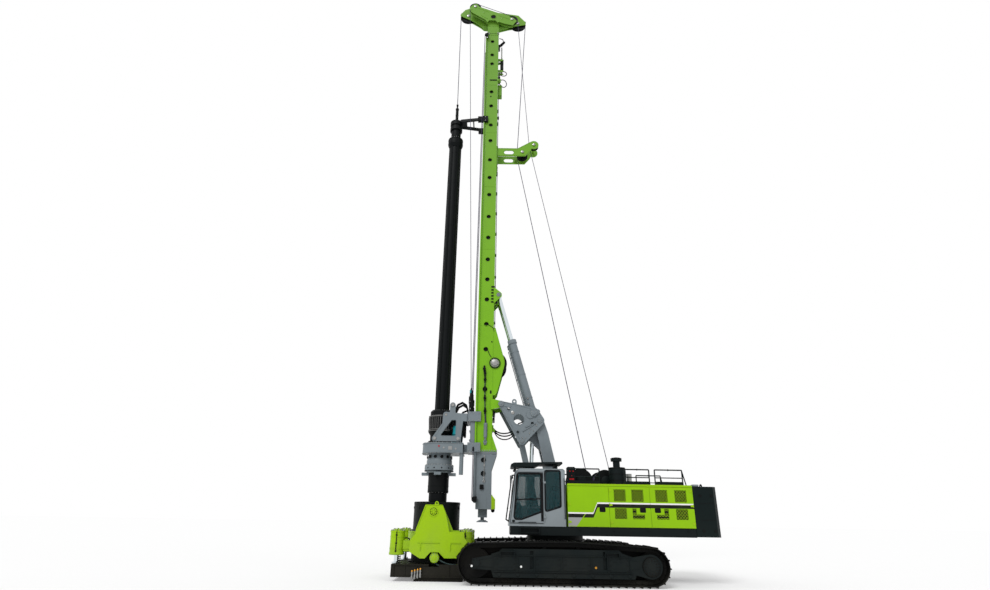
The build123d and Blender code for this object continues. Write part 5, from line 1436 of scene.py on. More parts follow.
    def casing(self) -> None:
        """Joint ring, lock bolts and weld bands of the drill casing."""
        bands = Shape()
        for z0, z1 in ((2.150, 2.230), (1.46, 1.478)):
            bands.ring((self.centre, 0, z0), (self.centre, 0, z1), 0.757, 0.748, 72)
        self.show(bands, "casing_bands", Paint.CASING, body="oscillator_collar")
        locks = Shape()
        for k in range(12):
            a = math.tau * (k + 0.5) / 12
            c, s = math.cos(a), math.sin(a)
            locks.lathe((self.centre + 0.748 * c, 0.748 * s, 2.06),
                        (self.centre + 0.764 * c, 0.764 * s, 2.06), dome(0.045, 0.034), 14)
        self.show(locks, "casing_lock_bolts", Paint.CASING, body="oscillator_collar")

    def base(self) -> None:
        """Ribs, hooks and couplers of the ground frame."""
        y = self.side
        rib = Shape()
        for x in (-4.95, -4.62, -4.28, -3.30, -2.98):
            rib.box((x - 0.014, y - 0.028, 0.13), (x + 0.014, y + 0.002, 0.445), 0.004)
        rib.box((-5.03, y - 0.034, 0.428), (-3.92, y + 0.002, 0.462), 0.004)
        rib.box((-5.03, y - 0.034, 0.112), (-2.71, y + 0.002, 0.142), 0.004)
        self.show(rib.twin(), "base_ribs", Paint.BASE, body="undercarriage")
        metal, tips = Shape(), Shape()
        for k in range(4):
            x, z = -4.394 + 0.082 * k, 0.222 + 0.020 * k
            metal.lathe((x, y - 0.045, z - 0.17), (x, y - 0.045, z + 0.04),
                        ((0, 0.020), (0.1, 0.034), (0.45, 0.034), (0.5, 0.027), (0.7, 0.027), (0.75, 0.034),
                         (1, 0.030)), 16)
            metal.rod((x, y - 0.045, z - 0.02), (x, y + 0.002, z - 0.02), 0.018, 10)
            tips.lathe((x, y - 0.045, z + 0.04), (x, y - 0.045, z + 0.085),
                       ((0, 0.032), (0.6, 0.030), (1, 0.018)), 14)
        self.show(metal, "base_couplers", Paint.STEEL, body="undercarriage")
        self.show(tips, "base_coupler_caps", Paint.BRASS, body="undercarriage")
        hooks = Shape()
        for x in (-4.90, -2.95):
            for s in (-1, 1):
                hooks.torus((x, s * 1.10, 0.462), (1, 0, 0), 0.05, 0.014, 18, 8)
        self.show(hooks, "base_lifting_loops", Paint.BASE, body="undercarriage")

    def pipes(self) -> None:
        """Hose bundle at the front edge of the base and the lines over the table."""
        bundle = Shape()
        for k in range(5):
            z = 0.40 + 0.055 * k
            bundle.tube([(-5.055, -0.62, z), (-5.075 - 0.012 * (k % 2), -0.2, z + 0.02),
                         (-5.070, 0.25, z + 0.01), (-5.055, 0.62, z)], 0.019, 8)
        self.show(bundle, "front_line_bundle", Paint.RUBBER, body="undercarriage")
        lines = Shape()
        for s in (-1, 1):
            lines.tube([(-2.99, s * 0.70, 1.10), (-3.03, s * 0.72, 1.16), (-3.08, s * 0.95, 1.18),
                        (-3.10, s * 1.03, 1.30), (-3.00, s * 1.05, 1.372)], 0.020, 8)
            lines.tube([(-4.84, s * 0.70, 1.10), (-4.72, s * 0.78, 1.17), (-4.60, s * 0.95, 1.15),
                        (-4.52, s * 1.02, 0.96)],
                       0.020, 8)
        self.show(lines, "table_lines", Paint.RUBBER)


# ---- upper structure -----------------------------------------------------------------------------
@dataclass
class Cab(Builder):
    """Glass, seals, lamps, mirrors, seat and controls of the cab.

    Attributes:
        side: Y of the near wall's outer face.
        far: Y of the far wall's outer face.
        door_window: corners of the door's window.
        side_window: corners of the fixed window behind it.
        far_window: corners of the far wall's window.
        corner: radius of the windows' corners.
        floor: height of the floor's upper side.
    """

    BODY = "upper_structure"
    side: float = -1.50
    far: float = -0.54
    door_window: tuple = ((-1.372, 1.83), (-1.272, 3.075), (-0.552, 3.075), (-0.562, 1.972), (-1.15, 1.76),
                          (-1.34, 1.76))
    side_window: tuple = ((-0.42, 1.985), (-0.42, 3.165), (0.045, 3.165), (0.045, 2.125))
    far_window: tuple = ((-1.27, 2.15), (-1.19, 3.06), (-0.50, 3.06), (-0.50, 2.15))
    corner: float = 0.045
    floor: float = 1.616

    def steps(self) -> Sequence[Callable[[], None]]:
        """Windows, door fittings, outside fittings, lamps, controls and seat."""
        return (self.panes, self.seals, self.door, self.outside, self.lamps, self.visor, self.controls,
                self.seat)

    @staticmethod
    def pillar(z: float) -> float:
        """X of the leaning front's face at a height."""
        return -1.55 + 0.225 / 1.67 * (z - 1.56)

    def panes(self) -> None:
        """Fixed panes."""
        y = self.side + 0.026
        glass = Shape().slab(self.side_window, self.corner, -0.001, y, y + 0.006)
        glass.slab(self.far_window, self.corner, -0.001, self.far - 0.034, self.far - 0.028)
        for z0, z1 in ((2.082, 3.128), (1.682, 1.978)):
            x0, x1 = self.pillar(z0) + 0.030, self.pillar(z1) + 0.030
            glass.prism([(x0, z0), (x1, z1), (x1 + 0.006, z1), (x0 + 0.006, z0)],
                        self.side + 0.081, self.far - 0.081)
        glass.box((0.160, self.side + 0.131, 2.301), (0.166, self.far - 0.131, 3.079))
        glass.box((-1.124, self.side + 0.131, 3.196), (-0.501, self.far - 0.131, 3.202))
        self.show(glass, "cab_panes", Paint.GLASS)

    def seals(self) -> None:
        """Rubber seals round the windows and the strip between door and window."""
        y = self.side
        seal = Shape().frame(self.side_window, self.corner, 0.030, -0.012, y - 0.006, y + 0.024)
        seal.frame(self.far_window, self.corner, 0.016, -0.010, self.far - 0.026, self.far + 0.005)
        for z0, z1 in ((2.07, 3.14), (1.672, 1.990)):
            x0, x1 = self.pillar(z0), self.pillar(z1)
            for y0, y1 in ((self.side + 0.066, self.side + 0.094), (self.far - 0.094, self.far - 0.066)):
                seal.prism([(x0 - 0.006, z0), (x1 - 0.006, z1), (x1 + 0.024, z1), (x0 + 0.024, z0)], y0, y1)
            for x, z in ((x0, z0), (x1, z1)):
                seal.box((x - 0.006, self.side + 0.066, z - 0.014), (x + 0.024, self.far - 0.066, z + 0.014))
        seal.box((-0.466 + 0.03, y - 0.003, 1.66), (-0.438 + 0.006, y + 0.010, 3.19))
        self.show(seal, "cab_window_seals", Paint.RUBBER)

    def door(self) -> None:
        """Window seal, sliding rail, handle and trim that swing with the door."""
        y = self.side
        seal = Shape().frame(self.door_window, self.corner, 0.032, -0.014, y - 0.007, y + 0.022)
        seal.prism([(-1.335, 2.325), (-0.556, 2.362), (-0.556, 2.328), (-1.337, 2.291)], y + 0.012, y + 0.026)
        seal.prism([(-0.560, 1.70), (-0.560, 3.10), (-0.484, 3.10), (-0.484, 1.70)], y - 0.004, y + 0.004)
        self.show(seal, "door_window_seal", Paint.RUBBER, body="cab_door")
        grip = Shape().slab(rectangle(-1.445, -1.355, 1.665, 1.735), 0.034, 0, y - 0.014, y + 0.002)
        grip.box((-1.425, y - 0.026, 1.690), (-1.375, y - 0.012, 1.710), 0.004)
        grip.tube([(-1.24, y - 0.002, 1.66), (-1.24, y - 0.05, 1.67), (-0.72, y - 0.05, 1.67),
                   (-0.72, y - 0.002, 1.66)],
                  0.010, 8)
        self.show(grip, "door_grips", Paint.DARK, body="cab_door")
        trim = Shape().tube([(-1.498, y - 0.002, 1.66), (-1.300, y - 0.002, 3.115),
                             (-0.49, y - 0.002, 3.115)], 0.007, 6)
        trim.tube([(-1.49, y - 0.002, 1.648), (-0.49, y - 0.002, 1.648)], 0.007, 6)
        self.show(trim, "door_edge_seal", Paint.RUBBER, body="cab_door")
        pads = Shape()
        for z in (1.79, 2.79):
            pads.box((-0.545, y - 0.034, z + 0.062), (-0.480, y - 0.002, z + 0.118), 0.006)
        self.show(pads, "door_hinge_leaves", Paint.DARK, body="cab_door")

    def outside(self) -> None:
        """Mirror on its rod, grab rails, steps, roof gutter and wiper."""
        y = self.side
        rail = Shape().tube([(-1.395, y - 0.01, 3.02), (-1.45, y - 0.045, 3.011), (-1.629, y - 0.045, 1.737),
                             (-1.56, y - 0.01, 1.70)], 0.022, 10)
        rail.tube([(0.165, y - 0.002, 1.78), (0.165, y - 0.055, 1.80), (0.165, y - 0.055, 2.92),
                   (0.165, y - 0.002, 2.94)],
                  0.013, 10)
        for z in (2.72, 2.05):
            x = -1.45 - (3.011 - z) * 0.1405
            rail.box((x - 0.022, y - 0.066, z - 0.02), (x + 0.022, y - 0.024, z + 0.02), 0.005)
        rail.tube([(-1.452, y - 0.045, 2.99), (-1.50, y - 0.20, 2.99), (-1.50, y - 0.20, 2.70)], 0.009, 8)
        self.show(rail, "cab_grab_rails", Paint.DARK)
        mirror = Shape().box((-1.515, y - 0.30, 2.66), (-1.488, y - 0.12, 3.00), 0.012)
        mirror.box((-1.46, y - 0.075, 2.91), (-1.415, y - 0.02, 2.99), 0.008)
        self.show(mirror, "cab_mirror_shell", Paint.DARK)
        self.show(Shape().box((-1.487, y - 0.288, 2.675), (-1.484, y - 0.132, 2.985), 0.001),
                  "cab_mirror_glass", Paint.CHROME)
        wiper = Shape().tube([(-1.48, -1.02, 2.03), (-1.475, -1.02, 2.10), (-1.43, -0.86, 2.62)], 0.009, 8)
        wiper.tube([(-1.455, -0.93, 2.36), (-1.395, -0.78, 2.92)], 0.008, 6)
        wiper.box((-1.50, -1.06, 2.00), (-1.47, -0.98, 2.06), 0.006)
        self.show(wiper, "cab_wiper", Paint.DARK)
        step = Shape()
        for z in (1.36, 1.50):
            step.box((-1.20, y - 0.11, z), (-0.62, y + 0.015, z + 0.022), 0.005)
        for x in (-1.20, -0.64):
            step.box((x, y - 0.11, 1.33), (x + 0.02, y + 0.015, 1.53), 0.004)
        self.show(step, "cab_steps", Paint.CHASSIS)
        gutter = Shape().tube([(-1.33, y - 0.004, 3.15), (-1.21, y - 0.004, 3.222), (0.14, y - 0.004, 3.222),
                               (0.197, y - 0.004, 3.17)], 0.010, 6)
        self.show(gutter, "cab_gutter", Paint.CAB)

    def lamps(self) -> None:
        """Work lamps under the visor."""
        shells, lenses = Shape(), Shape()
        for x, y, z in ((-1.36, -1.32, 3.215), (-1.36, -0.72, 3.215), (-1.36, -1.12, 3.215)):
            shells.box((x - 0.03, y - 0.055, z - 0.036), (x + 0.05, y + 0.055, z + 0.036), 0.012)
            lenses.box((x - 0.036, y - 0.045, z - 0.027), (x - 0.029, y + 0.045, z + 0.027), 0.002)
        self.show(shells, "cab_lamp_shells", Paint.DARK)
        self.show(lenses, "cab_lamp_lenses", Paint.LENS)

    def visor(self) -> None:
        """Ribs and front bar of the visor."""
        rib = Shape()
        for y in (-1.46, -1.24, -1.02, -0.80, -0.58):
            rib.prism([(-1.462, 3.30), (-1.476, 3.358), (-1.382, 3.405), (0.128, 3.446), (0.128, 3.436),
                       (-1.38, 3.395)],
                      y - 0.010, y + 0.010)
        rib.rod((-1.468, -1.49, 3.300), (-1.468, -0.55, 3.300), 0.016, 12)
        self.show(rib, "visor_ribs", Paint.CHASSIS)

    def controls(self) -> None:
        """Dashboard, screens, levers, pedals and floor mat."""
        y0, y1, z = self.side + 0.12, self.far - 0.12, self.floor
        dash = Shape().prism([(-1.33, z), (-1.27, 2.12), (-1.20, 2.20), (-1.14, 2.14), (-1.20, z)], -1.18,
                             -0.86)
        dash.box((-1.30, -0.70, z), (-1.15, -0.61, 2.25), 0.02)
        dash.box((-0.92, -1.36, z + 0.26), (-0.42, -1.27, z + 0.44), 0.02)
        dash.box((-0.92, -0.77, z + 0.26), (-0.42, -0.68, z + 0.44), 0.02)
        for y in (-1.315, -0.725):
            dash.box((-0.72, y - 0.03, z), (-0.62, y + 0.03, z + 0.27), 0.01)
            dash.lathe((-0.86, y, z + 0.44), (-0.87, y, z + 0.56), ((0, 0.035), (0.4, 0.018), (1, 0.012)), 12)
            dash.lathe((-0.87, y, z + 0.55), (-0.882, y, z + 0.66),
                       ((0, 0.014), (0.2, 0.026), (0.8, 0.030), (1, 0.014)), 12)
        for y in (-1.10, -0.94):
            dash.box((-1.16, y - 0.04, z + 0.03), (-1.04, y + 0.04, z + 0.05), 0.006)
            dash.rod((-1.12, y, z + 0.04), (-1.14, y, z + 0.30), 0.009, 8)
        dash.box((-1.20, -1.38, z + 0.001), (-0.15, -0.66, z + 0.012), 0.003)
        self.show(dash, "cab_controls", Paint.DARK, "interior_dark")
        screen = Shape().box((-1.245, -0.80, 2.23), (-1.215, -0.62, 2.44), 0.008)
        screen.box((-1.225, -1.30, 2.20), (-1.195, -1.16, 2.32), 0.008)
        self.show(screen, "cab_screens", Paint.CAB)
        self.show(Shape().box((-0.90, -1.335, z + 0.442), (-0.86, -1.295, z + 0.462), 0.004), "stop_button",
                  Paint.RED)
        back = Shape().box((0.08, self.side + 0.10, z + 0.10), (0.145, self.far - 0.10, 2.24), 0.02)
        back.box((-1.10, self.side + 0.10, 3.10), (0.10, self.side + 0.125, 3.165), 0.006)
        self.show(back, "cab_lining", Paint.CAB)

    def pad(self, name: str, low: Point, high: Point, turn: float, crown: float, grooves: int) -> None:
        """Make one crowned cushion with sewn channels.

        Args:
            name: the piece's name.
            low: lowest corner of its box.
            high: highest corner.
            turn: lean about the Y axis, in radians.
            crown: how far its faces bulge.
            grooves: number of sewn channels.
        """
        lo, hi = Vector(low), Vector(high)
        centre, half = (lo + hi) / 2, (hi - lo) / 2
        mesh = bmesh.new()
        bmesh.ops.create_cube(mesh, size=2)
        bmesh.ops.subdivide_edges(mesh, edges=mesh.edges[:], cuts=13, use_grid_fill=True)
        thin = min(range(3), key=lambda i: half[i])
        wide = [i for i in range(3) if i != thin]
        spin = Matrix.Rotation(turn, 3, "Y")
        for v in mesh.verts:
            u = v.co.copy()
            a, b = u[wide[0]], u[wide[1]]
            square = 1 - 0.10 * (abs(a) ** 6 * abs(b) ** 6)
            pull = 1 - 0.035 * (1 - max(abs(a), abs(b)) ** 2)
            edge = (1 - abs(a) ** 4) * (1 - abs(b) ** 4)
            soft = (1 - max(abs(a), abs(b)) ** 8) ** 0.5 if max(abs(a), abs(b)) < 1 else 0.0
            swell = (0.62 + 0.38 * soft) + crown * edge
            groove = max(0.0, 1 - abs(((b + 1) / 2 * grooves) % 1 - 0.5) / 0.12) if grooves else 0.0
            channel = 1 - 0.07 * groove * edge
            rim = 1 - 0.05 * u[thin] ** 2 * (abs(a) ** 8 + abs(b) ** 8)
            local = Vector((0, 0, 0))
            local[wide[0]] = a * square * rim * half[wide[0]] * (2 - pull if abs(a) > 0.98 else 1)
            local[wide[1]] = b * square * rim * half[wide[1]]
            local[thin] = u[thin] * swell * channel * half[thin] / (1 + crown)
            v.co = centre + spin @ local + Vector((AXIS_X, 0, 0))
        bmesh.ops.recalc_face_normals(mesh, faces=mesh.faces[:])
        made = bpy.data.meshes.new(name)
        mesh.to_mesh(made)
        mesh.free()
        made.shade_smooth()
        piece = keep(made, name, self.BODY, Paint.TRIM)
        rounding = piece.modifiers.new("rounding", "SUBSURF")
        rounding.levels = rounding.render_levels = 1
        if name == "seat_cushion":
            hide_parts("cab_interior")

    def seat(self) -> None:
        """Seat on its suspension with cushion, backrest and headrest."""
        z = self.floor
        base = Shape().box((-0.60, -1.20, z + 0.001), (-0.18, -0.84, z + 0.06), 0.012)
        base.box((-0.56, -1.17, z + 0.06), (-0.22, -0.87, z + 0.19), 0.03)
        base.box((-0.63, -1.24, z + 0.19), (-0.16, -0.80, z + 0.235), 0.015)
        base.prism([(-0.20, z + 0.23), (-0.155, z + 0.23), (-0.045, z + 0.98), (-0.085, z + 0.98)], -1.20,
                   -0.84)
        self.show(base, "seat_base", Paint.DARK, "interior_dark")
        self.pad("seat_cushion", (-0.64, -1.255, z + 0.235), (-0.17, -0.785, z + 0.365), 0.0, 0.16, 4)
        self.pad("seat_backrest", (-0.235, -1.245, z + 0.36), (-0.125, -0.795, z + 0.93), 0.14, 0.18, 4)
        self.pad("seat_headrest", (-0.150, -1.14, z + 0.97), (-0.060, -0.90, z + 1.13), 0.14, 0.20, 0)


@dataclass
class Hood(Builder):
    """Grilles, handles, hinges, roof fittings, railings' feet and the counterweight's fittings.

    Attributes:
        side: Y of the near doors' outer face; not used.
        grilles: middle and half width of each grille with the number of its door.
        rows: lower and upper edge of both rows of grilles.
        handles: X of each door's handle.
        hinges: X of each door's hinge and the way its leaf reaches.
        roof: height of the roof.
    """

    BODY = "upper_structure"
    side: float = -1.50
    grilles: tuple = ((1.873, 0.182, 2), (2.418, 0.184, 2), (3.156, 0.186, 3), (3.745, 0.182, 3))
    rows: tuple = ((1.802, 2.104), (2.301, 2.651))
    handles: tuple = (1.318, 2.552, 3.008)
    hinges: tuple = ((0.272, 1), (1.542, 1), (4.118, -1))
    roof: float = 2.79

    def steps(self) -> Sequence[Callable[[], None]]:
        """Doors, roof, deck edge and tail."""
        return (self.grille_mesh, self.door_parts, self.roof_parts, self.deck_edge, self.tail)

    def cells(self, middle: float, half: float, handle: float) -> list[tuple[float, float, float, float]]:
        """Rectangles of one column of grilles, cut back round the door's handle."""
        x0, x1 = middle - half + 0.004, middle + half - 0.004
        (low, high), top = self.rows[0], self.rows[1]
        if abs(middle - handle) > half + 0.19:
            return [(x0, x1, low, high), (x0, x1, *top)]
        beside = (x0, min(x1, handle - 0.199)) if middle < handle else (max(x0, handle + 0.199), x1)
        return [(x0, x1, low, 1.932), (*beside, 1.932, high), (x0, x1, *top)]

    def grille_mesh(self) -> None:
        """Expanded metal in every grille over a dark sheet, painted shade behind the mesh."""
        pitch = 0.094
        for number in (2, 3):
            for side, s in (("left", -1), ("right", 1)):
                made = bmesh.new()
                # A dark sheet in each recess: painted shade seen through the expanded metal.
                shade_sheet = Shape()
                for middle, half in ((m, h) for m, h, door in self.grilles if door == number):
                    for x0, x1, low, high in self.cells(middle, half, self.handles[number - 1]):
                        shade_sheet.box((x0, s * 1.4715 - 0.001, low + 0.003),
                                    (x1, s * 1.4715 + 0.001, high - 0.003))
                        count = max(4, round((x1 - x0) / pitch))
                        rows = max(3, round((high - low - 0.012) / (pitch * 0.5)))
                        tall = (high - low - 0.012) / rows
                        for phase in (0, 1):
                            path = [((x0 + x1) / 2, s * 1.480, low + 0.006 + tall * (2 * k + phase))
                                    for k in range((rows + 1 - phase) // 2)]
                            strip = self.zigzag(x1 - x0, count, tall, s * 0.004, phase)
                            part = Copies.lay(strip, [path], Paint.HOOD)
                            made.from_mesh(part)
                            bpy.data.meshes.remove(part)
                mesh = bpy.data.meshes.new(f"grille_{side}_{number}")
                made.to_mesh(mesh)
                made.free()
                body = f"hood_door_{side}_{number}"
                keep(mesh, f"grille_{side}_{number}", body, Paint.LIME)
                self.show(shade_sheet, f"grille_backing_{side}_{number}", Paint.DARK, body=body)

    @staticmethod
    def zigzag(width: float, count: int, tall: float, deep: float, phase: int) -> Shape:
        """Make one row of expanded metal.

        Args:
            width: width of the row.
            count: number of waves in it.
            tall: height of a wave.
            deep: thickness of the metal along Y.
            phase: 0 for a row that starts low, 1 for one that starts high.

        Returns:
            The row about the middle of its foot.
        """
        strip, step = Shape(), width / count
        foot, peak = (tall, 0.0) if phase else (0.0, tall)
        for k in range(count):
            a, b = -width / 2 + k * step, -width / 2 + (k + 1) * step
            for p, q, r, t in ((a, (a + b) / 2, foot, peak), ((a + b) / 2, b, peak, foot)):
                corners = ((p, r - 0.0075), (q, t - 0.0075), (q, t + 0.0075), (p, r + 0.0075))
                verts = [(x, y, z) for y in (0, deep) for x, z in corners]
                strip.hull(verts, ((0, 1, 2, 3), (7, 6, 5, 4), (0, 4, 5, 1), (3, 2, 6, 7)))
        return strip

    def door_parts(self) -> None:
        """Handle, hinge leaves and edge seal of every door."""
        edges = (0.264, 1.534, 2.799, 4.126)
        for number in (1, 2, 3):
            x0, x1 = edges[number - 1], edges[number] - (0.008 if number < 3 else 0)
            hx = self.handles[number - 1]
            hinge, reach = self.hinges[number - 1]
            for side, s in (("left", -1), ("right", 1)):
                body = f"hood_door_{side}_{number}"
                y = s * 1.481
                plate = Shape().slab(rectangle(hx - 0.080, hx + 0.080, 2.001, 2.111),
                                     0.02, 0, *sorted((y, y + s * 0.010)))
                plate.slab(rectangle(hx - 0.050, hx + 0.050, 2.030, 2.082), 0.015, 0,
                           *sorted((y + s * 0.010, y + s * 0.022)))
                plate.rod((hx + 0.062, y + s * 0.008, 2.056), (hx + 0.062, y + s * 0.018, 2.056), 0.011, 12)
                plate.frame(rectangle(hx - 0.080, hx + 0.080, 2.001, 2.111), 0.02,
                            0.012, -0.004, *sorted((s * 1.498, s * 1.504)))
                self.show(plate, f"hood_handle_{side}_{number}", Paint.RUBBER, "dark_paint", body)
                edge = Shape()
                for z in (1.585, 2.715):
                    edge.box((x0 + 0.03, min(s * 1.498, s * 1.503), z - 0.006),
                             (x1 - 0.03, max(s * 1.498, s * 1.503), z + 0.006), 0.002)
                for z in (1.70, 2.20, 2.62):
                    edge.box((min(hinge, hinge + reach * 0.09), min(s * 1.498, s * 1.508), z - 0.03),
                             (max(hinge, hinge + reach * 0.09), max(s * 1.498, s * 1.508), z + 0.03), 0.004)
                    edge.rod((hinge + reach * 0.006, s * 1.510, z - 0.045),
                             (hinge + reach * 0.006, s * 1.510, z + 0.045), 0.010, 10)
                self.show(edge, f"hood_hinges_{side}_{number}", Paint.LIME, body=body)

    def roof_parts(self) -> None:
        """Hatches, fan grilles, exhaust, toe boards and railing feet on the roof."""
        z = self.roof
        toe = Shape()
        for x0, x1 in ((0.34, 1.33), (2.16, 2.91), (3.09, 3.96)):
            toe.box((x0 - 0.02, -1.215, z + 0.012), (x1 + 0.02, -1.195, z + 0.125), 0.003)
            for x in (x0, x1):
                toe.box((x - 0.04, -1.24, z + 0.0005), (x + 0.04, -1.16, z + 0.012), 0.003)
            toe.torus(((x0 + x1) / 2, -1.20, 3.27), (1, 0, 0), 0.026, 0.008, 16, 6)
        toe.tube([(3.955, -1.20, 3.265), (4.06, -1.20, 2.81)], 0.018, 10)
        self.show(toe.twin(), "roof_toe_boards", Paint.CHASSIS)
        hatch = Shape()
        for x0, x1, y0, y1 in ((2.25, 2.95, -0.66, 0.66), (3.05, 4.02, -0.95, 0.95)):
            hatch.slab(rectangle(x0, x1, z, z + 0.03), 0.008, 0, y0, y1)
        hatch.box((2.30, -1.10, z), (2.90, -0.74, z + 0.02), 0.006).box((2.30, 0.74, z),
                                                                        (2.90, 1.10, z + 0.02), 0.006)
        self.show(hatch, "roof_hatches", Paint.LIME)
        slat = Shape().box((-0.008, -0.82, 0.0), (0.020, 0.82, 0.010), 0.002)
        made = Copies.lay(slat, [[(3.13, 0, z + 0.031), (3.94, 0, z + 0.031)]], Paint.DARK, 24)
        keep(made, "roof_fan_slats", self.BODY, Paint.DARK)
        pipe = Shape().lathe((2.62, 0.30, z + 0.03), (2.62, 0.30, z + 0.46),
                             ((0, 0.13), (0.06, 0.13), (0.08, 0.085), (0.8, 0.085), (0.8, 0.10), (1, 0.10),
                              (1, 0.07), (0.7, 0.065)), 28)
        self.show(pipe, "exhaust_stack", Paint.STEEL)
        cap = Shape().lathe((1.96, -0.9, 3.30), (1.96, -0.9, 3.66),
                            ((0, 0.268), (0.06, 0.274), (0.12, 0.268), (0.125, 0.2)), 44)
        cap.ring((1.96, -0.9, 2.93), (1.96, -0.9, 2.96), 0.272, 0.262, 44)
        cap.ring((1.96, -0.9, 3.12), (1.96, -0.9, 3.15), 0.272, 0.262, 44)
        cap.lathe((1.96, -0.9, 3.60), (1.96, -0.9, 3.67), ((0, 0.181), (0.4, 0.181), (0.8, 0.12), (1, 0.02)),
                  32)
        self.show(cap, "air_cleaner_bands", Paint.DARK)
        lips = Shape()
        for x in (1.530, 2.795):
            lips.box((x - 0.004, -1.496, z), (x + 0.004, 1.496, z + 0.004))
        lips.tube([(0.27, -1.494, z + 0.002), (4.12, -1.494, z + 0.002)], 0.012, 6)
        self.show(lips.twin(), "roof_seams", Paint.LIME)
        grip = Shape()
        for x0 in (0.45, 1.75):
            for k in range(6):
                grip.box((x0 + 0.09 * k, -1.42, z), (x0 + 0.09 * k + 0.05, -1.05, z + 0.004), 0.001)
        self.show(grip.twin(), "roof_grip_strips", Paint.RUBBER)

    def deck_edge(self) -> None:
        """Sill brackets and edge strips along the deck."""
        rail = Shape()
        for x in (0.603, 1.630, 2.669, 3.897):
            rail.box((x - 0.035, -1.506, 1.455), (x + 0.035, -1.480, 1.505), 0.006)
            rail.rod((x, -1.512, 1.48), (x, -1.50, 1.48), 0.014, 10)
        rail.box((0.26, -1.494, 1.545), (4.12, -1.480, 1.5585), 0.003)
        rail.box((-1.19, -1.494, 1.31), (4.10, -1.483, 1.335), 0.003)
        self.show(rail.twin(), "deck_edge_brackets", Paint.CHASSIS)

    def tail(self) -> None:
        """Joint lines, lifting lugs, lamps and light box of the counterweight."""
        line = Shape()
        for z in (1.80, 2.28):
            line.box((4.30, -1.5035, z - 0.006), (4.75, -1.4985, z + 0.006), 0.001)
            line.box((4.888, -1.30, z - 0.006), (4.8935, 1.30, z + 0.006), 0.001)
        for y in (-0.9, 0.9):
            line.torus((4.62, y, 2.775), (1, 0, 0), 0.085, 0.022, 24, 8)
            line.box((4.54, y - 0.13, 2.7705), (4.70, y + 0.13, 2.785), 0.004)
        for x in (4.35, 4.70):
            for z in (1.5, 2.5):
                line.rod((x, -1.508, z), (x, -1.498, z), 0.045, 20)
        self.show(line, "counterweight_fittings", Paint.DARK, "counterweight_dark")
        box = Shape().box((4.18, -1.44, 2.771), (4.37, -1.24, 2.835), 0.012)
        self.show(box, "tail_light_box", Paint.CAB)
        lamp = Shape()
        for y in (-1.18, 1.18):
            lamp.box((4.889, y - 0.13, 2.50), (4.905, y + 0.13, 2.60), 0.006)
        self.show(lamp, "tail_lamps", Paint.RED)
        eye = Shape().box((4.86, -0.06, 2.772), (4.90, 0.06, 2.84), 0.01)
        self.show(eye, "tail_camera", Paint.DARK)


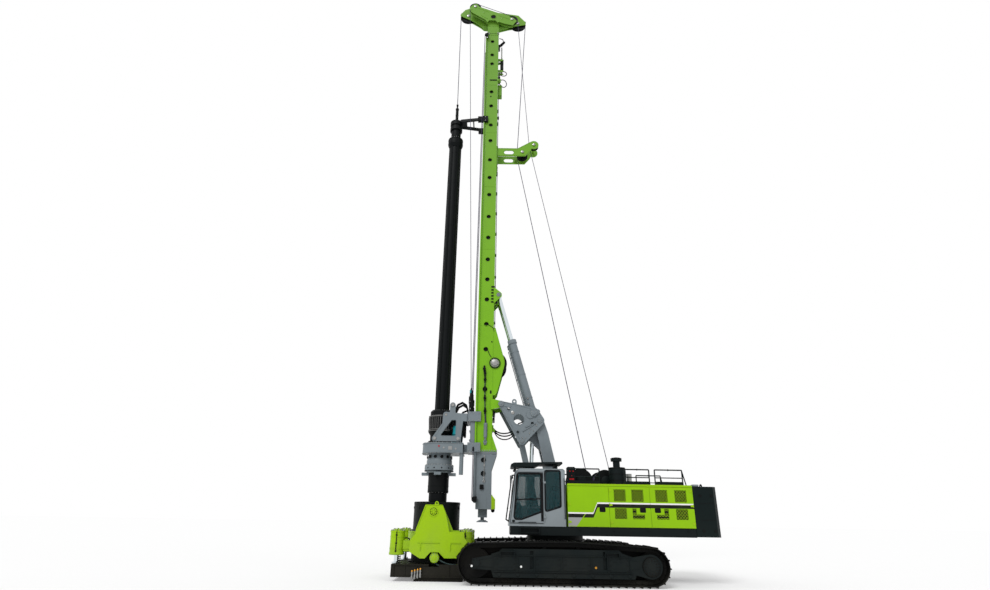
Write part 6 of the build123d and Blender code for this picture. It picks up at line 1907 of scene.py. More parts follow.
@dataclass
class WinchDeck(Builder):
    """Motors, valves and pipes among the winches.

    Attributes:
        winches: X, Z and drum radius of both winches.
    """

    BODY = "upper_structure"
    winches: tuple = ((0.85, 2.95, 0.30), (1.65, 2.95, 0.27))

    def steps(self) -> Sequence[Callable[[], None]]:
        """Motors, bolts, control box and pipes."""
        return (self.motors, self.flanges, self.box, self.pipes)

    def motors(self) -> None:
        """Gear housings and motors outside the cheeks."""
        housing, motor = Shape(), Shape()
        for x, z, r in self.winches:
            housing.lathe((x, 0.578, z), (x, 0.69, z),
                          ((0, 0.13), (0.1, 0.20), (0.5, 0.20), (0.6, 0.14), (1, 0.12)), 36)
            housing.lathe((x, -0.578, z), (x, -0.64, z), ((0, 0.12), (0.3, 0.155), (0.7, 0.155), (1, 0.09)),
                          32)
            motor.lathe((x, 0.69, z), (x, 0.94, z),
                        ((0, 0.10), (0.3, 0.10), (0.35, 0.085), (0.9, 0.085), (1, 0.05)), 24)
            motor.box((x - 0.05, 0.78, z + 0.06), (x + 0.05, 0.90, z + 0.13), 0.01)
        self.show(housing, "winch_gear_housings", Paint.CHASSIS)
        self.show(motor, "winch_motors", Paint.TEAL)
        rings = [circle((x, 0.634, z), "Y", 0.175, 12) for x, z, _ in self.winches]
        bolts("winch_gear_bolts", self.BODY, rings, "Y", 0.03, 0.02)

    def flanges(self) -> None:
        """Ribs on the drum flanges that turn with them."""
        for (x, z, r), body in zip(self.winches, ("main_winch", "auxiliary_winch")):
            rib = Shape()
            for y0, y1 in ((-0.522, -0.511), (0.511, 0.522)):
                rib.ring((x, y0, z), (x, y1, z), r + 0.088, r + 0.068, 44)
                for k in range(8):
                    a = math.tau * k / 8
                    c, s = math.cos(a), math.sin(a)
                    rib.prism([(x + 0.08 * c - 0.012 * s, z + 0.08 * s + 0.012 * c),
                               (x + (r + 0.07) * c - 0.012 * s, z + (r + 0.07) * s + 0.012 * c),
                               (x + (r + 0.07) * c + 0.012 * s, z + (r + 0.07) * s - 0.012 * c),
                               (x + 0.08 * c + 0.012 * s, z + 0.08 * s - 0.012 * c)],
                              y0, y1)
            self.show(rib, f"{body}_flange_ribs", Paint.DARK, body=body)

    def box(self) -> None:
        """Control box beside the front winch."""
        box = Shape().box((0.34, -1.05, 2.80), (0.60, -0.74, 3.34), 0.02)
        box.box((0.36, -1.062, 2.90), (0.58, -1.048, 3.28), 0.006)
        self.show(box, "winch_control_box", Paint.CHASSIS)
        knobs = Shape()
        for x, z in ((0.42, 3.20), (0.52, 3.20), (0.47, 3.05)):
            knobs.lathe((x, -1.060, z), (x, -1.090, z), dome(0.022, 0.014, 0.5), 14)
        knobs.box((0.39, -1.066, 2.93), (0.55, -1.058, 2.99), 0.004)
        self.show(knobs, "winch_control_knobs", Paint.RED)

    def pipes(self) -> None:
        """Hard pipes, hoses and valve blocks between the winches and the boom's foot."""
        block = Shape().box((1.16, -0.60, 2.62), (1.34, 0.60, 2.80), 0.015)
        for k in range(8):
            block.rod((1.25, -0.49 + 0.14 * k, 2.80), (1.25, -0.49 + 0.14 * k, 2.86), 0.034, 12)
        self.show(block, "winch_valve_block", Paint.CHASSIS)
        pipe = Shape()
        for k in range(6):
            y = -0.45 + 0.18 * k
            pipe.tube([(1.17, y, 2.70), (0.60, y, 2.45), (0.45, y, 1.80), (0.45, y, 1.57)], 0.020, 8)
        pipe.tube([(1.34, -0.3, 2.72), (1.95, -0.35, 2.62), (2.148, -0.35, 2.40)], 0.026, 8)
        pipe.tube([(1.34, 0.3, 2.72), (1.95, 0.35, 2.62), (2.148, 0.35, 2.40)], 0.026, 8)
        self.show(pipe, "winch_pipes", Paint.RUBBER)


# ---- front linkage -------------------------------------------------------------------------------
@dataclass
class Linkage(Builder):
    """Pin caps, pipes and glands of boom, link, cradle and cylinders.

    Attributes:
        pins: name, body, X, Z, Y of the outer face and radius of each cap.
    """

    BODY = "cradle"
    pins: tuple = (("trunnion_caps", "mast_barrels", -0.683, 5.120, -0.596, 0.120),
                   ("tilt_pin_caps", "mast", -1.800, 5.430, -0.581, 0.098),
                   ("boom_head_caps", "boom", -0.470, 4.880, -0.551, 0.092),
                   ("link_head_caps", "boom_link", -1.080, 4.188, -0.551, 0.075),
                   ("rod_eye_caps", "mast", -1.930, 9.532, -0.451, 0.082),
                   ("boom_foot_caps", "upper_structure", 0.100, 2.400, -0.482, 0.085),
                   ("link_foot_caps", "upper_structure", -0.510, 1.708, -0.482, 0.075),
                   ("luff_foot_caps", "upper_structure", -0.830, 1.720, -0.482, 0.075))

    def steps(self) -> Sequence[Callable[[], None]]:
        """Caps, cradle detail, boom pipes and cylinder detail."""
        return (self.caps, self.cradle, self.boom, self.cylinders)

    def caps(self) -> None:
        """Keeper caps on the pins' ends, each with its bolts."""
        for name, body, x, z, y, r in self.pins:
            cap = Shape().lathe((x, y + 0.001, z), (x, y - 0.016, z), dome(r, r - 0.008), 32)
            cap.lathe((x, y - 0.016, z), (x, y - 0.026, z), dome(r * 0.45, r * 0.38), 24)
            self.show(cap.twin(), name, Paint.GREY, body=body)
            ring = circle((x, y - 0.016, z), "Y", r * 0.72, 6, 0.4)
            twin_bolts(f"{name}_bolts", body, [ring], 0.022, 0.013)

    def cradle(self) -> None:
        """Ridges, small pins, beads and pipes of the cradle's plates."""
        y = -0.55
        bead = Shape()
        for x, z, r in ((-1.188, 4.909, 0.178), (-1.546, 5.250, 0.055), (-0.728, 4.780, 0.052),
                        (-1.222, 4.479, 0.052)):
            bead.ring((x, y + 0.004, z), (x, y - 0.010, z), r + 0.022, r, 36)
        bead.tube([(-1.83, y - 0.003, 5.335), (-1.18, y - 0.003, 4.275)], 0.010, 6)
        bead.tube([(-1.74, y - 0.003, 5.50), (-0.78, y - 0.003, 5.285)], 0.010, 6)
        bead.box((-1.10, y - 0.026, 4.600), (-0.66, y + 0.001, 4.630), 0.005, Matrix.Rotation(-0.55, 4, "Y"))
        bead.box((-0.98, y - 0.026, 4.700), (-0.60, y + 0.001, 4.726), 0.005, Matrix.Rotation(-0.35, 4, "Y"))
        self.show(bead.twin(), "cradle_ridges", Paint.GREY)
        bright = Shape()
        for x, z, r in ((-0.598, 4.718, 0.026), (-0.831, 4.446, 0.026), (-1.076, 4.300, 0.020),
                        (-0.969, 4.282, 0.020), (-0.80, 4.58, 0.018), (-0.70, 4.53, 0.018),
                        (-1.40, 5.13, 0.06)):
            bright.lathe((x, y + 0.002, z), (x, y - 0.020, z), dome(r, r * 0.7), 16)
        self.show(bright.twin(), "cradle_plugs", Paint.STEEL)
        pipe = Shape()
        for k, y0 in enumerate((-0.44, -0.38, 0.38, 0.44)):
            pipe.tube([(-1.29, y0, 4.60), (-1.20, y0, 4.78), (-0.86, y0, 4.92), (-0.62, y0, 4.86 - 0.03 * k),
                       (-0.52, y0, 4.70)], 0.018, 8)
        self.show(pipe, "cradle_pipes", Paint.DARK)

    def boom(self) -> None:
        """Beads round the cross tubes of the boom."""
        foot, head = Vector((0.10, 0, 2.40)), Vector((-0.47, 0, 4.88))
        rim = Shape()
        for share, r in ((0.3, 0.13), (0.62, 0.13), (0.85, 0.10)):
            at = foot.lerp(head, share)
            rim.ring((at.x, -0.418, at.z), (at.x, -0.412, at.z), r, r - 0.02, 32)
        self.show(rim.twin(), "boom_tube_beads", Paint.GREY, body="boom")

    def cylinders(self) -> None:
        """Glands, ports and hard pipes of the luffing and the mast cylinders."""
        def line(start: Flat, end: Flat, name: str, body: str, y: float, radius: float, length: float,
                 ends: tuple[float, float]) -> None:
            """Add the gland, ports and pipe of one cylinder between two points in X and Z."""
            a, b = Vector((start[0], y, start[1])), Vector((end[0], y, end[1]))
            way = (b - a).normalized()
            side = Vector((-way.z, 0, way.x))
            shape = Shape()
            shape.ring(a + way * (length - 0.128), a + way * (length - 0.110), radius + 0.030, radius + 0.018,
                       36)
            shape.ring(a + way * (length - 0.001), a + way * (length + 0.012), radius + 0.010,
                       ends[1] + 0.006, 36)
            shape.ring(a + way * ends[0], a + way * (ends[0] + 0.05), radius + 0.012, radius - 0.004, 36)
            reach = radius + 0.028
            shape.tube([a + way * (ends[0] + 0.12) + side * reach, a + way * (length - 0.20) + side * reach],
                       0.015, 8)
            for share in (0.12, 0.5, 0.88):
                at = a + way * (ends[0] + 0.12 + share * (length - 0.32 - ends[0]))
                shape.ring(at, at + way * 0.028, radius + 0.010, radius - 0.003, 36)
                shape.box(at + side * (radius + 0.012) - Vector((0.024, 0.024, 0.02)),
                          at + side * (radius + 0.034) + Vector((0.024, 0.024, 0.02)), 0.005)
            self.show(shape, name, Paint.GREY, body=body)

        for y, side in ((-0.30, "near"), (0.30, "far")):
            line((-0.683, 5.120), (-1.930, 9.532), f"mast_cylinder_bands_{side}", "mast_barrels", y, 0.140,
                 2.76, (0.18, 0.075))
        line((-0.830, 1.720), (-0.700, 4.330), "luff_cylinder_bands", "luff_barrel", 0.0, 0.130, 1.55,
             (0.14, 0.070))
        nubs = Shape()
        for y in (-0.30, 0.30):
            for x, z in ((-0.873, 5.649), (-0.850, 5.453)):
                out = -1 if y < 0 else 1
                nubs.lathe((x, y + out * 0.132, z), (x, y + out * 0.185, z), dome(0.034, 0.020, 0.5), 16)
        self.show(nubs, "mast_cylinder_ports", Paint.STEEL, body="mast_barrels")


# ---- mast ----------------------------------------------------------------------------------------
@dataclass
class Mast(Builder):
    """Flange bolts, pipes, brackets, tensioners, hubs and seams of the mast.

    Attributes:
        front: X of the front face.
        rear: X of the rear face.
        side: Y of the near face.
        holes: heights of the holes in its sides.
        hole_x: X of those holes.
    """

    BODY = "mast"
    front: float = -2.600
    rear: float = -2.090
    side: float = -0.400
    holes: tuple = (5.960, 7.416, 8.374, 9.347, 10.170, 11.010, 11.960, 12.900, 13.920, 14.741, 15.613,
                    16.587, 17.410, 18.437, 19.214, 20.832, 21.358, 22.165)
    hole_x: float = -2.370

    def steps(self) -> Sequence[Callable[[], None]]:
        """Holes, joints, winch hub, tensioner, back pipes and top fittings."""
        return (self.rims, self.leads, self.joints, self.hub, self.tensioner, self.back_pipes, self.top,
                self.lower, self.rails)

    def rims(self) -> None:
        """Beads round the side holes, dark discs in them and dark patches for the slot and the small hole as
        painted shade, with ribs, pin marks and weld seams.
        """
        y = self.side
        for name, inner, outer, face in (("mast_hole_rims", -0.006, 0.010, y - 0.001),
                                         ("mast_hole_rims_far", -0.010, 0.006, -y + 0.001)):
            rim = Shape().ring((0, inner, 0), (0, outer, 0), 0.100, 0.085, 28)
            lay(rim, [(self.hole_x, face, z) for z in self.holes], name, self.BODY, Paint.MAST)
        for side, deep in (("near", y + 0.055), ("far", -y - 0.055)):
            # Dark discs inside the holes: painted shade of the mast's inside.
            plug = Shape().rod((0, 0, 0), (0, 0.006, 0), 0.12, 20)
            path = [(self.hole_x, deep, z) for z in self.holes]
            lay(plug, path, f"mast_hole_liners_{side}", self.BODY, Paint.RUBBER)
        rib = Shape().box((-0.068, -0.016, -0.030), (0.068, 0.0, 0.030), 0.006)
        path = [(-2.145, y, 9.25 + 0.122 * k) for k in range(6)]
        lay(rib, path, "mast_dark_ribs", self.BODY, Paint.DARK)
        # The slot and the small hole are flat dark patches: painted shade of their insides.
        slot = Shape().slab(rectangle(-2.195, -2.135, 5.80, 5.92), 0.025, 0, y - 0.004, y + 0.001)
        slot.rod((-2.392, y - 0.004, 18.956), (-2.392, y + 0.001, 18.956), 0.034, 18)
        slot.box((-2.05, y - 0.004, 9.19), (-1.97, y + 0.05, 9.285), 0.008)
        self.show(slot, "mast_side_slots", Paint.DARK)
        self.show(Shape().rod((-2.05, y - 0.012, 5.38), (-2.05, y + 0.001, 5.38), 0.030, 16).twin(),
                  "mast_pin_marks", Paint.STEEL)
        seams = Shape()
        for z in (6.9 + 1.42, 11.45, 14.30, 17.00, 19.60):
            seams.box((self.front + 0.004, y - 0.005, z - 0.007), (self.rear - 0.004, y + 0.001, z + 0.007),
                      0.002)
        for x in (self.front + 0.012, self.rear - 0.012):
            seams.tube([(x, y - 0.001, 3.95), (x, y - 0.001, 22.62)], 0.009, 6)
        self.show(seams.twin(), "mast_weld_seams", Paint.MAST)

    def leads(self) -> None:
        """Sensor leads clipped to the near side, from the cable holes to the winch."""
        lead = Shape()
        y = self.side - 0.006
        lead.tube([(-2.36, y, 8.38), (-2.24, y, 8.31), (-2.11, y, 8.22), (-2.085, y, 8.10)], 0.011, 6)
        lead.tube([(-2.35, y, 7.42), (-2.29, y, 7.36), (-2.235, y, 7.22), (-2.17, y, 7.12)], 0.012, 6)
        lead.box((-2.175, y - 0.01, 7.67), (-2.135, y + 0.008, 7.72), 0.004)
        self.show(lead, "sensor_leads", Paint.RUBBER)

    def joints(self) -> None:
        """Bolts of the flanges between the sections and the transport hinge."""
        y = self.side
        rows = []
        for z in (3.800, 3.880):
            rows.append([(-2.56 + 0.078 * k, y + (0.010 if z < 3.85 else 0.0), z) for k in range(9)])
        twin_bolts("mast_foot_joint_bolts", self.BODY, rows, 0.034, 0.02)
        plate = Shape()
        for z0, z1 in ((22.56, 22.645), (22.655, 22.74)):
            plate.box((-2.63, y - 0.012, z0), (-2.07, y + 0.001, z1), 0.006)
        plate.box((-2.05, y - 0.010, 19.80), (-1.96, y + 0.10, 19.96), 0.01)
        plate.lathe((-2.085, y - 0.03, 19.88), (-2.085, y + 0.06, 19.88), ((0, 0.05), (0.2, 0.06), (1, 0.06)),
                    24)
        self.show(plate.twin(), "mast_joint_plates", Paint.MAST)
        seam = Shape().box((-2.46, y - 0.014, 19.848), (-2.00, y + 0.001, 19.912), 0.004)
        seam.box((-2.63, y - 0.014, 22.646), (-2.07, y + 0.001, 22.656), 0.002)
        self.show(seam.twin(), "mast_joint_seams", Paint.DARK)
        rows = [[(-2.533, y - 0.012, 22.694), (-2.122, y - 0.012, 22.703)],
                [(-2.533, y - 0.012, 22.60), (-2.122, y - 0.012, 22.60)]]
        twin_bolts("mast_top_joint_bolts", self.BODY, rows, 0.046, 0.03)

    def hub(self) -> None:
        """Crowd winch hubs with a star of bolts, and beads along the winch housing."""
        x, z, y = -2.035, 6.900, self.side - 0.026
        dark = Shape().ring((x, y + 0.002, z), (x, y - 0.012, z), 0.200, 0.165, 48)
        self.show(dark.twin(), "winch_hub_rims", Paint.DARK)
        hub = Shape().lathe((x, y, z), (x, y - 0.060, z),
                            ((0, 0.150), (0.25, 0.150), (0.35, 0.115), (0.8, 0.105), (1, 0.05)), 40)
        for k in range(6):
            a = math.tau * k / 6
            hub.box((x + 0.075 * math.cos(a) - 0.052, y - 0.050, z + 0.075 * math.sin(a) - 0.012),
                    (x + 0.075 * math.cos(a) + 0.052, y - 0.002, z + 0.075 * math.sin(a) + 0.012), 0.004,
                    Matrix.Rotation(-a, 4, "Y"))
        self.show(hub.twin(), "winch_hubs", Paint.STEEL)
        ring = circle((x, y - 0.012, z), "Y", 0.132, 12)
        twin_bolts("winch_hub_bolts", self.BODY, [ring], 0.026, 0.018, Paint.DARK)
        edge = Shape().tube([(-1.700, -0.403, 7.01), (-1.778, -0.403, 7.28), (-2.035, -0.403, 8.21),
                             (-2.08, -0.403, 8.24)],
                            0.011, 6)
        edge.tube([(-1.700, -0.403, 7.01), (-1.700, -0.403, 6.84), (-1.774, -0.403, 6.53),
                   (-1.955, -0.403, 5.84)], 0.011, 6)
        self.show(edge.twin(), "winch_housing_beads", Paint.MAST)

    def tensioner(self) -> None:
        """Crowd rope tensioner on both sides: eye, barrel, rod and link plates."""
        y = -0.440
        body, rod, links = Shape(), Shape(), Shape()
        body.lathe((-2.322, y, 4.29), (-2.322, y, 4.78),
                   ((0, 0.045), (0.04, 0.060), (0.9, 0.060), (0.92, 0.066), (1, 0.06)), 28)
        body.rod((-2.324, y, 4.20), (-2.322, y, 4.29), 0.032, 16)
        body.torus((-2.324, y, 4.15), (0, 1, 0), 0.046, 0.018, 22, 8)
        body.box((-2.37, -0.438, 4.06), (-2.28, -0.395, 4.24), 0.008)
        rod.rod((-2.322, y, 4.78), (-2.350, y, 5.20), 0.026, 16)
        points = ((-2.350, 5.20), (-2.365, 5.637), (-2.372, 5.957), (-2.372, 6.294), (-2.377, 6.522),
                  (-2.405, 6.686))
        rod.tube([(x, y, z) for x, z in points], 0.018, 8)
        for x, z in points:
            links.lathe((x, y - 0.034, z), (x, y + 0.034, z),
                        ((0, 0.040), (0.2, 0.052), (0.8, 0.052), (1, 0.040)), 18)
            links.box((x - 0.030, y - 0.026, z - 0.110), (x + 0.030, y - 0.012, z + 0.110), 0.005)
            links.box((x - 0.030, y + 0.012, z - 0.110), (x + 0.030, y + 0.040, z + 0.110), 0.005)
        self.show(body.twin(), "tensioner_barrels", Paint.GREY)
        self.show(rod.twin(), "tensioner_rods", Paint.ROPE)
        self.show(links.twin(), "tensioner_links", Paint.DARK)

    def back_pipes(self) -> None:
        """Hard pipes and brackets up the back of the mast, with hose loops at the top joint."""
        x = self.rear + 0.030
        pipe = Shape()
        for k, y in enumerate((0.055, 0.095, 0.135, 0.175, 0.215)):
            pipe.tube([(x, y, 8.45), (x, y, 15.36)], 0.013, 8)
            pipe.tube([(x, y, 16.40), (x, y, 19.72)], 0.013, 8)
            pipe.tube([(x, y, 19.70), (x, y, 20.60)], 0.013, 8)
            pipe.tube([(x, y, 4.98), (x, y, 6.30)], 0.013, 8)
        for y, points in ((-0.06, ((-2.05, 20.60), (-1.92, 20.72), (-1.76, 20.70), (-1.69, 20.58),
                                   (-1.74, 20.46), (-1.88, 20.44), (-2.02, 20.52), (-2.06, 20.40))),
                          (-0.10, ((-2.06, 20.10), (-1.93, 20.20), (-1.78, 20.16), (-1.70, 20.00),
                                   (-1.71, 19.84), (-1.80, 19.74), (-1.92, 19.78), (-1.98, 19.92),
                                   (-2.06, 19.98)))):
            pipe.tube([(q.x - AXIS_X, q.y, q.z) for q in Spline.points([(a, y, b) for a, b in points])],
                      0.017, 8)
        self.show(pipe, "mast_back_pipes", Paint.DARK)
        clamp = Shape().box((-0.045, -0.105, -0.022), (0.020, 0.105, 0.022), 0.006)
        heights = [5.15] + [8.6 + 0.95 * k for k in range(8)] + [16.6, 17.9, 18.6, 19.4, 20.35]
        path = [(x + 0.002, 0.135, z) for z in heights]
        lay(clamp, path, "mast_pipe_clamps", self.BODY, Paint.GREY)
        self.show(Shape().box((-2.088, -0.20, 19.195), (-1.909, 0.06, 19.80), 0.015), "mast_hinge_case",
                  Paint.MAST)
        case = Shape().box((-2.088, -0.12, 20.02), (-1.99, 0.02, 20.386), 0.015)
        case.box((-2.088, -0.30, 17.86), (-2.02, -0.18, 17.96), 0.010)
        case.box((-2.088, -0.34, 5.09), (-2.00, 0.30, 5.21), 0.012).box((-2.088, -0.34, 4.90),
                                                                        (-2.01, 0.30, 4.99), 0.012)
        self.show(case, "mast_back_cases", Paint.DARK)

    def top(self) -> None:
        """Upper tensioner cylinder, chain, brackets and slanting fittings behind the mast's head."""
        bracket, barrel = Shape(), Shape()
        for z in (21.307, 20.655):
            bracket.prism([(-2.088, z - 0.10), (-1.90, z - 0.04), (-1.84, z), (-1.90, z + 0.04),
                           (-2.088, z + 0.06)], -0.16, -0.135)
            bracket.prism([(-2.088, z - 0.10), (-1.90, z - 0.04), (-1.84, z), (-1.90, z + 0.04),
                           (-2.088, z + 0.06)], 0.035, 0.06)
        self.show(bracket, "top_tensioner_brackets", Paint.MAST)
        barrel.lathe((-1.922, -0.05, 20.79), (-1.922, -0.05, 21.41),
                     ((0, 0.05), (0.03, 0.074), (0.94, 0.074), (1, 0.055)), 28)
        barrel.rod((-1.922, -0.05, 20.62), (-1.922, -0.05, 20.80), 0.030, 14)
        barrel.rod((-1.922, -0.05, 21.40), (-1.930, -0.05, 21.52), 0.026, 14)
        self.show(barrel, "top_tensioner_cylinder", Paint.DARK)
        for name, axis, (x0, z0), (x1, z1) in (
                ("top_chain_flat_links", "Y", (-1.933, 21.53), (-1.938, 22.14)),
                ("top_chain_turned_links", "X", (-1.9335, 21.551), (-1.9385, 22.161))):
            link = Shape().torus((0, 0, 0), AXES[axis], 0.024, 0.0085, 14, 6)
            lay(link, [(x0, -0.05, z0), (x1, -0.05, z1)], name, self.BODY, Paint.STEEL, count=15)
        slant = Shape().lathe((-2.08, -0.05, 22.20), (-1.80, -0.05, 22.52),
                              ((0, 0.045), (0.1, 0.055), (0.9, 0.055), (1, 0.03)), 24)
        slant.tube([(-2.06, -0.14, 22.10), (-1.92, -0.14, 22.18), (-1.84, -0.14, 22.36),
                    (-1.90, -0.14, 22.58), (-2.06, -0.14, 22.64)], 0.018, 8)
        slant.box((-2.088, -0.20, 22.02), (-2.02, 0.06, 22.20), 0.01)
        self.show(slant, "top_fittings", Paint.DARK)

    def lower(self) -> None:
        """Roller, valve block, shackle and bolts of the lower section."""
        fork = Shape().lathe((-2.030, -0.30, 2.010), (-2.030, 0.30, 2.010),
                             ((0, 0.052), (0.02, 0.062), (0.98, 0.062), (1, 0.052)), 28)
        self.show(fork, "mast_foot_roller", Paint.RUBBER)
        fin = Shape().prism([(-2.083, 2.488), (-1.958, 2.34), (-1.958, 2.05), (-2.083, 2.032)], -0.396,
                            -0.324)
        self.show(fin.twin(), "mast_foot_wedges", Paint.LIME)
        block = Shape().box((-2.475, -0.445, 2.64), (-2.345, -0.385, 2.79), 0.008)
        for z in (2.67, 2.715, 2.76):
            block.rod((-2.41, -0.465, z), (-2.41, -0.44, z), 0.016, 12)
        self.show(block.twin(), "mast_valve_blocks", Paint.DARK)
        links = Shape().tube([(-2.34, -0.412, 3.72), (-2.34, -0.412, 2.95)], 0.012, 8)
        links.torus((-2.34, -0.415, 2.90), (0, 1, 0), 0.034, 0.011, 20, 8)
        for z in (3.70, 3.40, 3.00):
            links.box((-2.362, -0.424, z - 0.02), (-2.318, -0.388, z + 0.02), 0.004)
        self.show(links.twin(), "mast_side_rods", Paint.STEEL)
        rings = [circle((-2.372, 0, 1.7045), "Z", 0.095, 8)]
        bolts("mast_foot_bolts", self.BODY, rings, "Z", 0.022, 0.012)
        rim = Shape()
        for z in (3.570, 3.140):
            rim.ring((self.hole_x, -0.384, z), (self.hole_x, -0.398, z), 0.100, 0.085, 28)
        rim.tube([(-2.585, -0.391, 3.75), (-2.585, -0.391, 2.06)], 0.010, 6)
        rim.tube([(-2.100, -0.391, 3.25), (-2.100, -0.391, 2.50)], 0.010, 6)
        self.show(rim.twin(), "mast_lower_beads", Paint.GREY)

    def rails(self) -> None:
        """Bolts along both rails."""
        web = [[(-2.618, -0.400, z) for z in (4.4 + 0.75 * k for k in range(24))]]
        twin_bolts("rail_bolts", self.BODY, web, 0.020, 0.010, Paint.MAST)


@dataclass
class Crown(Builder):
    """Pins, keepers, beads and lamp of the mast's head.

    Attributes:
        side: Y of the outer face of the near auxiliary plate.
    """

    BODY = "mast"
    side: float = -0.475

    def steps(self) -> Sequence[Callable[[], None]]:
        """Pins, keepers and beads."""
        return (self.pins, self.keepers, self.beads)

    def pins(self) -> None:
        """Caps on the sheave pins."""
        cap = Shape()
        for x, z, r in ((-3.550, 24.10, 0.075), (-1.185, 23.66, 0.075)):
            for s in (-1, 1):
                cap.lathe((x, s * 0.104, z), (x, s * 0.124, z), dome(r, r * 0.7), 24)
        for x, z in ((-3.212, 24.27), (-1.475, 23.494)):
            for y0, y1 in ((-0.494, -0.512), (-0.306, -0.288)):
                cap.lathe((x, y0, z), (x, y1, z), dome(0.068, 0.045), 24)
        self.show(cap, "crown_pin_caps", Paint.STEEL)

    def keepers(self) -> None:
        """Rope keeper bars round the sheaves."""
        bar = Shape()
        for cx, cz, r, y0, y1 in ((-3.550, 24.10, 0.40, -0.062, 0.062), (-1.185, 23.66, 0.40, -0.062, 0.062)):
            for angle in ((1.2, 2.6) if cx < -2 else (0.4, 1.9)):
                bar.rod((cx + r * math.cos(angle), y0, cz + r * math.sin(angle)),
                        (cx + r * math.cos(angle), y1, cz + r * math.sin(angle)), 0.012, 10)
        for cx, cz, angles in ((-3.212, 24.27, (-2.3, -1.2)), (-1.475, 23.494, (-2.2, -1.1))):
            for angle in angles:
                bar.rod((cx + 0.295 * math.cos(angle), -0.442, cz + 0.295 * math.sin(angle)),
                        (cx + 0.295 * math.cos(angle), -0.358, cz + 0.295 * math.sin(angle)), 0.010, 10)
        self.show(bar, "crown_rope_keepers", Paint.DARK)

    def beads(self) -> None:
        """Stiffening beads and bolts on the crown's plates."""
        y = self.side
        bead = Shape()
        bead.ring((-2.351, y + 0.002, 23.636), (-2.351, y - 0.012, 23.636), 0.142, 0.120, 36)
        # A dark disc inside the plate's hole, in front of the block behind it: painted shade.
        shade_disc = Shape().rod((-2.351, y + 0.020, 23.636), (-2.351, y + 0.030, 23.636), 0.13, 32)
        self.show(shade_disc, "crown_hole_liner", Paint.RUBBER)
        bead.tube([(-3.10, y - 0.002, 24.18), (-2.55, y - 0.002, 23.93)], 0.010, 6)
        bead.tube([(-2.93, y - 0.002, 23.70), (-2.60, y - 0.002, 23.50)], 0.010, 6)
        bead.tube([(-2.10, y - 0.002, 23.72), (-1.62, y - 0.002, 23.50)], 0.010, 6)
        for x, z in ((-3.40, 24.10), (-2.80, 23.90), (-1.95, 23.55)):
            bead.lathe((x, y + 0.002, z), (x, y - 0.014, z), dome(0.05, 0.035), 20)
        self.show(bead, "crown_beads", Paint.MAST)
        post = Shape()
        for z in (22.80, 23.20):
            post.box((-2.604, -0.346, z - 0.02), (-2.086, 0.346, z + 0.02), 0.006)
        self.show(post, "crown_post_bands", Paint.MAST)
        mast_light = Shape().rod((-2.40, 0.0, 24.22), (-2.40, 0.0, 24.40), 0.014, 10)
        mast_light.lathe((-2.40, 0.0, 24.40), (-2.40, 0.0, 24.49),
                         ((0, 0.03), (0.2, 0.045), (0.8, 0.045), (1, 0.02)), 20)
        self.show(mast_light, "crown_beacon", Paint.RED)


@dataclass
class Deflector(Builder):
    """Pins, beads and bolts of the rope deflector."""

    BODY = "mast"

    def steps(self) -> Sequence[Callable[[], None]]:
        """One step."""
        return (self.fittings,)

    def fittings(self) -> None:
        """Beads, pin caps and foot bolts."""
        y = -0.300
        cap, bead = Shape(), Shape()
        for x, z in ((-1.011, 16.101), (-0.525, 16.480)):
            cap.lathe((x, y - 0.024, z), (x, y - 0.044, z), dome(0.062, 0.04), 22)
        self.show(cap.twin(), "deflector_pin_caps", Paint.STEEL)
        bead.frame(rectangle(-1.785, -1.375, 15.98, 16.17), 0.09, 0.018, 0.0, y - 0.008, y + 0.001)
        bead.tube([(-2.07, y - 0.002, 16.27), (-1.22, y - 0.002, 16.27), (-0.66, y - 0.002, 16.62)], 0.009, 6)
        bead.tube([(-2.07, y - 0.002, 15.915), (-0.90, y - 0.002, 15.925), (-0.68, y - 0.002, 16.19)], 0.009,
                  6)
        self.show(bead.twin(), "deflector_beads", Paint.MAST)
        rows = [[(-2.054, s * 0.30, z) for z in (15.46, 15.60, 15.74, 16.30)] for s in (-1, 1)]
        rows.append([(-2.054, 0.0, 15.46), (-2.054, 0.0, 15.70)])
        bolts("deflector_bolts", self.BODY, rows, "X", 0.034, 0.022)


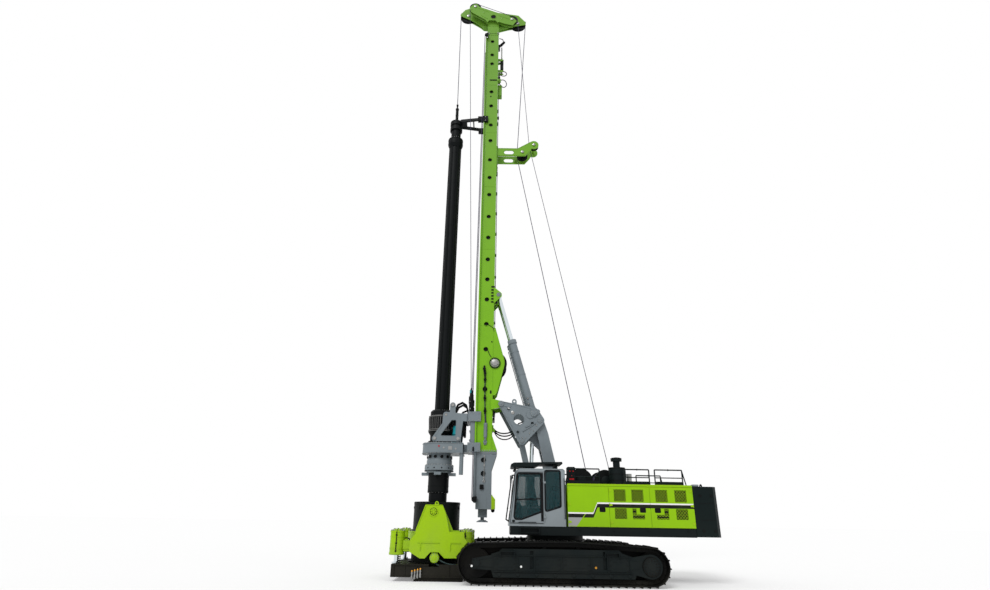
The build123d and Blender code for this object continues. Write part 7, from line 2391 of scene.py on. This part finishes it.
# ---- drive and kelly -----------------------------------------------------------------------------
@dataclass
class Drive(Builder):
    """Bolts, hoses, damper, hook and kelly fittings.

    Attributes:
        centre: X of the kelly's axis.
    """

    BODY = "rotary_drive"
    centre: float = -3.870

    def steps(self) -> Sequence[Callable[[], None]]:
        """Gearbox, motors, carriage, sleeve, hook, kelly and guide."""
        return (self.gearbox, self.motors, self.carriage, self.sleeve, self.hook, self.kelly,
                self.guide_frame, self.guide)

    def gearbox(self) -> None:
        """Bolts on the gearbox's rims and cone, its plugs and the red mark."""
        c = self.centre
        angles = [math.pi / 2 + math.pi * k / 20 for k in range(21)]
        half = [(c + 0.578 * math.cos(a), 0.578 * math.sin(a)) for a in angles]
        rows = [[(x, y, 4.100) for x, y in half],
                [(x, y, 4.100) for y in (-0.565, 0.565) for x in (-3.75, -3.60, -3.45)]]
        bolts("gearbox_rim_bolts", self.BODY, rows, "Z", 0.030, 0.022)
        bolts("gearbox_under_bolts", self.BODY, [[(x, y, 3.770) for x, y in half]], "-Z", 0.030, 0.022)
        bolts("gearbox_cone_bolts", self.BODY, [circle((c, 0, 3.392), "Z", 0.462, 28)], "Z", 0.028, 0.03)
        # The discs are dark patches set at the gearbox's recesses: painted shade in those recesses.
        dark = Shape()
        for k in range(12):
            a = math.tau * (k + 0.5) / 12
            ca, sa = math.cos(a), math.sin(a)
            dark.lathe((c + 0.420 * ca, 0.420 * sa, 3.66), (c + 0.4335 * ca, 0.4335 * sa, 3.66),
                       ((0, 0.052), (1, 0.050)), 14)
            dark.lathe((c + 0.470 * ca, 0.470 * sa, 3.30), (c + 0.4885 * ca, 0.4885 * sa, 3.30),
                       ((0, 0.026), (1, 0.024)), 10)
        dark.ring((c, 0, 3.205), (c, 0, 3.225), 0.492, 0.484, 60)
        self.show(dark, "gearbox_recesses", Paint.DARK)
        plugs = Shape()
        plugs.rod((-3.70, -0.602, 3.93), (-3.70, -0.585, 3.93), 0.03, 16).rod((-3.30, -0.592, 3.90),
                                                                              (-3.30, -0.574, 3.90), 0.03, 16)
        plugs.box((-3.55, -0.600, 3.86), (-3.42, -0.575, 3.98), 0.006)
        self.show(plugs.twin(), "gearbox_plugs", Paint.STEEL)
        self.show(Shape().rod((-3.861, -0.612, 3.979), (-3.861, -0.588, 3.979), 0.026, 16), "gearbox_mark",
                  Paint.RED)

    def motors(self) -> None:
        """Hose loops, ports and flanges of the drive motors."""
        hose, dark, band = Shape(), Shape(), Shape()
        for y in (-0.30, -0.20, 0.20, 0.30):
            hose.tube([(-3.386, y, 4.66), (-3.42, y, 5.05), (-3.386, y, 5.240), (-3.30, y * 0.96, 5.42),
                       (-3.148, y * 0.92, 5.501), (-3.01, y * 0.9, 5.42), (-2.942, y * 0.9, 5.20),
                       (-2.925, y * 0.9, 5.163)], 0.031, 10)
        for y in (-0.09, 0.0, 0.09):
            hose.tube([(-3.24, y, 4.68), (-3.22, y, 4.98), (-3.14, y, 5.20), (-3.00, y, 5.26),
                       (-2.90, y, 5.163)], 0.018, 8)
        self.show(hose, "drive_hoses", Paint.RUBBER)
        for y in (-0.25, 0.25):
            band.ring((-3.33, y, 4.165), (-3.33, y, 4.180), 0.158, 0.150, 32)
            band.ring((-3.33, y, 4.37), (-3.33, y, 4.392), 0.143, 0.128, 32)
            band.box((-3.47, y - 0.07, 4.46), (-3.42, y + 0.07, 4.60), 0.01)
        self.show(band, "motor_bands", Paint.DARK)
        dark.box((-3.088, -0.20, 4.35), (-3.00, 0.20, 4.745), 0.02)
        dark.box((-3.088, -0.36, 4.42), (-3.03, -0.22, 4.60), 0.015).box((-3.088, 0.22, 4.42),
                                                                         (-3.03, 0.36, 4.60), 0.015)
        self.show(dark, "drive_valve_block", Paint.DARK)
        rings = [circle((-3.33, y, 4.160), "Z", 0.147, 10) for y in (-0.25, 0.25)]
        bolts("motor_bolts", self.BODY, rings, "Z", 0.024, 0.018)

    def carriage(self) -> None:
        """Pin caps, beads and slide bolts of the carriage."""
        pins = Shape()
        for x, z, r in ((-4.024, 4.231, 0.058), (-3.236, 4.231, 0.058), (-3.456, 5.354, 0.056)):
            pins.lathe((x, -0.573, z), (x, -0.596, z), dome(r, r * 0.7, 0.5), 24)
        pins.lathe((-3.677, -0.530, 5.028), (-3.677, -0.571, 5.028), dome(0.043, 0.03, 0.7), 24)
        self.show(pins.twin(), "carriage_pins", Paint.STEEL)
        bead = Shape()
        bead.frame(((-3.475, 4.845), (-3.325, 4.845), (-3.325, 4.325), (-3.845, 4.325)), 0.028, 0.014, 0.0,
                   -0.566, -0.559)
        bead.tube([(-4.00, -0.561, 4.31), (-3.76, -0.561, 4.72)], 0.009, 6)
        self.show(bead.twin(), "carriage_beads", Paint.GREY)
        rows = [[(x, -0.520, z) for x in (-2.87, -2.75, -2.55) for z in (z0, z1)] for z0,
                z1 in ((3.87, 4.07), (4.88, 5.10))]
        twin_bolts("slide_shoe_bolts", self.BODY, rows, 0.028, 0.016)
        rows = [[(-2.919, y, z) for y in (-0.40, -0.2, 0.2, 0.40) for z in (5.12,)]]
        bolts("carriage_front_bolts", self.BODY, rows, "-X", 0.028, 0.016)

    def sleeve(self) -> None:
        """Damper ribs, bolt ring and wear bands of the turning sleeve."""
        c = self.centre
        rib = Shape()
        for k in range(36):
            a = math.tau * k / 36
            ca, sa = math.cos(a), math.sin(a)
            verts = []
            for z, r in ((4.575, 0.420), (4.975, 0.444)):
                for w in (-0.0035, 0.0035):
                    for out in (-0.004, 0.008):
                        verts.append((c + (r + out) * ca - w * sa, (r + out) * sa + w * ca, z))
            rib.hull(verts, BRICK)
        for z in (4.515, 4.560, 5.000, 5.026):
            rib.ring((c, 0, z), (c, 0, z + 0.010), 0.446, 0.434, 60)
        self.show(rib, "damper_ribs", Paint.STEEL, body="drive_sleeve")
        ring = Shape().ring((c, 0, 5.042), (c, 0, 5.190), 0.3925, 0.386, 60)
        self.show(ring, "sleeve_ring", Paint.DARK, body="drive_sleeve")
        bolts("sleeve_bolts", "drive_sleeve", [circle((c, 0, 5.198), "Z", 0.358, 30)], "Z", 0.028, 0.024)
        bolts("sleeve_skirt_bolts", "drive_sleeve",
              [[(x, y, 2.530) for x, y, _ in circle((c, 0, 0), "Z", 0.326, 18)]], "-Z", 0.02, 0.012)
        band = Shape()
        for z in (2.56, 2.72, 3.02):
            band.ring((c, 0, z), (c, 0, z + 0.030), 0.350, 0.344, 60)
        self.show(band, "sleeve_wear_bands", Paint.KELLY, body="drive_sleeve")

    def hook(self) -> None:
        """Bands, pin and swivel of the auxiliary hook."""
        x, y = -2.850, -0.400
        teal, steel, dark = Shape(), Shape(), Shape()
        teal.ring((x, y, 5.80), (x, y, 5.905), 0.050, 0.044, 28)
        steel.ring((x, y, 5.66), (x, y, 5.675), 0.080, 0.070, 28).ring((x, y, 5.50), (x, y, 5.52), 0.080,
                                                                       0.072, 28)
        steel.rod((x, y - 0.062, 5.235), (x, y + 0.062, 5.235), 0.028, 18)
        dark.lathe((x, y, 5.918), (x, y, 5.99), ((0, 0.030), (0.5, 0.024), (1, 0.014)), 18)
        dark.ring((x, y, 5.675), (x, y, 5.70), 0.062, 0.044, 28)
        self.show(teal, "hook_band", Paint.TEAL)
        self.show(steel, "hook_rings", Paint.STEEL)
        self.show(dark, "hook_socket", Paint.DARK)

    def kelly(self) -> None:
        """Lock strips, weld rings and head bolts of the kelly bar."""
        c = self.centre
        ring = Shape().ring((0, 0, -0.010), (0, 0, 0.010), 0.2395, 0.2345, 48)
        heights = [2.62, 5.9, 8.2, 10.4, 12.6, 14.6, 16.1]
        lay(ring, [(c, 0, z) for z in heights], "kelly_weld_rings", "kelly", Paint.KELLY)
        pocket = Shape()
        for z in (6.6, 9.3, 12.0, 14.7):
            for k in range(6):
                a = math.tau * k / 6 + 0.26
                ca, sa = math.cos(a), math.sin(a)
                verts = [(c + r * ca - w * sa, r * sa + w * ca, z + h) for h in (-0.16, 0.16)
                         for r in (0.230, 0.2362) for w in (-0.020, 0.020)]
                pocket.hull(verts, BRICK)
        self.show(pocket, "kelly_lock_strips", Paint.KELLY, body="kelly")
        head = Shape()
        for z in (16.62, 16.80):
            head.ring((c, 0, z), (c, 0, z + 0.018), 0.318, 0.311, 48)
        self.show(head, "kelly_head_bands", Paint.KELLY, body="kelly")
        bolts("kelly_head_bolts", "kelly", [circle((c, 0, 16.872), "Z", 0.262, 18)], "Z", 0.03, 0.025)
        bolts("kelly_foot_bolts", "kelly", [circle((c, 0, 2.520), "Z", 0.268, 18)], "Z", 0.022, 0.018)

    def guide_frame(self) -> None:
        """Kelly guide, a flat fork on the mast rails with the rope swivel, which stands for the plain one."""
        c = self.centre
        low, cap, top = 17.330, 17.860, 17.800
        shape = Shape().lathe((c, 0, 0), (c, 0, 1), (
            (low, 0.206), (low, 0.262), (low + 0.150, 0.262), (low + 0.158, 0.225), (low + 0.252, 0.225),
            (low + 0.260, 0.262), (top - 0.020, 0.262), (top - 0.012, 0.150), (cap, 0.150),
            (cap + 0.010, 0.062), (cap + 0.730, 0.062), (cap + 0.750, 0.032), (cap + 0.940, 0.032),
            (cap + 0.940, 0.001), (cap - 0.064, 0.001), (cap - 0.064, 0.206), (low, 0.206)), 56)
        arm = ((-3.740, 0.130), (-2.900, 0.296), (-2.900, 0.372), (-3.660, 0.245))
        web = ((-3.720, -0.220), (-3.470, -0.230), (-3.400, -0.120), (-3.400, 0.120), (-3.470, 0.230),
               (-3.720, 0.220))
        shape.plan(web, top - 0.100, top - 0.050)
        shape.box((-3.140, -0.300, top - 0.110), (-3.090, 0.300, top - 0.050), 0.004)
        for s in (-1, 1):
            shape.plan([(x, s * y) for x, y in arm], top - 0.120, top)
            for x0, x1, near, out, z0 in ((-2.919, -2.6865, 0.290, 0.480, top - 0.200),
                                          (-2.700, -2.485, 0.4785, 0.514, top - 0.290),
                                          (-2.628, -2.485, 0.412, 0.482, top - 0.290)):
                y0, y1 = sorted((s * near, s * out))
                shape.box((x0, y0, z0), (x1, y1, top), 0.006)
        piece = self.show(shape, "kelly_guide_frame", Paint.DARK, body="kelly_guide")
        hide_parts("kelly_guide")

    def guide(self) -> None:
        """Bolts, beads and pins of the kelly guide and its swivel."""
        c = self.centre
        rows = [circle((c, 0, 17.780), "Z", 0.205, 18)]
        bolts("guide_ring_bolts", "kelly_guide", rows, "Z", 0.026, 0.02)
        swivel = Shape()
        for z0, z1, r in ((17.90, 17.96, 0.085), (18.20, 18.23, 0.068), (18.52, 18.57, 0.074),
                          (18.74, 18.80, 0.045)):
            swivel.ring((c, 0, z0), (c, 0, z1), r, 0.030 if z0 > 18.6 else 0.060, 28)
        self.show(swivel, "swivel_rings", Paint.DARK, body="kelly_guide")
        rows = [[(-2.60, -0.514, z) for z in (17.56, 17.74)]]
        twin_bolts("guide_shoe_bolts", "kelly_guide", rows, 0.028, 0.016)


SUBASSEMBLIES: tuple[type[Builder], ...] = (FreeHoses, Ropes, Crawlers, Oscillator, Cab, Hood, WinchDeck,
                                            Linkage, Mast, Crown, Deflector, Drive)


# ---- carried-over parts --------------------------------------------------------------------------
NODE_PAINTS: dict[Paint, tuple[str, ...]] = {
    Paint.CHASSIS: ("car_body", "track_frame_left", "track_frame_right", "slew_ring", "upper_frame",
                    "cab_visor", "handrails", "winch_frames", "air_cleaner", "engine_block", "hook_block"),
    Paint.TRACK: ("track_left", "track_right", "track_rollers_left", "track_rollers_right"),
    Paint.BASE: ("oscillator_base",),
    Paint.CHROME: ("lift_rods", "luff_cylinder_rod", "mast_cylinder_rods"),
    Paint.LIME: ("lift_cylinders", "lift_frame", "clamp_collar"),
    Paint.CASING: ("drill_casing",),
    Paint.CAB: ("cab_shell", "cab_door"),
    Paint.TRIM: ("cab_interior",),
    Paint.GLASS: ("door_glass",),
    Paint.HOOD: ("hood_shell",) + tuple(f"hood_door_{s}_{n}" for s in ("left", "right") for n in (1, 2, 3)),
    Paint.WEIGHT: ("counterweight",),
    Paint.GREY: ("boom", "boom_link", "luff_cylinder_barrel", "mast_cradle", "mast_cylinder_barrels",
                 "mast_lower", "drive_carriage", "drive_gearbox"),
    Paint.MAST: ("mast_main", "crown", "rope_deflector"),
    Paint.DARK: ("main_winch_drum", "auxiliary_winch_drum", "crowd_winch_drum", "front_sheave", "rear_sheave",
                 "auxiliary_front_sheave", "auxiliary_rear_sheave", "deflector_sheave",
                 "auxiliary_deflector_sheave", "drive_sleeve", "kelly_guide"),
    Paint.TEAL: ("drive_motors",),
    Paint.KELLY: ("kelly_bar",),
    Paint.RUBBER: ("mast_hoses",),
}


def dress_nodes() -> None:
    """Give every carried-over part its finish."""
    for paint, names in NODE_PAINTS.items():
        for name in names:
            data = FRAME["nodes"][name].data
            data.materials.clear()
            data.materials.append(paint.material)


# ---- studio --------------------------------------------------------------------------------------
@dataclass
class Studio:
    """Floor, light and camera.

    Attributes:
        eye: camera place in the rig's frame.
        tilt: upward tilt of the view, in radians.
        roll: roll of the view, in radians.
        lens: focal length in millimetres on a 36 mm sensor.
        floor_size: half side of the floor in metres.
    """

    eye: Point = (-2.07, -19.56, 1.70)
    tilt: float = 0.388
    roll: float = 0.016
    lens: float = 20.07
    floor_size: float = 400.0

    def camera(self) -> None:
        """Place the camera."""
        data = bpy.data.cameras.new("camera")
        data.lens, data.sensor_width = self.lens, 36.0
        data.clip_start, data.clip_end = 0.1, 2000.0
        eye = bpy.data.objects.new("camera", data)
        place = Matrix.Translation((self.eye[0] + AXIS_X, self.eye[1], self.eye[2]))
        eye.matrix_world = place @ Matrix.Rotation(math.pi / 2 + self.tilt, 4,
                                                   "X") @ Matrix.Rotation(self.roll, 4, "Z")
        bpy.context.scene.collection.objects.link(eye)
        bpy.context.scene.camera = eye

    def seen(self, g: Graph) -> Sock:
        """1 for rays from the eye or off metal and through glass, else 0."""
        first = g.node("ShaderNodeLightPath", out="Is Camera Ray")
        outputs = first.socket.node.outputs
        glossy, through = Sock(g, outputs["Is Glossy Ray"]), Sock(g, outputs["Is Transmission Ray"])
        return first.high(glossy).high(through)

    def sky(self) -> None:
        """White surroundings with a softer light of their own."""
        world = bpy.data.worlds.new("studio")
        bpy.context.scene.world = world
        world.use_nodes = True
        g = Graph(world.node_tree)
        g.tree.nodes.clear()
        strength = self.seen(g) * 0.22 + 0.78
        back = g.node("ShaderNodeBackground", None, {"Color": (1, 1, 1, 1), "Strength": strength})
        out = g.tree.nodes.new("ShaderNodeOutputWorld")
        g.tree.links.new(back.socket, out.inputs["Surface"])

    def lamp(self, name: str, direction: Point, strength: float, angle: float) -> None:
        """Add a soft sun.

        Args:
            name: its name.
            direction: the way its light travels.
            strength: its strength.
            angle: its apparent size in degrees.
        """
        data = bpy.data.lights.new(name, "SUN")
        data.energy, data.angle = strength, math.radians(angle)
        lamp = bpy.data.objects.new(name, data)
        lamp.rotation_euler = Vector(direction).to_track_quat("-Z", "Y").to_euler()
        bpy.context.scene.collection.objects.link(lamp)

    def floor(self) -> None:
        """Lay a plain pale floor that keeps the rig's shadow."""
        s = self.floor_size
        mesh = bpy.data.meshes.new("floor")
        mesh.from_pydata([(-s, -s, 0), (s, -s, 0), (s, s, 0), (-s, s, 0)], [], [(0, 1, 2, 3)])
        g = Surface("floor_white")
        matt = g.node("ShaderNodeBsdfDiffuse", None, {"Color": (0.9, 0.9, 0.9, 1)})
        glow = g.node("ShaderNodeEmission", None, {"Color": (1, 1, 1, 1), "Strength": 1.0})
        share = self.seen(g) * 0.25
        mesh.materials.append(g.close(g.node("ShaderNodeMixShader", None, {0: share, 1: matt, 2: glow})))
        floor = bpy.data.objects.new("floor", mesh)
        bpy.context.scene.collection.objects.link(floor)

    def build(self) -> None:
        """Set up the view, the light and the floor."""
        bpy.context.scene.view_settings.view_transform = "Standard"
        self.camera()
        self.sky()
        self.lamp("key", (0.35, 0.75, -0.75), 1.5, 24)
        self.floor()


def main() -> None:
    """Build every sub-assembly in turn."""
    logging.basicConfig(level=logging.INFO, format="%(message)s")
    Studio().build()
    for part in SUBASSEMBLIES:
        part().build()
    dress_nodes()


if __name__ == "__main__":
    main()
